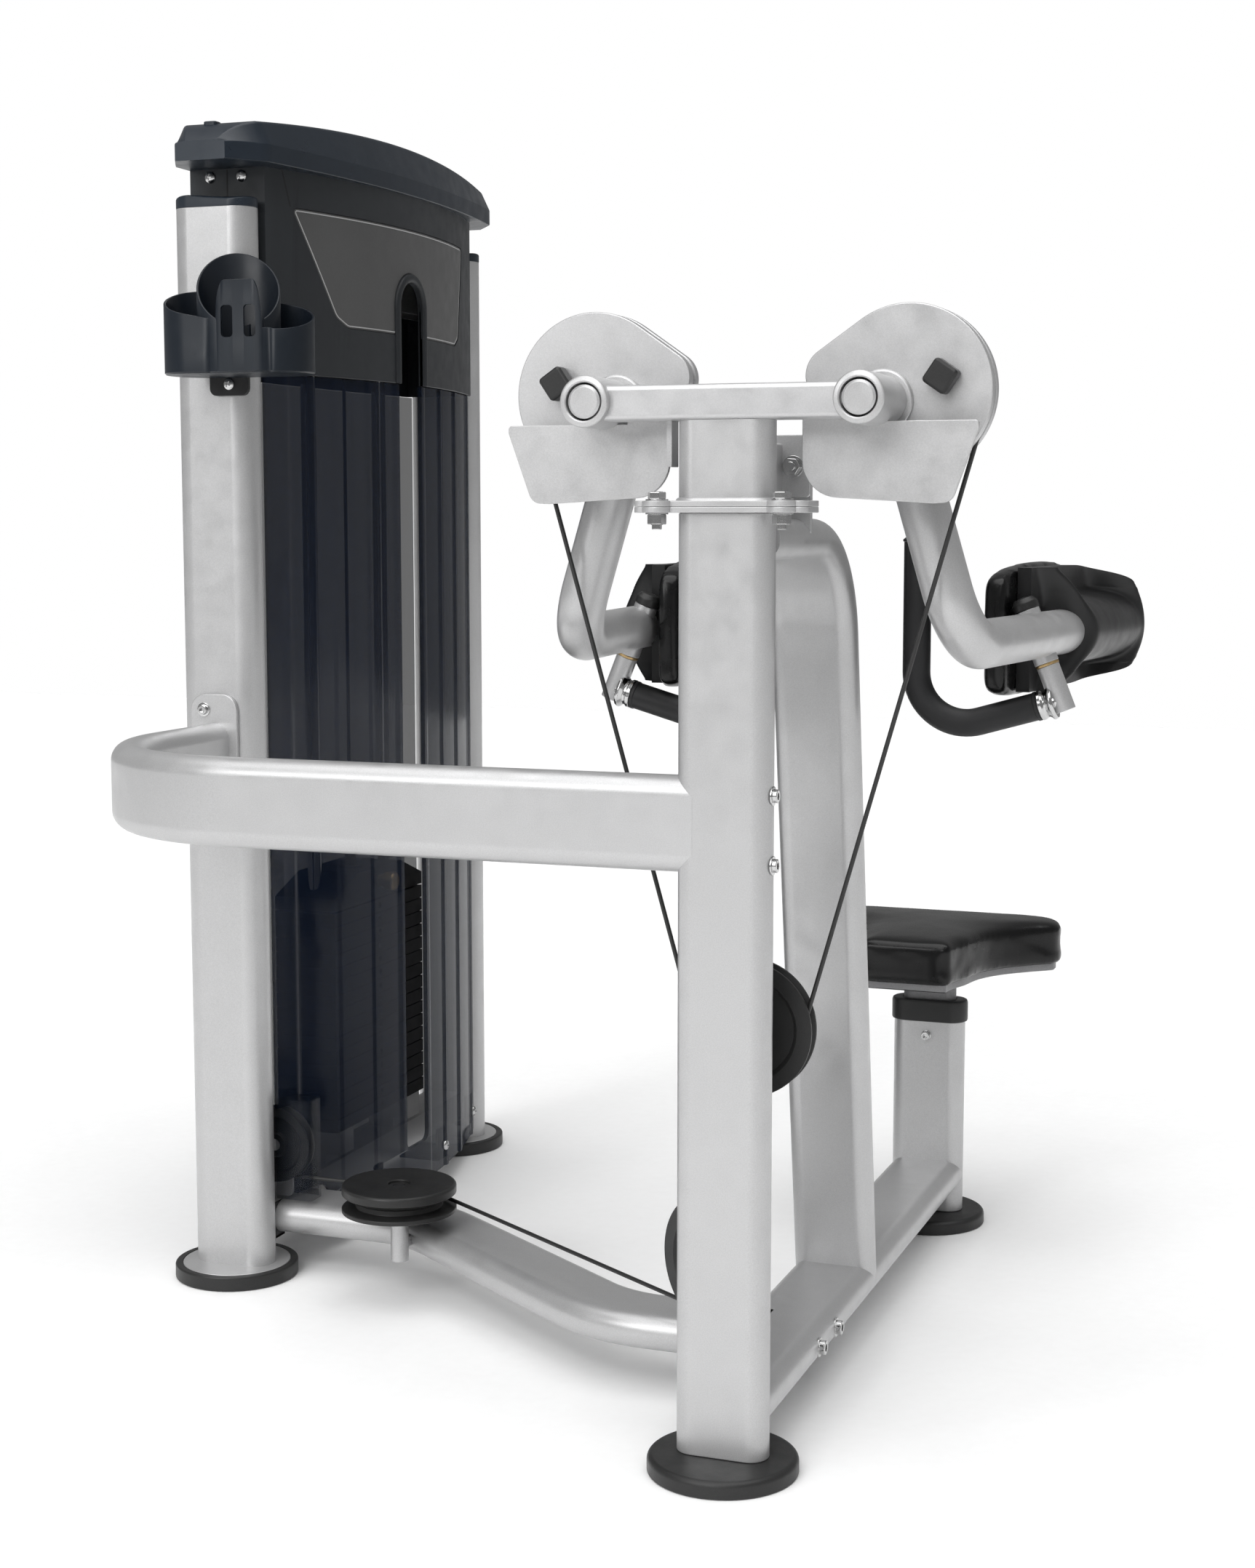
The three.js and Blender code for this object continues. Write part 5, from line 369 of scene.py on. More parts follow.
def slab(outline, low, high, axis="Z", edge=0.8, steps=3):
    """An outline pushed along an axis, with rounded edges."""
    rings = []
    turns = stepped(0, pi / 2, steps) if edge else [pi / 2]
    for t in turns:
        rings.append((edge * (1 - sin(t)), low + edge * (1 - cos(t))))
    for t in reversed(turns):
        rings.append((edge * (1 - sin(t)), high - edge * (1 - cos(t))))
    return loft([[on_axis(axis, a, b, along) for a, b in inset(outline, d)]
                 for d, along in rings])


def box(a0, a1, b0, b1, radius=0.0, steps=6):
    return fillet([(a0, b0), (a1, b0), (a1, b1), (a0, b1)], radius, True, steps)


def oval(width, depth, x=0.0, y=0.0, steps=14):
    radius = min(width, depth) / 2 - 0.01
    return [(x + a, y + b) for a, b in box(-width / 2, width / 2, -depth / 2, depth / 2,
                                           radius, steps)]


def disc(radius, sides=48, x=0.0, y=0.0):
    return [(x + radius * cos(t), y + radius * sin(t)) for t in around(sides)]


def smooth_loop(points, steps=6):
    """A closed curve through the points."""
    spots = [complex(*p) for p in points]
    count = len(spots)
    out = []
    for i in range(count):
        p0, p1, p2, p3 = (spots[(i + k - 1) % count] for k in range(4))
        for s in range(steps):
            t = s / steps
            p = 0.5 * (2 * p1 + (p2 - p0) * t + (2 * p0 - 5 * p1 + 4 * p2 - p3) * t * t
                       + (3 * p1 - p0 - 3 * p2 + p3) * t ** 3)
            out.append((p.real, p.imag))
    return out


def route(corners, radii, steps=14):
    """Places and directions along straight runs joined by round bends."""
    spots = [Vector(c) for c in corners]
    radii = radii if isinstance(radii, (list, tuple)) else [radii] * len(spots)
    out = [(spots[0], (spots[1] - spots[0]).normalized())]
    for i in range(1, len(spots) - 1):
        into = (spots[i] - spots[i - 1]).normalized()
        leave = (spots[i + 1] - spots[i]).normalized()
        angle = into.angle(leave)
        start = spots[i] - into * radii[i] * tan(angle / 2)
        side = (leave - into * leave.dot(into)).normalized()
        count = max(3, round(steps * angle / (pi / 2)))
        for t in stepped(0, angle, count):
            out.append((start + into * radii[i] * sin(t) + side * radii[i] * (1 - cos(t)),
                        into * cos(t) + side * sin(t)))
    out.append((spots[-1], (spots[-1] - spots[-2]).normalized()))
    return out


def sweep(section, stations, across):
    """A section carried along a way, without twisting."""
    rings = []
    for place, along in stations:
        across = (across - along * across.dot(along)).normalized()
        other = along.cross(across)
        rings.append([place + across * a + other * b for a, b in section])
    return loft(rings)


def layered(rows, closed=False):
    """Outlines set in by a distance at their heights, joined into one form."""
    return loft([[Vector((a, b, z)) for a, b in inset(outline, d)] for outline, d, z in rows],
                closed=closed)


def tube(stations, radius, sides=32):
    return sweep(disc(radius, sides), stations, basis(stations[0][1])[0])


def turned(profile, rounds, steps, axis=Z, centre=(0, 0, 0), sides=72, bored=False):
    """A lathed form whose open profile has rounded corners."""
    return lathe(fillet(profile, rounds, False, steps), axis, centre, sides, bored)


def rod(start, end, radius, edge=0.6, sides=40):
    along = Vector(end) - Vector(start)
    return lathe(rounded_rod(radius, along.length, edge), along, start, sides)


def rounded_rod(radius, length, edge=0.6):
    return fillet([(radius - 2 * edge, 0), (radius, 0), (radius, length),
                   (radius - 2 * edge, length)], edge, False, 4)


def arc(centre, radius, start, stop, side=1, steps=40, y=CAM_MID):
    """Places along an arc that stands in a plane across Y."""
    return [(Vector((side * (centre[0] + radius * cos(t)), y, centre[1] + radius * sin(t))),
             Vector((-side * sin(t), 0, cos(t)))) for t in stepped(start, stop, steps)]


def base_object(name, form, scale=1.0):
    """A form as an object, with doubled corners joined and faces turned outwards."""
    mesh = bpy.data.meshes.new(name)
    mesh.from_pydata([p * scale for p in form.points], [], form.faces)
    worked = bmesh.new()
    worked.from_mesh(mesh)
    bmesh.ops.remove_doubles(worked, verts=worked.verts, dist=0.001 * scale)
    bmesh.ops.recalc_face_normals(worked, faces=worked.faces)
    worked.to_mesh(mesh)
    worked.free()
    return added(name, mesh)


def final_form(obj):
    """The form of an object with its modifiers on; the object goes."""
    graph = bpy.context.evaluated_depsgraph_get()
    seen = obj.evaluated_get(graph).to_mesh()
    form = Form([v.co.copy() for v in seen.vertices], [list(p.vertices) for p in seen.polygons])
    old = obj.data
    bpy.data.objects.remove(obj)
    bpy.data.meshes.remove(old)
    return form


def modified(obj, name, kind, **values):
    """A new modifier on an object, with its values."""
    made = obj.modifiers.new(name, kind)
    for key, value in values.items():
        setattr(made, key, value)


def carved(form, *tools, operation="DIFFERENCE"):
    """A form less its tools, or only what it shares with them."""
    base = base_object("carving", form)
    others = []
    for tool in tools:
        others.append(base_object("tool", tool))
        modified(base, "cut", "BOOLEAN", solver="EXACT", operation=operation, object=others[-1])
    made = final_form(base)
    for other in others:
        bpy.data.objects.remove(other)
    return made


def piece(name, form, finish, node="", body="frame", sharp=38, flat=True):
    """A finished piece that rides on a body and may stand for a node."""
    obj = base_object(name, form, MM)
    obj.data.shade_smooth()
    obj.data.set_sharp_from_angle(angle=radians(sharp))
    obj.data.materials.append(FINISHES[finish])
    if flat:
        modified(obj, "even_normals", "WEIGHTED_NORMAL", keep_sharp=True)
    if body:
        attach(obj, body)
    if node:
        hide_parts(node)
    return obj


def sheet_piece(name, form, finish, node=""):
    """A piece whose gentle folds stay sharp and whose curves stay smooth."""
    return piece(name, form, finish, node, sharp=30, flat=False)


# Cables and the lanyard

def tangent():
    """The direction to a cable's touching points, with its ends on the pulley and the cam."""
    dx, dz = CAM_LARGE[0], CAM_LARGE[1] - MID_Z
    lean = acos((WHEEL_R - WRAP_R) / hypot(dx, dz))
    angle = atan2(dz, dx) - lean
    ends = [(WHEEL_R * cos(angle), MID_Z + WHEEL_R * sin(angle)),
            (dx + WRAP_R * cos(angle), CAM_LARGE[1] + WRAP_R * sin(angle))]
    return angle, ends


def straight(start, end, steps=48):
    a, b = Vector(start), Vector(end)
    return [(a.lerp(b, i / steps), (b - a).normalized()) for i in range(steps + 1)]


def cable(name, stations, node="", body="frame"):
    return piece(name, tube(stations, CABLE_R, 20), "cable", node, body, flat=False)


def stretched(name, low, high, node):
    """A straight cable from the frame to a body that moves."""
    made = cable(name, straight(low, high), node, None)
    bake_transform(made)


TOUCH, (PULLEY_END, CAM_END) = tangent()
for word, side in SIDES:
    low = (side * PULLEY_END[0], CAM_MID, PULLEY_END[1])
    high = (side * CAM_END[0], CAM_MID, CAM_END[1])
    stretched(f"lift_cable_{word}", low, high, f"arm_cable_{word}")
    wrap = arc(CAM_LARGE, WRAP_R, TOUCH, WRAP_TO, side)
    end, along = wrap[-1]
    stop = lathe(rounded_rod(4.6, 12, 1), along, end - along * 5, 28)
    cable(f"wrapped_cable_{word}", wrap, body=f"{word}_arm")
    piece(f"cable_stop_{word}", stop, "chrome", body=f"{word}_arm")

cable("block_bight_cable", arc((0, MID_Z), WHEEL_R, -pi - TOUCH, TOUCH, 1, 72), "block_bight",
      "block")
stretched("falling_cable", (0, CAM_MID, LOW_AXLE_Z), (0, CAM_MID, SOCKET_Z), "block_cable")
stretched("hoist_cable", (TOWER_X, TOWER_Y, STEM_Z), (TOWER_X, TOWER_Y, HIGH_Z), "stack_cable")
cable_y = IDLER[1] + WHEEL_R
corner_x = (cable_y - CAM_MID) / tan(DRIVE)
corners = [(0, CAM_MID, LOW_AXLE_Z), (0, CAM_MID, LOW_Z), (corner_x, cable_y, LOW_Z),
           (TOWER_X, cable_y, LOW_Z), (TOWER_X, cable_y, HIGH_CABLE_Z),
           (TOWER_X, TOWER_Y, HIGH_CABLE_Z), (TOWER_X, TOWER_Y, HIGH_Z)]
bends = [0, WHEEL_R, WHEEL_R, SMALL_R, SMALL_R, SMALL_R, 0]
cable("main_cable", route(corners, bends, 16), "drive_cable")

CURL_R, CURL_WIRE, CURLS, CURL_LENGTH = 4.6, 1.1, 7, 32
curl_x = TOWER_X + 46 + CURL_R + CURL_WIRE + 0.3
curl_y = TOWER_Y + 13 + CURL_R
curl = []
for i in range(CURLS * 24 + 1):
    t = 2 * pi * i / 24
    curl.append(Vector((curl_x + CURL_R * cos(t), curl_y + CURL_LENGTH * i / (CURLS * 24),
                        KNOB_Z + CURL_R * sin(t))))
curl_way = [(p, (curl[min(i + 1, len(curl) - 1)] - curl[max(i - 1, 0)]).normalized())
            for i, p in enumerate(curl)]
lanyard = piece("coiled_lanyard", tube(curl_way, CURL_WIRE, 12), "cable", "lanyard", "stack",
                flat=False)


# Cushions

def arm_place(side, u, v, w):
    """A place in the arm's frame: u along the arm from the swivel, v outwards and w up."""
    turn = pi / 2 - side * DIVERGE
    across = -side * v
    x = side * (ARM_X + (SWIVEL_Y - ARM_Y) * tan(DIVERGE))
    return Vector((x + u * cos(turn) - across * sin(turn),
                   SWIVEL_Y + u * sin(turn) + across * cos(turn), ARM_Z + w))


VOXEL, CLOTH_CAP, CLOTH_STEPS = 5, 0.9, 20


def stuffed(name, form, held, node, body):
    """A cushion of fine even faces, blown up a little as cloth with its backed side held."""
    obj = base_object(name, form, MM)
    modified(obj, "even", "REMESH", mode="VOXEL", voxel_size=VOXEL * MM)
    modified(obj, "soft", "SMOOTH", factor=0.5, iterations=5)
    start = final_form(obj)
    obj = base_object(name, start, 1.0)
    rest = [v.co.copy() for v in obj.data.vertices]
    group = obj.vertex_groups.new(name="held")
    group.add([i for i, p in enumerate(rest) if held(p / MM)], 1.0, "REPLACE")
    cloth = obj.modifiers.new("Cloth", "CLOTH")
    cloth.settings.quality = 4
    cloth.settings.mass = 0.25
    cloth.settings.use_pressure = True
    cloth.settings.uniform_pressure_force = 4
    cloth.settings.vertex_group_mass = "held"
    cloth.settings.effector_weights.gravity = 0
    cloth.point_cache.frame_start = 1
    cloth.point_cache.frame_end = CLOTH_STEPS
    for step in range(1, CLOTH_STEPS + 1):
        bpy.context.scene.frame_set(step)
    graph = bpy.context.evaluated_depsgraph_get()
    blown = [v.co.copy() for v in obj.evaluated_get(graph).data.vertices]
    obj.modifiers.remove(cloth)
    bpy.context.scene.frame_set(1)
    for vertex, before, after in zip(obj.data.vertices, rest, blown):
        step = after - before
        if step.length > CLOTH_CAP * MM:
            step = step.normalized() * CLOTH_CAP * MM
        vertex.co = before + step
    modified(obj, "settle", "SMOOTH", factor=0.5, iterations=10)
    modified(obj, "finer", "SUBSURF", levels=1, render_levels=1)
    made = final_form(obj)
    made = Form([p / MM for p in made.points], made.faces)
    obj = piece(name, made, "vinyl", node, body, 180, False)
    return obj


def drawn(outline, share):
    """An outline drawn in towards its middle."""
    cx = sum(p[0] for p in outline) / len(outline)
    cy = sum(p[1] for p in outline) / len(outline)
    return [(x + (cx - x) * share, y + (cy - y) * share) for x, y in outline]


NOSE, WIDE, SEAT_FRONT, SEAT_LENGTH = 57, 171, 785, 280
half = [(NOSE * a, SEAT_FRONT + SEAT_LENGTH * b) for a, b in (
    (0.4, 0), (0.88, 0), (1.08, 0.012), (1.11, 0.06), (1.17, 0.13), (1.33, 0.23),
    (1.5, 0.4))]
half += [(WIDE * a, SEAT_FRONT + SEAT_LENGTH * b) for a, b in (
    (0.62, 0.54), (0.8, 0.66), (0.965, 0.75), (0.995, 0.8), (0.98, 0.88), (0.9, 0.955),
    (0.7, 0.99), (0.35, 1))]
seat_outline = smooth_loop(half + [(-x, y) for x, y in reversed(half)])


def crowned(outline, sides, border, crown, place):
    """Walls that draw in between their edges, under a top that rises to the middle."""
    rings = [[place(a, b, height) for a, b in inset(outline, distance)]
             for distance, height in sides]
    rings += [[place(a, b, height) for a, b in drawn(inset(outline, border), share)]
              for share, height in crown]
    return loft(rings)


seat_sides = ((4, 0), (0.5, 1.5), (-1.2, 6), (0.4, 22), (0.6, 36), (-1.2, 49), (0.2, 54),
              (2.6, 57.5), (7, 59.5))
seat_crown = ((0.12, 61), (0.35, 63), (0.6, 64.2), (0.85, 64.6))
stuffed("seat_pad", crowned(seat_outline, seat_sides, 8, seat_crown,
                            lambda a, b, height: Vector((a, b, SEAT_LOW + height))),
        lambda p: p.z < SEAT_LOW + 5, "seat_cushion", "seat")

pad_outline = smooth_loop([(a * (PAD_FAR if a > 0 else 1), b) for a, b in (
    (PAD_NEAR, PAD_LOW * 0.55), (PAD_NEAR * 0.6, PAD_LOW * 0.92), (0.1, PAD_LOW),
    (0.35, PAD_LOW * 0.98), (0.62, PAD_LOW * 0.9), (0.85, PAD_LOW * 0.7),
    (0.96, PAD_LOW * 0.35), (1, 0), (0.98, PAD_TOP * 0.35), (0.9, PAD_TOP * 0.66),
    (0.76, PAD_TOP * 0.86), (0.55, PAD_TOP * 0.98), (0.35, PAD_TOP), (0.1, PAD_TOP * 0.95),
    (PAD_NEAR * 0.4, PAD_TOP * 0.84), (PAD_NEAR, PAD_TOP * 0.6))])
pad_sides = ((4, 0), (0.6, 2.5), (0.8, 8), (1.6, 14), (0.9, 20), (3, 25), (8, 28))
pad_crown = ((0.2, 30), (0.5, 31.6), (0.8, 32.2))
for word, side in SIDES:
    back = arm_place(side, 0, -PAD_BACK - 3, 0)
    inward = arm_place(side, 0, -PAD_BACK - 4, 0) - back
    form = crowned(pad_outline, pad_sides, 9, pad_crown,
                   lambda u, w, height, side=side: arm_place(side, u, -PAD_BACK - height, w))
    stuffed(f"elbow_pad_{word}", form,
            lambda p, back=back, inward=inward: (p - back).dot(inward) < 0,
            f"pad_{word}", f"{word}_arm")


# Fasteners

def hex_bolt(radius=9.5, height=7, washer=11.5, stud=0.0):
    """A washer, a hexagonal head with its raised ring, and the end of the thread."""
    head = slab(disc(radius, 6), 1.6, 1.6 + height, "Z", 0.9)
    parts = [lathe(rounded_rod(washer, 1.6, 0.5), sides=40), head,
             lathe([(radius * 0.62, 1.5 + height), (radius * 0.62, 2.1 + height)], sides=40)]
    if stud:
        parts.append(lathe(rounded_rod(5, 1.6 + height + stud, 0.7), sides=32))
    return joined(parts)


def socket_bolt(radius=8, height=8, flange=11):
    """A round head with a flange and a socket."""
    return turned([(flange, 0), (flange, 1.4), (radius, 1.6), (radius, height),
                   (radius * 0.5, height), (radius * 0.5, height * 0.45)],
                  [0, 0.5, 0.3, 1.0, 0.3, 0], 4, sides=40)


def pan_screw(radius=7.5):
    """A domed head with a cross."""
    profile = [(radius, 0), (radius, 0.8)]
    profile += [(radius * cos(t), 0.8 + radius * 0.55 * sin(t))
                for t in stepped(0, pi / 2, 8)[1:-1]]
    cross = [slab(box(-radius * 0.5, radius * 0.5, -0.8, 0.8), 2.6, 9, "Z", 0),
             slab(box(-0.8, 0.8, -radius * 0.5, radius * 0.5), 2.6, 9, "Z", 0)]
    return carved(lathe(profile, sides=36), *cross)


def fixings(name, items, finish="chrome", body="frame"):
    """Several fasteners in one piece: each is a form, a place, a direction and a turn."""
    forms = [placed(form, Vector(at), axis, turn) for form, at, axis, turn in items]
    piece(name, joined(forms), finish, "", body)


SCREW = pan_screw()


# Column, head and crossbar

def upright(width, depth, x, y, low, high, edge=1.5):
    return slab(oval(width, depth, x, y), low, high, "Z", edge)


LOBE_R, LOBE_TURN = 15, 0.134
piece("column_tube", upright(TUBE_W, TUBE_D, 0, 0, FOOT_H, FLANGE), "paint")
lobe = []
for x in (-FLANGE_BOLT[0], FLANGE_BOLT[0]):
    turns = [pi + LOBE_TURN + (pi - 2 * LOBE_TURN) * k / 20 for k in range(21)]
    lobe += [(x + LOBE_R * cos(t), FLANGE_BOLT[1] + LOBE_R * sin(t)) for t in turns]
half, low, high = 91, -30, 21
rounds = fillet([(0, low), (half, low), (half, high), (-half, high), (-half, low)],
                [0, 9, 9, 9, 9], True, 6)[1:]
flange_outline = lobe + rounds
flanges = [slab(flange_outline, FLANGE, FLANGE + 5.9, "Z", 0.8),
           slab(flange_outline, FLANGE + 6.1, FLANGE_TOP, "Z", 0.8)]
piece("column_flange", flanges[0], "paint", "column")
weld = layered([(oval(TUBE_W, TUBE_D), -d, FLANGE_TOP + h)
                for d, h in ((3.2, 0), (2.6, 1.6), (1.2, 2.9), (-0.6, 3.4))])
head = joined([flanges[1], weld, upright(TUBE_W, TUBE_D, 0, 0, FLANGE_TOP, BAR_LOW, 0.5),
               slab(box(-20, 20, PLATE_LOW, 1070, 3), 0, 128, "Y", 0.3),
               slab(box(-50, 50, PLATE_LOW, PLATE_HIGH, 4), PLATE_NEAR, PLATE_MID - 0.3, "Y",
                    0.8)])
piece("head_tube", head, "paint", "head_post")
items = []
for x in (-FLANGE_BOLT[0], FLANGE_BOLT[0]):
    items.append((hex_bolt(), (x, FLANGE_BOLT[1], FLANGE_TOP), Z, 0.3))
    items.append((hex_bolt(stud=5, height=10), (x, FLANGE_BOLT[1], FLANGE), -Z, 0.5))
for x in (-32, 32):
    items.append((hex_bolt(stud=4), (x, PLATE_NEAR, 1046), -Y, 0.2))
    items.append((hex_bolt(), (x, PLATE_FAR, 1046), Y, 0.2))
for z in (SIDE_Z + 32, SIDE_Z - 39):
    items.append((socket_bolt(7, 6, 10), (TUBE_W / 2 - 0.5, 0, z), X, 0))
fixings("head_fixings", items)

for name, node, y in (("column_base", "column_foot", 0), ("seat_base", "seat_foot", SEAT_Y)):
    foot = turned([(FOOT_R - 4, 0), (FOOT_R, 0), (FOOT_R, FOOT_H - 0.5), (FOOT_R - 22, FOOT_H),
                   (4, FOOT_H)], [0, 2, 6.5, 6, 0], 8, Z, (0, y, 0), 128)
    piece(name, foot, "rubber", node)

bar = slab(box(-25, 25, BAR_LOW, BAR_HIGH, 5.5, 6), -124, 124, "X", 0)
parts = [bar]
for word, side in SIDES:
    x = side * PIVOT_X
    parts.append(turned([
        (BARREL_BORE, 58), (BARREL_R, 58), (BARREL_R, -32), (BARREL_R - 5.5, -33.2),
        (BARREL_BORE, -32), (BARREL_BORE, -20)], [0, 0.8, 2.4, 1.0, 0.8, 0], 5,
        Y, (x, 0, PIVOT_Z), 96, True))
    plate = fillet([(side * a, b) for a, b in (
        (70, 1015), (204, 1007), (222, 1008), (248, 1080), (248, 1088), (116, 1088),
        (116, 1105), (70, 1105))], [38, 0, 14, 0, 9, 0, 0, 0], True, 10)
    parts.append(slab(plate, 25, 30, "Y", 0.7))
parts.append(slab(box(-67, -61, 1044, BAR_LOW + 1, 1), 6, 27, "Y", 0.5))
piece("top_crossbar", joined(parts), "paint", "crossbar")
fixings("barrel_sleeves", [(lathe(rounded_rod(19.1, 82, 0.5), sides=72),
                            (s * PIVOT_X, -24, PIVOT_Z), Y, 0) for s in (-1, 1)], "dark")


# Beams

beam_top = BEAM_Z + TUBE_D / 2
post_foot_y = REAR_Y + TUBE_D / 2 * REAR_LEAN
post_corner = REAR_Y - (ARCH_Z - beam_top) * REAR_LEAN
way = route([(0, post_foot_y, BEAM_Z), (0, post_corner, ARCH_Z), (0, 18, ARCH_Z)], 130, 20)
curved = sweep(oval(TUBE_W, TUBE_D), way, X)
plate = slab(box(-50, 50, ARCH_Z, PLATE_HIGH, 9), PLATE_MID, PLATE_FAR, "Y", 0.8)
piece("rear_post", curved + plate, "paint", "curved_post")
base = slab(oval(TUBE_W, TUBE_D, 0, BEAM_Z), 0, SEAT_Y, "Y", 0)
cheeks = []
for near in (-CHEEK, CHEEK - 4):
    cheeks.append(slab(box(-20, 20, beam_top, LOW_AXLE_Z + 20, 12), near, near + 4, "Y", 0.6))
cheeks.append(rod((0, -CHEEK, LOW_AXLE_Z), (0, CHEEK, LOW_AXLE_Z), AXLE_R))
cheeks.append(slab(box(-20, 60, -CHEEK, CHEEK, 3), beam_top - 0.5, beam_top + 3.5, "Z", 0.6))
turned_cheeks = joined(cheeks).moved(
    Matrix.Translation((LOW_PULLEY[0], LOW_PULLEY[1], 0)) @ Matrix.Rotation(DRIVE + pi, 4, "Z"))
piece("floor_beam", base + turned_cheeks, "paint", "base_beam")
fixings("beam_fixings", [(socket_bolt(), (48.6, y, BEAM_Z), X, 0) for y in (200, 270)]
        + [(socket_bolt(6, 9, 7), (0, SEAT_Y - 21, 271), -Y, 0)])
near, far = 215, 468
way = route([(-18, near, BEAM_Z), (-205, near, BEAM_Z), (-561, far, BEAM_Z),
             (-773, far, BEAM_Z)], 170, 20)
tie = sweep(oval(TUBE_D, TUBE_W), way, Z)
shaft = rod((IDLER[0], IDLER[1], 50), (IDLER[0], IDLER[1], 115.5), 11.4, 1)
web = slab(box(IDLER[0] - 7, IDLER[0] + 7, 64, 78, 2), IDLER[1], IDLER[1] + 55, "Y", 0)
piece("tie_tube", joined([tie, shaft, web]), "paint", "lower_tie")
way = route([(-29.3, 0, SIDE_Z), (TOWER_X, 0, SIDE_Z), (TOWER_X, 366, SIDE_Z)], 230, 26)
side_tube = sweep(oval(TUBE_W, TUBE_D), way, Z)
plate_y = 364
end_plate = slab(box(TOWER_X - 33, TOWER_X + 33, SIDE_Z - 87, SIDE_Z + 87, 21, 8), plate_y,
                 plate_y + 6, "Y", 1)
piece("side_tube", side_tube + end_plate, "paint", "side_beam")
fixings("end_plate_fixings", [(socket_bolt(6.5, 6, 9), (TOWER_X - 14, plate_y, z), -Y, 0)
                              for z in (SIDE_Z + 67, SIDE_Z - 67)])


# Seat

piece("seat_upright", upright(TUBE_W, TUBE_D, 0, SEAT_Y, FOOT_H, 300), "paint")
piece("pin_boss", rod((0, SEAT_Y + 19, PIN_Z), (0, SEAT_Y + 37, PIN_Z), 12, 1), "paint",
      "seat_post")
outer, inner = oval(107, 49, 0, SEAT_Y), oval(75, 31, 0, SEAT_Y)
rows = [(outer, 3, 290), (outer, 0.8, 291), (outer, 0, 293), (outer, 0, 317),
        (outer, 1.2, 320), (outer, 3, 321),
        (inner, -1.5, 321), (inner, 0, 319.5), (inner, 0, 301), (inner, 0, 290.5)]
piece("seat_bush", layered(rows, True), "rubber", "seat_collar")
tongue = upright(74, 30, 0, SEAT_Y, 100, SEAT_BASE, 0.8)
board = slab(inset(seat_outline, 7), SEAT_BASE, SEAT_LOW + 6, "Z", 1.6)
strap = slab(box(-37, 37, SEAT_Y - 90, SEAT_Y + 60, 6), SEAT_BASE - 6, SEAT_BASE, "Z", 0.8)
piece("seat_support", joined([tongue, board, strap]), "board", "seat_carriage", "seat")
fixings("board_fixings", [(SCREW, (x, SEAT_Y + y, SEAT_BASE - 6), -Z, 0.4)
                          for x in (-26, 26) for y in (-75, 47)], "chrome", "seat")
knob = turned([(8.2, 0), (9, 8), (15, 11), (15, 22), (12, 26), (2, 26)], [0, 2, 2, 2, 2, 0], 4,
              Y, (0, SEAT_Y + 37.3, PIN_Z), 48)
piece("lock_pin", knob + rod((0, SEAT_Y + 15.3, PIN_Z), (0, SEAT_Y + 50, PIN_Z), 5), "plastic",
      "seat_pin", "seat_lock")


# Cams, arms, swivels and grips

def cam_outline(side, narrower):
    """Two circles with straight sides between them, drawn in by a distance."""
    (lx, lz, lr), (sx, sz, sr) = CAM_LARGE, CAM_SMALL
    large, small = lr - narrower, sr - narrower
    axis = atan2(lz - sz, lx - sx)
    opening = pi - acos((large - small) / hypot(lx - sx, lz - sz))
    out = []
    for i in range(73):
        t = axis - opening + 2 * opening * i / 72
        out.append((side * (lx + large * cos(t)), lz + large * sin(t)))
    for i in range(25):
        t = axis + opening + (2 * pi - 2 * opening) * i / 24
        out.append((side * (sx + small * cos(t)), sz + small * sin(t)))
    return out


def swivel_point(side, s):
    """A place on the handle's swivel, down from the arm."""
    x = ARM_X + (SWIVEL_Y - ARM_Y) * tan(DIVERGE) - 5 + s * sin(SWIVEL_LEAN)
    return Vector((side * x, SWIVEL_Y, ARM_Z - s * cos(SWIVEL_LEAN)))


def grip_point(side, d):
    """A place along the handle's stem, inwards from the swivel."""
    return swivel_point(side, GRIP_DROP) - Vector((side * cos(GRIP_LEAN), 0,
                                                   sin(GRIP_LEAN))) * d


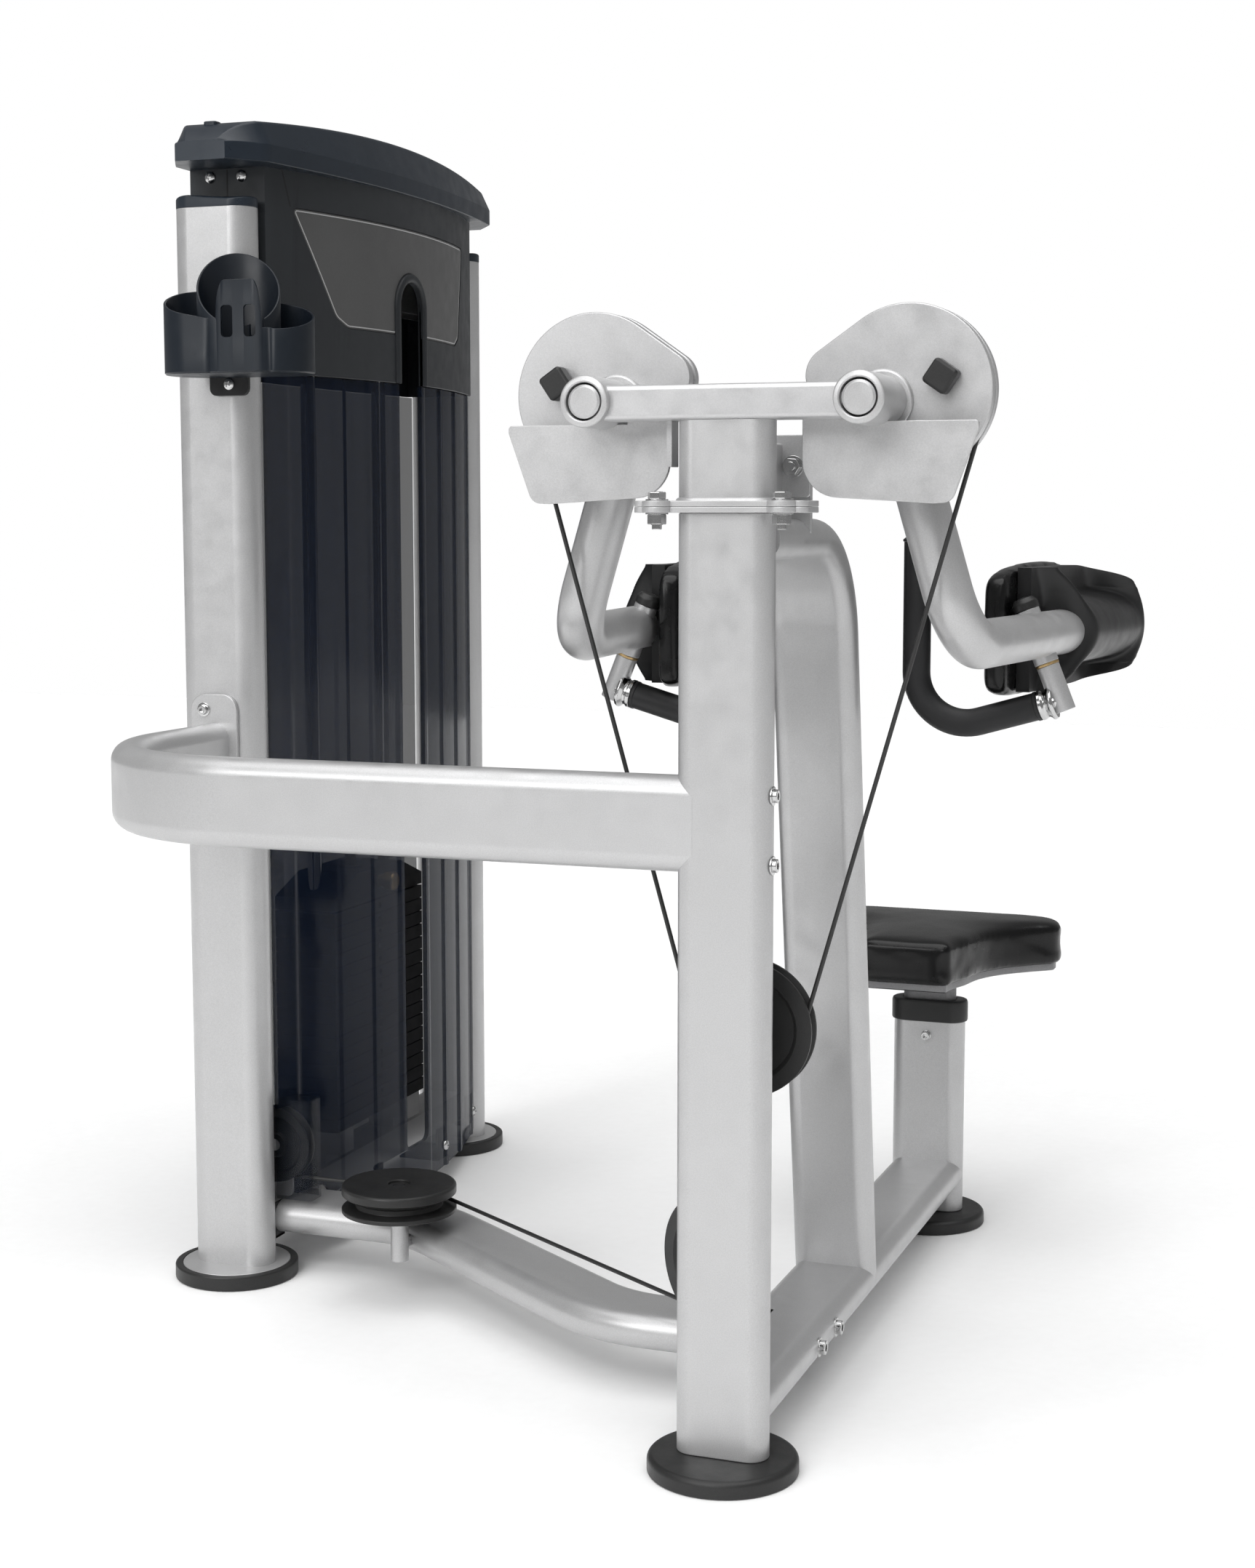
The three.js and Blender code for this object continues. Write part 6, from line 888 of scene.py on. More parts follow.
for word, side in SIDES:
    arm_body, grip_body = f"{word}_arm", f"{word}_grip"
    pivot = (side * PIVOT_X, 0, PIVOT_Z)
    rings = []
    for d, y in ((1.4, 64), (0.5, 64.4), (0, 65.3), (0, 74.2), (1, 75), (9.4, 76), (10, 77),
                 (10, 81), (9.4, 82), (1, 83), (0, 83.8), (0, 92.7), (0.5, 93.6), (1.4, 94)):
        rings.append([Vector((a, y, b)) for a, b in cam_outline(side, d)])
    hub = turned([(27, 66), (32, 66), (32, 58.5), (17.6, 58.5)], [0, 0, 3, 0], 5, Y, pivot)
    piece(f"cam_plate_{word}", loft(rings) + hub, "paint", f"cam_{word}", arm_body)
    block = slab(box(-14, 14, -14, 14, 4.5, 6), 0, 20, "Y", 3.4, 5)
    block = block.moved(Matrix.Translation((side * 204, 43.7, 1132))
                        @ Matrix.Rotation(side * 0.6, 4, "Y"))
    piece(f"stop_bumper_{word}", block, "rubber", f"bumper_{word}", arm_body)

    far = ARM_X + (700 - ARM_Y) * tan(DIVERGE)
    way = route([(side * PIVOT_X, ARM_Y, PIVOT_Z), (side * ARM_X, ARM_Y, ARM_Z),
                 (side * far, 700, ARM_Z)], 62, 22)
    hub = turned([(20, 94.3), (34, 94.3), (34, 147), (5, 147)], [0, 1.5, 4, 0], 6, Y, pivot)
    shaft = turned([(17, 90), (17, -30.6), (14.5, -31.9), (1, -31.9)], [0, 0, 1, 0], 5, Y, pivot)
    boss = rod(swivel_point(side, -29.7), swivel_point(side, 34), 14, 0.8)
    piece(f"lever_{word}", joined([sweep(disc(ARM_R, 64), way, Y), hub, shaft, boss]), "paint",
          f"arm_{word}", arm_body)

    down = swivel_point(side, 1) - swivel_point(side, 0)
    cap = turned([(8, 0), (15, 0), (15, 8), (11, 13.5), (1, 15)], [0, 1, 3, 3, 0], 6, -down,
                 swivel_point(side, -30), 48)
    piece(f"pin_cap_{word}", cap, "rubber", body=grip_body)
    ring = lathe(rounded_rod(13.6, 3, 0.7), down, swivel_point(side, 34.2), 48)
    piece(f"pin_bush_{word}", ring, "brass", body=grip_body)
    sleeve = rod(swivel_point(side, 37.4), swivel_point(side, 92), 12.9, 0.8, 48)
    piece(f"pin_sleeve_{word}", sleeve, "paint", body=grip_body)
    inward = grip_point(side, 1) - grip_point(side, 0)
    collar = turned([(12, 0), (18.6, 0), (20.2, 4), (15.6, 9), (15.6, 11.5), (17.3, 14),
                     (17.3, 18), (13, 18)], [0, 1.5, 2.5, 3, 2, 1, 1, 0], 6, inward,
                    grip_point(side, 6.6), 56)
    stem = rod(grip_point(side, 0), grip_point(side, 40), 12.5)
    piece(f"grip_collar_{word}", collar + stem, "chrome", f"swivel_{word}", grip_body)
    start = grip_point(side, 24.9)
    origin = grip_point(side, 0)
    drop = (abs(origin.x) - GRIP_X) * tan(GRIP_LEAN)
    way = route([start, (side * GRIP_X, SWIVEL_Y, origin.z - drop),
                 (side * GRIP_X, SWIVEL_Y, GRIP_TOP - 6)], 58, 18)
    sleeve = sweep(disc(GRIP_R, 44), way, Y)
    tip = lathe([(GRIP_R, 0), (GRIP_R + 1.2, 1), (GRIP_R + 1.2, 3), (GRIP_R * 0.9, 5.2),
                 (GRIP_R * 0.5, 6)], Z, (side * GRIP_X, SWIVEL_Y, GRIP_TOP - 6), 44)
    lip = turned([(13, 0), (16.9, 0), (16.9, 4), (15.9, 5)], [0, 1, 1, 0], 4, inward, start, 44)
    piece(f"grip_sleeve_{word}", joined([sleeve, tip, lip]), "grip", f"grip_{word}", grip_body)


# Moulded shells behind the elbow pads

def smoother(value):
    """A share from 0 to 1 that starts and ends gently."""
    value = min(max(value, 0.0), 1.0)
    return value * value * (3 - 2 * value)


def shell_height(u, w):
    """How far the shell stands out: two ridges, and the hub round the arm."""
    plate = SHELL_BACK - 16
    hub_r = 40
    across = min(abs(w) / hub_r, 1)
    hub = hub_r * sqrt(1 - across * across)
    side = w / PAD_TOP if w > 0 else w / PAD_LOW
    near_line = 96 - (96 - SHELL_NEAR) * 0.55 * side * side
    far_line = PAD_FAR * (0.9 - 0.12 * side * side)
    far_wall = (43 + plate) * (1 - 0.45 * side * side)
    wall = (hub_r + plate) * (1 - 0.8 * side * side) - plate
    near = exp(-(((u - near_line) / 13) ** 2))
    far = exp(-(((u - far_line) / 25) ** 2))
    ridge = -plate + max((wall + plate) * near, far_wall * far)
    inside = smoother((u - near_line + 4) / 8) * smoother((far_line - u + 4) / 8)
    behind = -plate + (hub + plate) * inside if across < 1 else -plate
    return max(-plate, ridge, behind)


SHELL_COLUMNS, SHELL_ROWS, SHELL_SIDE = 150, 100, 22


def shell_edge(u, sign):
    """The shell's upper or lower edge, which falls towards its far end."""
    t = (u - SHELL_NEAR) / (PAD_FAR - SHELL_EDGE - SHELL_NEAR)
    fall = 1 - 0.75 * max(0, (t - 0.5) * 2) ** 3
    return ((PAD_TOP - SHELL_EDGE) if sign > 0 else (PAD_LOW + SHELL_EDGE)) * fall


def shell_row(low, high):
    """Rows that keep their place over the hub and spread out to the edges."""
    inner_low, inner_high = max(-46, 0.9 * low), min(46, 0.9 * high)
    middle = SHELL_ROWS - 2 * SHELL_SIDE
    return (stepped(low, inner_low, SHELL_SIDE)[:-1] + stepped(inner_low, inner_high, middle)[:-1]
            + stepped(inner_high, high, SHELL_SIDE))


def shell(side):
    """A smoothed top over a grid, with thin walls and a flat back."""
    heights, places = [], []
    for u in stepped(SHELL_NEAR, PAD_FAR - SHELL_EDGE, SHELL_COLUMNS):
        row = shell_row(shell_edge(u, -1), shell_edge(u, 1))
        places.append([(u, w) for w in row])
        heights.append([shell_height(u, w) for w in row])
    for _ in range(9):
        heights = [[sum(heights[min(max(i + a, 0), SHELL_COLUMNS)][min(max(j + b, 0), SHELL_ROWS)]
                        * (2 - abs(a)) * (2 - abs(b)) for a in (-1, 0, 1) for b in (-1, 0, 1)) / 16
                    for j in range(SHELL_ROWS + 1)] for i in range(SHELL_COLUMNS + 1)]
    top = [[arm_place(side, u, heights[i][j], w) for j, (u, w) in enumerate(row)]
           for i, row in enumerate(places)]
    size = SHELL_ROWS + 1
    points = [p for row in top for p in row]
    faces = [[i * size + j, (i + 1) * size + j, (i + 1) * size + j + 1, i * size + j + 1]
             for i in range(SHELL_COLUMNS) for j in range(SHELL_ROWS)]
    rim = [(i, 0) for i in range(SHELL_COLUMNS)]
    rim += [(SHELL_COLUMNS, j) for j in range(SHELL_ROWS)]
    rim += [(i, SHELL_ROWS) for i in range(SHELL_COLUMNS, 0, -1)]
    rim += [(0, j) for j in range(SHELL_ROWS, 0, -1)]
    loop = [i * size + j for i, j in rim]
    for lower in (0.8, 16):
        start = len(points)
        for i, j in rim:
            u, w = places[i][j]
            points.append(arm_place(side, u, -SHELL_BACK + 16 - lower if lower > 1
                                    else heights[i][j] - lower, w))
        fresh = list(range(start, start + len(rim)))
        for k in range(len(rim)):
            n = (k + 1) % len(rim)
            faces.append([loop[k], loop[n], fresh[n], fresh[k]])
        loop = fresh
    faces.append(loop[::-1])
    return Form(points, faces)


for word, side in SIDES:
    piece(f"elbow_shell_{word}", shell(side), "shell", f"pad_shell_{word}", f"{word}_arm",
          sharp=75, flat=False)
    wells = []
    for u, w in ((262, 52), (262, -48), (150, -52), (150, 54)):
        at = arm_place(side, u, -17.6, w)
        out = arm_place(side, u, -16.6, w) - at
        wells.append((lathe([(7.6, 0), (7.6, 1.4), (6.6, 2.2), (5.2, 2.2), (5.2, 0.6)], sides=32),
                      at, out, 0))
    fixings(f"shell_wells_{word}", wells, "dark", f"{word}_arm")


# Pulleys

def pulley(radius, groove, thickness):
    """A grooved wheel along Z with a raised rim, a sunk web and a hub."""
    h = thickness / 2
    seat = groove - GROOVE_R
    web = h * 0.55
    profile = [(8, -h), (15, -h), (18, -web), (radius * 0.72, -web), (radius * 0.78, -h),
               (radius, -h), (radius, -h * 0.72), (seat + 3, -3.4), (seat, -2.4), (seat, 2.4),
               (seat + 3, 3.4), (radius, h * 0.72), (radius, h), (radius * 0.78, h),
               (radius * 0.72, web), (18, web), (15, h), (8, h)]
    return lathe(fillet(profile, 0.5, True, 3), sides=96, bored=True)


ACROSS_DRIVE = Vector((-sin(DRIVE), cos(DRIVE), 0))
for name, node, place, axis, size, body in (
        ("block_pulley", "mid_pulley", (0, CAM_MID, MID_Z), Y, WHEEL, "block_wheel"),
        ("corner_pulley", "low_pulley", LOW_PULLEY, ACROSS_DRIVE, WHEEL, "low_wheel"),
        ("tower_pulley_low", "base_pulley", (TOWER_X + SMALL_R, cable_y, LOW_Z + SMALL_R), Y,
         SMALL_WHEEL, "base_wheel"),
        ("tower_pulley_near", "top_pulley_near", (TOWER_X, cable_y + SMALL_R, HIGH_Z), X,
         SMALL_WHEEL, "near_wheel"),
        ("tower_pulley_mid", "top_pulley_mid", (TOWER_X, TOWER_Y - SMALL_R, HIGH_Z), X,
         SMALL_WHEEL, "mid_wheel")):
    piece(name, placed(pulley(*size), Vector(place), axis), "rubber", node, body)

rim, top = WHEEL[0], 24.2
profile = fillet([(8, -11), (rim, -11), (rim, -5.5), (55.5, -3.4), (55.2, 0), (55.5, 3.4),
                  (69, 10), (rim, 12.6), (rim, top), (14, top), (14, 21), (8, 21)],
                 [0, 1.4, 1.4, 1, 0, 1, 1, 2, 4, 1.2, 0, 0], True, 6)
piece("idler_pulley", lathe(profile, Z, IDLER, 112, True), "rubber", "turn_pulley", "turn_wheel")
fixings("idler_fixings", [(lathe(rounded_rod(AXLE_R, 21, 0.6)), IDLER, Z, 0)], "dark")
fixings("pulley_fixings",
        [(hex_bolt(8.5, 5, 11), (0, CAM_MID + s * CHEEK, MID_Z), Y * s, 0.2) for s in (-1, 1)],
        "chrome", "block")
fixings("corner_fixings", [(hex_bolt(8.5, 5, 11), Vector(LOW_PULLEY) + ACROSS_DRIVE * s * CHEEK,
                            ACROSS_DRIVE * s, 0.2) for s in (-1, 1)])
blades = [slab(oval(40, 121, 0, 426.5), CAM_MID + low, CAM_MID + low + 4, "Y", 0.8)
          for low in (-CHEEK, CHEEK - 4)]
bridge = slab(box(-10, 10, 370, 380, 2), CAM_MID - CHEEK + 4, CAM_MID + CHEEK - 4, "Y", 0)
axle = rod((0, CAM_MID - 14, MID_Z), (0, CAM_MID + 14, MID_Z), AXLE_R)
socket = rod((0, CAM_MID, SOCKET_Z), (0, CAM_MID, 380), 5.6, 1)
piece("block_frame", joined(blades + [bridge, axle, socket]), "steel", "pulley_block", "block")


# Tower

def curve(y):
    """0 at the tower's ends and 1 at its middle."""
    share = (y - TOWER_Y) / ((SHROUD_FAR - SHROUD_NEAR) / 2)
    return 1 - share * share


def front_x(y, out=0.0):
    """How far forward the curved front stands at a place across the tower."""
    return EDGE_X + (FRONT_X - EDGE_X) * curve(y) + out


def back_x(y, out=0.0):
    """How far back the sheet stands at a place across the tower."""
    return 2 * TOWER_X - EDGE_X - BACK_BULGE * curve(y) - out


for word, end, y in (("near", -1, NEAR_Y), ("far", 1, FAR_Y)):
    tall = upright(POST_W, POST_D, TOWER_X, y, POST_LOW, POST_HIGH, 0.8)
    plate = lathe(rounded_rod(70, 6, 1), Z, (TOWER_X, y, POST_LOW), 112)
    piece(f"tower_post_{word}", tall + plate, "paint", f"post_{word}")
    pad = turned([(60, 0), (FOOT_R, 0), (FOOT_R, FOOT_H), (70.3, FOOT_H), (70.3, POST_LOW),
                  (60, POST_LOW)], [0, 2, 2.5, 1.5, 0, 0], 6, Z, (TOWER_X, y, 0), 128)
    piece(f"tower_foot_{word}", pad, "rubber", f"foot_{word}")
    outline = oval(POST_W + 0.6, POST_D + 0.6, TOWER_X, y, 14)
    rings = []
    for d, lift in ((0.4, 0), (0, 0.6), (0, 10), (0.6, 11.6), (2.2, 12.8), (5, 13.3)):
        ring = []
        for a, b in inset(outline, d):
            wave = -2.5 * sin(2 * pi * (0.5 - (a - TOWER_X) / POST_W))
            ring.append(Vector((a, b, POST_HIGH + lift + (wave if lift > 1 else 0))))
        rings.append(ring)
    piece(f"post_plug_{word}", loft(rings), "plastic", f"plug_{word}")
    bar_y = TOWER_Y + end * GUIDE_Y
    piece(f"guide_bar_{word}", rod((TOWER_X, bar_y, 92), (TOWER_X, bar_y, HIGH_Z - 1), GUIDE_R,
                                   1, 48), "chrome", f"guide_rod_{word}")

for name, finish in (("tower_base", "paint"), ("tower_top_frame", "paint"),
                     ("weight_plates", "iron"), ("stack_head", "iron")):
    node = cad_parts[name]
    node.data.materials.clear()
    node.data.materials.append(FINISHES[finish])
    modified(node, "edges", "BEVEL", width=0.0006, segments=2, limit_method="ANGLE")

KNOB_X, KNURLS = TOWER_X + 46.3, 36
knob_at = Vector((KNOB_X, TOWER_Y, KNOB_Z))
knob = turned([(9, 0), (9, 9), (12.6, 10.5), (13, 12), (13, 23), (11, 26), (2, 26)],
              [0, 0.6, 1, 0.6, 0.6, 1.4, 0], 3, X, knob_at, 48)
knurls = [slab(box(-0.5, 0.5, 12.7, 13.3), 12.5, 22.5, "Z", 0.1).moved(
    Matrix.Rotation(2 * pi * k / KNURLS, 4, "Z")) for k in range(KNURLS)]
knurls = placed(joined(knurls), knob_at, X)
shank = rod((TOWER_X + 0.3, TOWER_Y, KNOB_Z), (TOWER_X + 50, TOWER_Y, KNOB_Z), 4.5)
piece("selector_knob", joined([knob, knurls, shank]), "brass", "selector_pin", "selector")


def through(outline, high=-600):
    """A cutter along X that passes the tower's front."""
    return slab(outline, TOWER_X + 2, high, "X", 0)


def panel_plan(edge_x, ribs, steps=150, thick=4):
    """The plan of a curved sheet, with round-shouldered ribs along it."""
    outer, inner = [], []
    for y in stepped(SHROUD_NEAR, SHROUD_FAR, steps):
        lift = 0.0
        for middle, half_width, high in ribs:
            lift = max(lift, high * smoother((half_width + 2 - abs(y - middle)) / 4))
        outer.append((edge_x(y, lift), y))
        inner.append((edge_x(y, -thick), y))
    return outer + inner[::-1]


span = SHROUD_FAR - SHROUD_NEAR
front_ribs = [(SHROUD_NEAR + span * s, 6, 3) for s in (0.05, 0.2, 0.32, 0.68, 0.8, 0.95)]
front_ribs.append((TOWER_Y, SLOT_HALF + 12, 2.5))
slot_tool = through(box(TOWER_Y - SLOT_HALF, TOWER_Y + SLOT_HALF, SLOT_LOW, 1300, 12), -650)
tie_tool = through(box(380, 518.6, -20, 98, 20), -650)
pulley_tool = through(box(380, cable_y + 18, 92, 219, 4), -700)
sheet = slab(panel_plan(front_x, front_ribs), SHEET_LOW, SHEET_HIGH, "Z", 0)
sheet_piece("front_shroud", carved(sheet, slot_tool, tie_tool, pulley_tool), "smoked",
            "shroud_front")
back, end, front, far, wall, top = -756, -738, -705, 459, 3, 232
outer = fillet([(back, SHROUD_NEAR), (front, SHROUD_NEAR), (front, far), (end, far)],
               [0, 6, 9, 0], False)
inner = fillet([(end, far - wall), (front - wall, far - wall), (front - wall, SHROUD_NEAR + wall),
                (back, SHROUD_NEAR + wall)], [0, 6, 4, 0], False)
guard = slab(outer + inner, 98, top, "Z", 0)
lid = slab(outer, top - wall, top, "Z", 0)
hole = lathe(rounded_rod(6, 60, 0), X, (-740, cable_y, LOW_Z), 32)
sheet_piece("pulley_guard", carved(guard + lid, hole), "guard")
back_ribs = [(SHROUD_NEAR + span * s, 6, 3) for s in (0.05, 0.26, 0.5, 0.74, 0.95)]
sheet_piece("back_shroud", slab(panel_plan(back_x, back_ribs), SHEET_LOW, SHEET_HIGH, "Z", 0),
            "smoked", "shroud_back")

# Tabs and brackets that hold the shroud at its foot
SCREW_Z = 66
CLIPS_Y = (432, 640, 850, 1049)
clips = []
for y in CLIPS_Y:
    x = front_x(y, -6)
    clips.append(slab(box(y - 13, y + 13, 44, 92, 3), x - 3, x, "X", 0.5))
    clips.append(slab(box(y - 13, y + 13, 44, 47, 0), TOWER_X + 26, x, "X", 0))
piece("shroud_clips", joined(clips), "dark")
fixings("shroud_fixings", [(SCREW, (front_x(y, 0.4), y, SCREW_Z), X, 0.5) for y in CLIPS_Y[1:]]
        + [(SCREW, (back_x(y, 0.4), y, SCREW_Z), -X, 0.5) for y in (450, 640, 850, 1040)])


# Upper housing

def housing_plan(out, steps=64):
    """Front and back of the tower, with flat ends."""
    ys = stepped(SHROUD_NEAR + HOUSE_OUT - out, SHROUD_FAR - HOUSE_OUT + out, steps)
    return ([(front_x(y, out), y) for y in ys]
            + [(back_x(y, out), y) for y in reversed(ys)])


def slot_room(out, steps=28):
    """A cutter for the slot and its round top, wider by a distance."""
    half_width, middle, low = SLOT_HALF + out, SLOT_TOP - SLOT_HALF, 1100
    outline = [(TOWER_Y - half_width, low), (TOWER_Y + half_width, low)]
    outline += [(TOWER_Y + half_width * cos(t), middle + half_width * sin(t))
                for t in stepped(0, pi, steps)]
    return slab(outline, -760, -640, "X", 0)


outer, inner = fillet(housing_plan(HOUSE_OUT), 0), housing_plan(HOUSE_OUT - 4)
wall = layered([(outer, 0.8, HOUSE_LOW), (outer, 0, HOUSE_LOW + 0.8), (outer, 0, HOUSE_HIGH),
                (inner, 0, HOUSE_HIGH), (inner, 0, HOUSE_LOW)], True)
PLACARD_LOW, PLACARD_HIGH = 1240, 1386
placard = fillet([(SHROUD_NEAR + span * a, b) for a, b in (
    (0.24, PLACARD_LOW), (0.79, PLACARD_LOW), (0.825, PLACARD_LOW + 12), (0.87, PLACARD_HIGH),
    (0.07, PLACARD_HIGH), (0.2, PLACARD_LOW + 12))], [26, 16, 16, 8, 6, 26], True, 8)


def skin(outline, inner_out, outer_out, steps=40):
    """A curved plate over the housing's front, inside an outline of Y and Z."""
    ys = [p[0] for p in outline]
    ys = stepped(min(ys) - 1, max(ys) + 1, steps)
    plan = ([(front_x(y, outer_out), y) for y in ys]
            + [(front_x(y, inner_out), y) for y in reversed(ys)])
    zs = [p[1] for p in outline]
    return carved(slab(plan, min(zs) - 1, max(zs) + 1, "Z", 0), through(outline),
                  operation="INTERSECT")


house = carved(wall, slot_room(0), skin(placard, 2.3, 12))
sheet_piece("housing_shell", house, "housing", "upper_housing")
plate_outline = inset(placard, 1.2)
wide_room = slot_room(13)
plate_form = carved(skin(plate_outline, 2.0, 3.4), wide_room)
sheet_piece("blank_placard", plate_form, "placard")


def ring_of(outline, width, low, high):
    """A raised line along an outline."""
    return carved(skin(outline, low, high), through(inset(outline, width)))


border = carved(ring_of(inset(placard, 3), 1.5, 3.0, 3.8), wide_room)
sheet_piece("placard_line", border, "line")
seam = skin([(SHROUD_NEAR + span * a, b) for a, b in (
    (0.066, PLACARD_HIGH), (0.069, PLACARD_HIGH), (0.048, HOUSE_HIGH - 1),
    (0.045, HOUSE_HIGH - 1))], 3.6, 4.45)
sheet_piece("housing_seam", seam, "dark")


def arch_roll():
    """A rounded roll round the slot, up the sheet and over its arched top."""
    middle = SLOT_TOP - SLOT_HALF
    line = [(-1.0, 0.0, z) for z in stepped(HOUSE_LOW, middle, 10)[:-1]]
    line += [(cos(t), sin(t), middle) for t in stepped(pi, 0, 36)]
    line += [(1.0, 0.0, z) for z in stepped(middle, HOUSE_LOW, 10)[1:]]
    section = [(0, -6)] + [(6 - 6 * cos(t), 0.5 + 4 * sin(t)) for t in stepped(0, pi, 14)]
    section.append((12, -6))
    rings = []
    for dy, dz, z in line:
        rings.append([Vector((front_x(TOWER_Y + dy * (SLOT_HALF + a), HOUSE_OUT + lift),
                              TOWER_Y + dy * (SLOT_HALF + a), z + dz * (SLOT_HALF + a)))
                      for a, lift in section])
    return loft(rings)


piece("slot_roll", arch_roll(), "housing", sharp=40, flat=False)
fixings("housing_fixings", [(SCREW, (x, y, HOUSE_HIGH - 10), axis, 0.6)
                            for y, axis in ((SHROUD_NEAR, -Y), (SHROUD_FAR, Y))
                            for x in (-826, -781)])
end_seams = [slab(box(TOWER_X - 0.8, TOWER_X + 0.8, PLACARD_HIGH - 4, HOUSE_HIGH - 1), y - 0.3,
                  y + 0.3, "Y", 0) for y in (SHROUD_NEAR, SHROUD_FAR)]
piece("housing_joint", joined(end_seams), "dark")

CAP_NEAR, CAP_FAR, CAP_FRONT_X, CAP_BACK_X = 345, 1127, -735, -855
CAP_EDGE_Z, CAP_END_Z, CAP_RISE = 1453, 1477, 21
CAP_SLANT, CAP_END = 25, 46


def tower_cap():
    """A long lid, bulged in front, arched on top and cut off slanting at both ends."""
    half_length, middle = (CAP_FAR - CAP_NEAR) / 2, (CAP_FAR + CAP_NEAR) / 2
    rings = []
    for t in stepped(0, pi, 64):
        y = middle - half_length * cos(t)
        share = (y - middle) / half_length
        to_end = half_length - abs(y - middle)
        slant = max(0.0, 1 - to_end / CAP_END)
        bulge = FRONT_X + 8 - CAP_FRONT_X
        front = CAP_FRONT_X + bulge * (1 - share * share) - CAP_SLANT * slant
        back = CAP_BACK_X - 6.25 * (1 - share * share) + CAP_SLANT * slant
        top = CAP_END_Z + CAP_RISE * (1 - share * share)
        roof = max(top - (top - CAP_EDGE_Z) * slant * slant, CAP_EDGE_Z + 1.8)
        section = fillet([(back, HOUSE_HIGH), (front, HOUSE_HIGH), (front, CAP_EDGE_Z),
                          (front - 14, roof), (back + 14, roof), (back, CAP_EDGE_Z)],
                         [1, 1.5, 3, 6, 6, 3], True, 4)
        rings.append([Vector((a, y, b)) for a, b in section])
    return loft(rings)


piece("top_cover", tower_cap(), "plastic", "tower_cap", sharp=30)
piece("cover_tab", slab(box(-809, -791, 378, 394, 4), 1470, 1483, "Z", 1.5), "plastic")


# Cup and towel holder

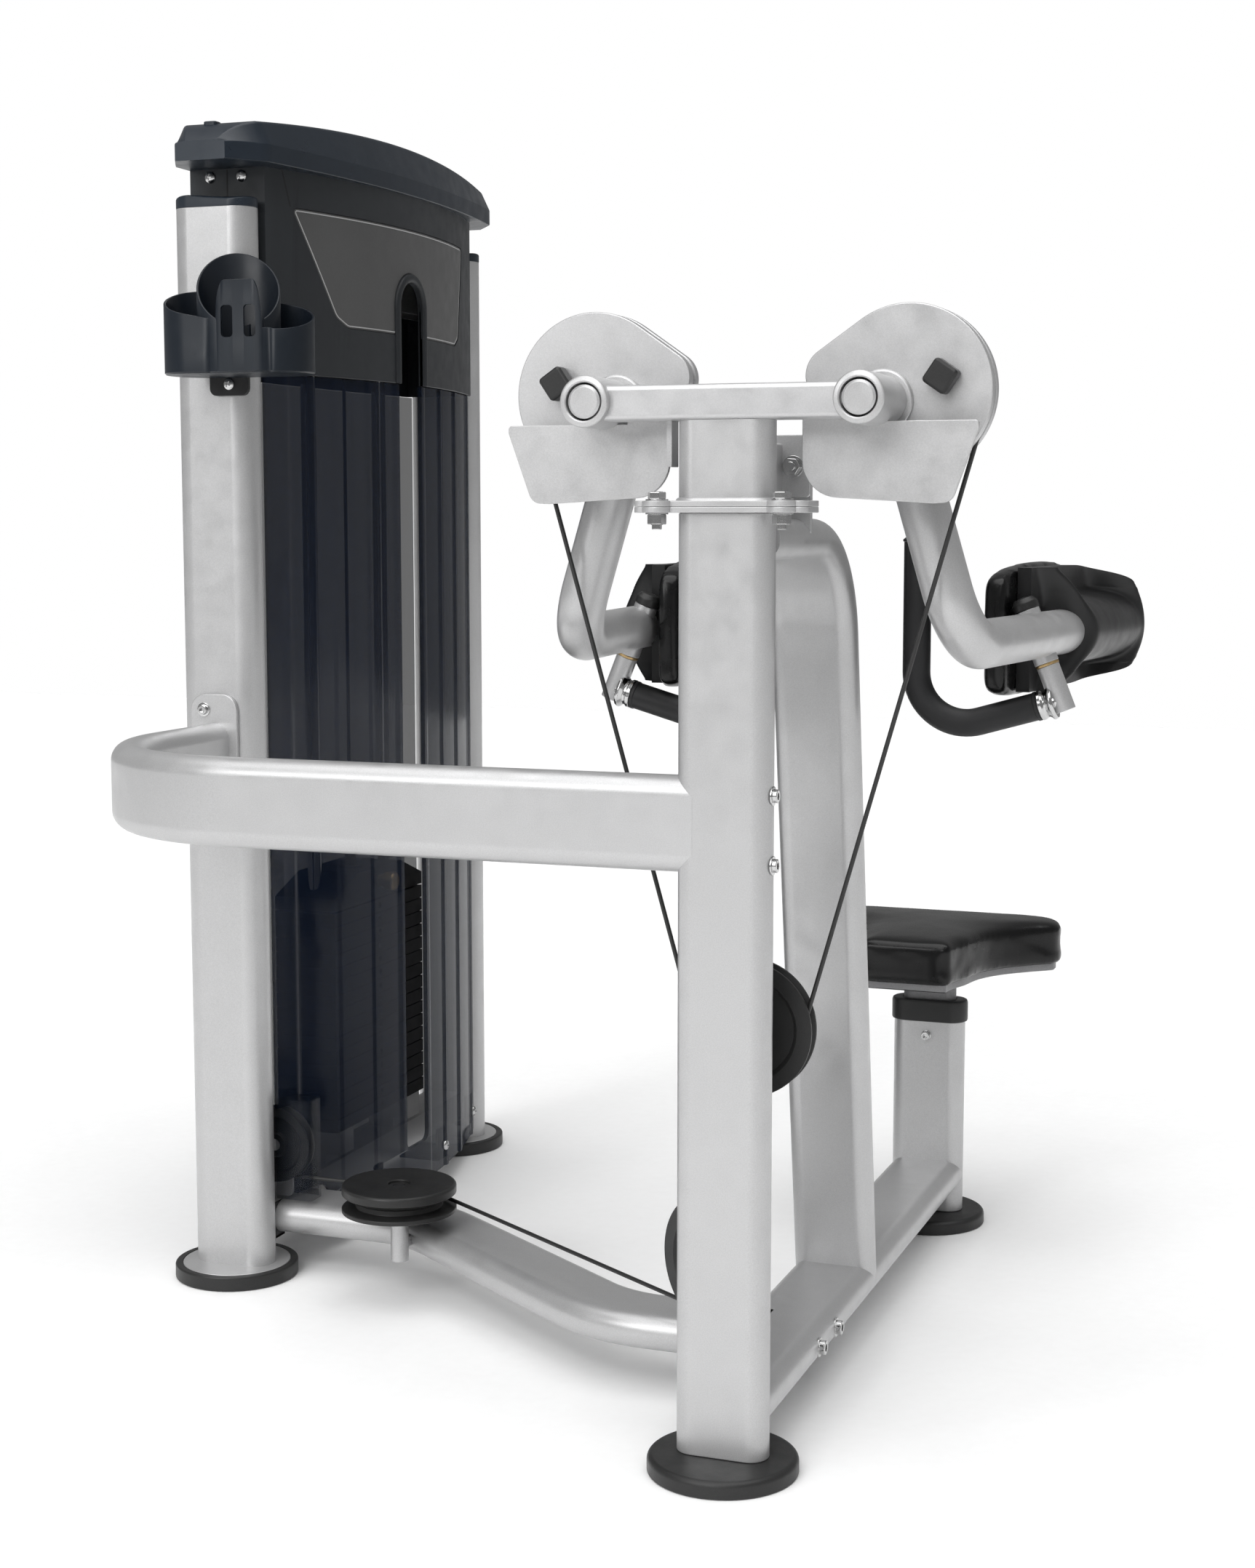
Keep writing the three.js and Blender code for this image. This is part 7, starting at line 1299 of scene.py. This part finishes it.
def holder():
    """A long tray with a cup in it, both with rims that slope, and the plate behind them."""
    hx, hy = HOLDER
    wall_thick, low, panel_x, reach_r = 3, 1166, 27, 51
    lean = (-0.5, 0.866)

    def rim(a, b, front, back):
        along = (a - hx) * lean[0] + (b - hy) * lean[1]
        return (front + back) / 2 + (back - front) / 2 * along / reach_r

    def shell_of(outline, top, inner_floor):
        """Walls that follow an outline up to a height of their own, with a rounded rim."""
        thin = inset(outline, wall_thick)
        middle = inset(outline, wall_thick / 2)
        rings = [[Vector((a, b, low)) for a, b in inset(outline, 2)],
                 [Vector((a, b, low + 2)) for a, b in outline]]
        for lift, pts in ((-1.2, outline), (-0.35, inset(outline, 0.5)), (0, middle),
                          (-0.35, inset(outline, wall_thick - 0.5)), (-1.2, thin)):
            rings.append([Vector((a, b, top(*o) + lift)) for (a, b), o in zip(pts, outline)])
        rings.append([Vector((a, b, inner_floor + 2)) for a, b in thin])
        rings.append([Vector((a, b, inner_floor)) for a, b in inset(outline, wall_thick + 2)])
        return loft(rings)

    dense = []
    stadium = oval(193, 102, 0, 0, 40)
    for p, q in zip(stadium, stadium[1:] + stadium[:1]):
        count = max(1, int(dist(p, q) / 0.8))
        for k in range(count):
            a = p[0] + (q[0] - p[0]) * k / count
            b = p[1] + (q[1] - p[1]) * k / count
            if b < -35:
                b += 4 * sum(exp(-(((a - v) / 5) ** 2)) for v in (panel_x - 37, panel_x + 37))
            dense.append((hx + a, hy + b))

    def tray_top(a, b):
        """The rim's height, raised round the slotted panel in front."""
        edge = rim(a, b, 1226, 1264)
        reach = abs(a - hx - panel_x)
        if b > hy - 20 or reach > 31:
            return edge
        corner = max(0.0, reach - 19) / 12
        return edge + (1276 - edge) * sqrt(max(0.0, 1 - corner * corner))

    tray = shell_of(dense, tray_top, low + 3)
    cup = shell_of(disc(50.6, 180, hx, hy), lambda a, b: rim(a, b, 1222, 1318), low + 3)
    slots = [slab(box(x - 8, x + 8, 1208, 1246, 5), hy - 70, hy - 20, "Y", 0)
             for x in (hx + panel_x - 15.5, hx + panel_x + 15.5)]
    tray = carved(tray, slab(disc(49.3, 96, hx, hy), low - 10, 1225, "Z", 0), *slots)
    cup = carved(cup, *slots)
    plate = slab(box(hx - 70, hx - 16, low - 22, low + 78, 9), hy + 47, hy + 54, "Y", 0.8)
    return tray + cup, plate


body, plate = holder()
piece("bottle_holder", body, "tray", "cup_holder", sharp=40, flat=False)
piece("holder_bracket", plate, "dark")
fixings("holder_fixings", [(SCREW, (HOLDER[0] - 42, HOLDER[1] + 47, 1158), -Y, 0.3)])


# Floor, light and world

FLOOR_HALF, FLOOR_Z = 9000, -0.4
ground = Form([(a * FLOOR_HALF, b * FLOOR_HALF, FLOOR_Z)
               for a, b in ((-1, -1), (1, -1), (1, 1), (-1, 1))], [[0, 1, 2, 3]])
floor = base_object("floor", ground, MM)
floor.data.materials.append(material("pale_floor", (0.98,) * 3, 0.6, 0, 0.01, 60, 0.02, 0.01))


def light(name, kind, power, place, way, **values):
    """A light at a place, which shines against a direction."""
    data = bpy.data.lights.new(name, kind)
    data.energy = power
    for key, value in values.items():
        setattr(data, key, value)
    obj = added(name, data)
    obj.location = place
    obj.rotation_euler = way.to_track_quat("Z", "Y").to_euler()


def sun(name, turn, height, spread, power):
    """Soft light from a direction: turn from -Y towards +X, and height above the floor."""
    t, h = radians(turn), radians(height)
    way = Vector((sin(t) * cos(h), -cos(t) * cos(h), sin(h)))
    light(name, "SUN", power, way * 5, way, angle=radians(spread))


sun("top_light", 10, 78, 70, 2.2)
sun("front_light", -6, 32, 36, 1.2)
place = Vector((-1.9, -2.6, 1.9))
light("glint_light", "AREA", 12, place, place - Vector((-0.3, 0.3, 0.8)), shape="DISK", size=0.9)
world = bpy.data.worlds.new("studio")
world.use_nodes = True
sky = world.node_tree
sky.nodes["Background"].inputs["Color"].default_value = (1, 1, 1, 1)
seen = sky.nodes.new("ShaderNodeLightPath")
level = sky.nodes.new("ShaderNodeMapRange")
level.inputs["To Min"].default_value = 0.28
level.inputs["To Max"].default_value = 1.0
sky.links.new(seen.outputs["Is Camera Ray"], level.inputs["Value"])
sky.links.new(level.outputs["Result"], sky.nodes["Background"].inputs["Strength"])
bpy.context.scene.world = world
bpy.context.scene.view_settings.view_transform = "Standard"
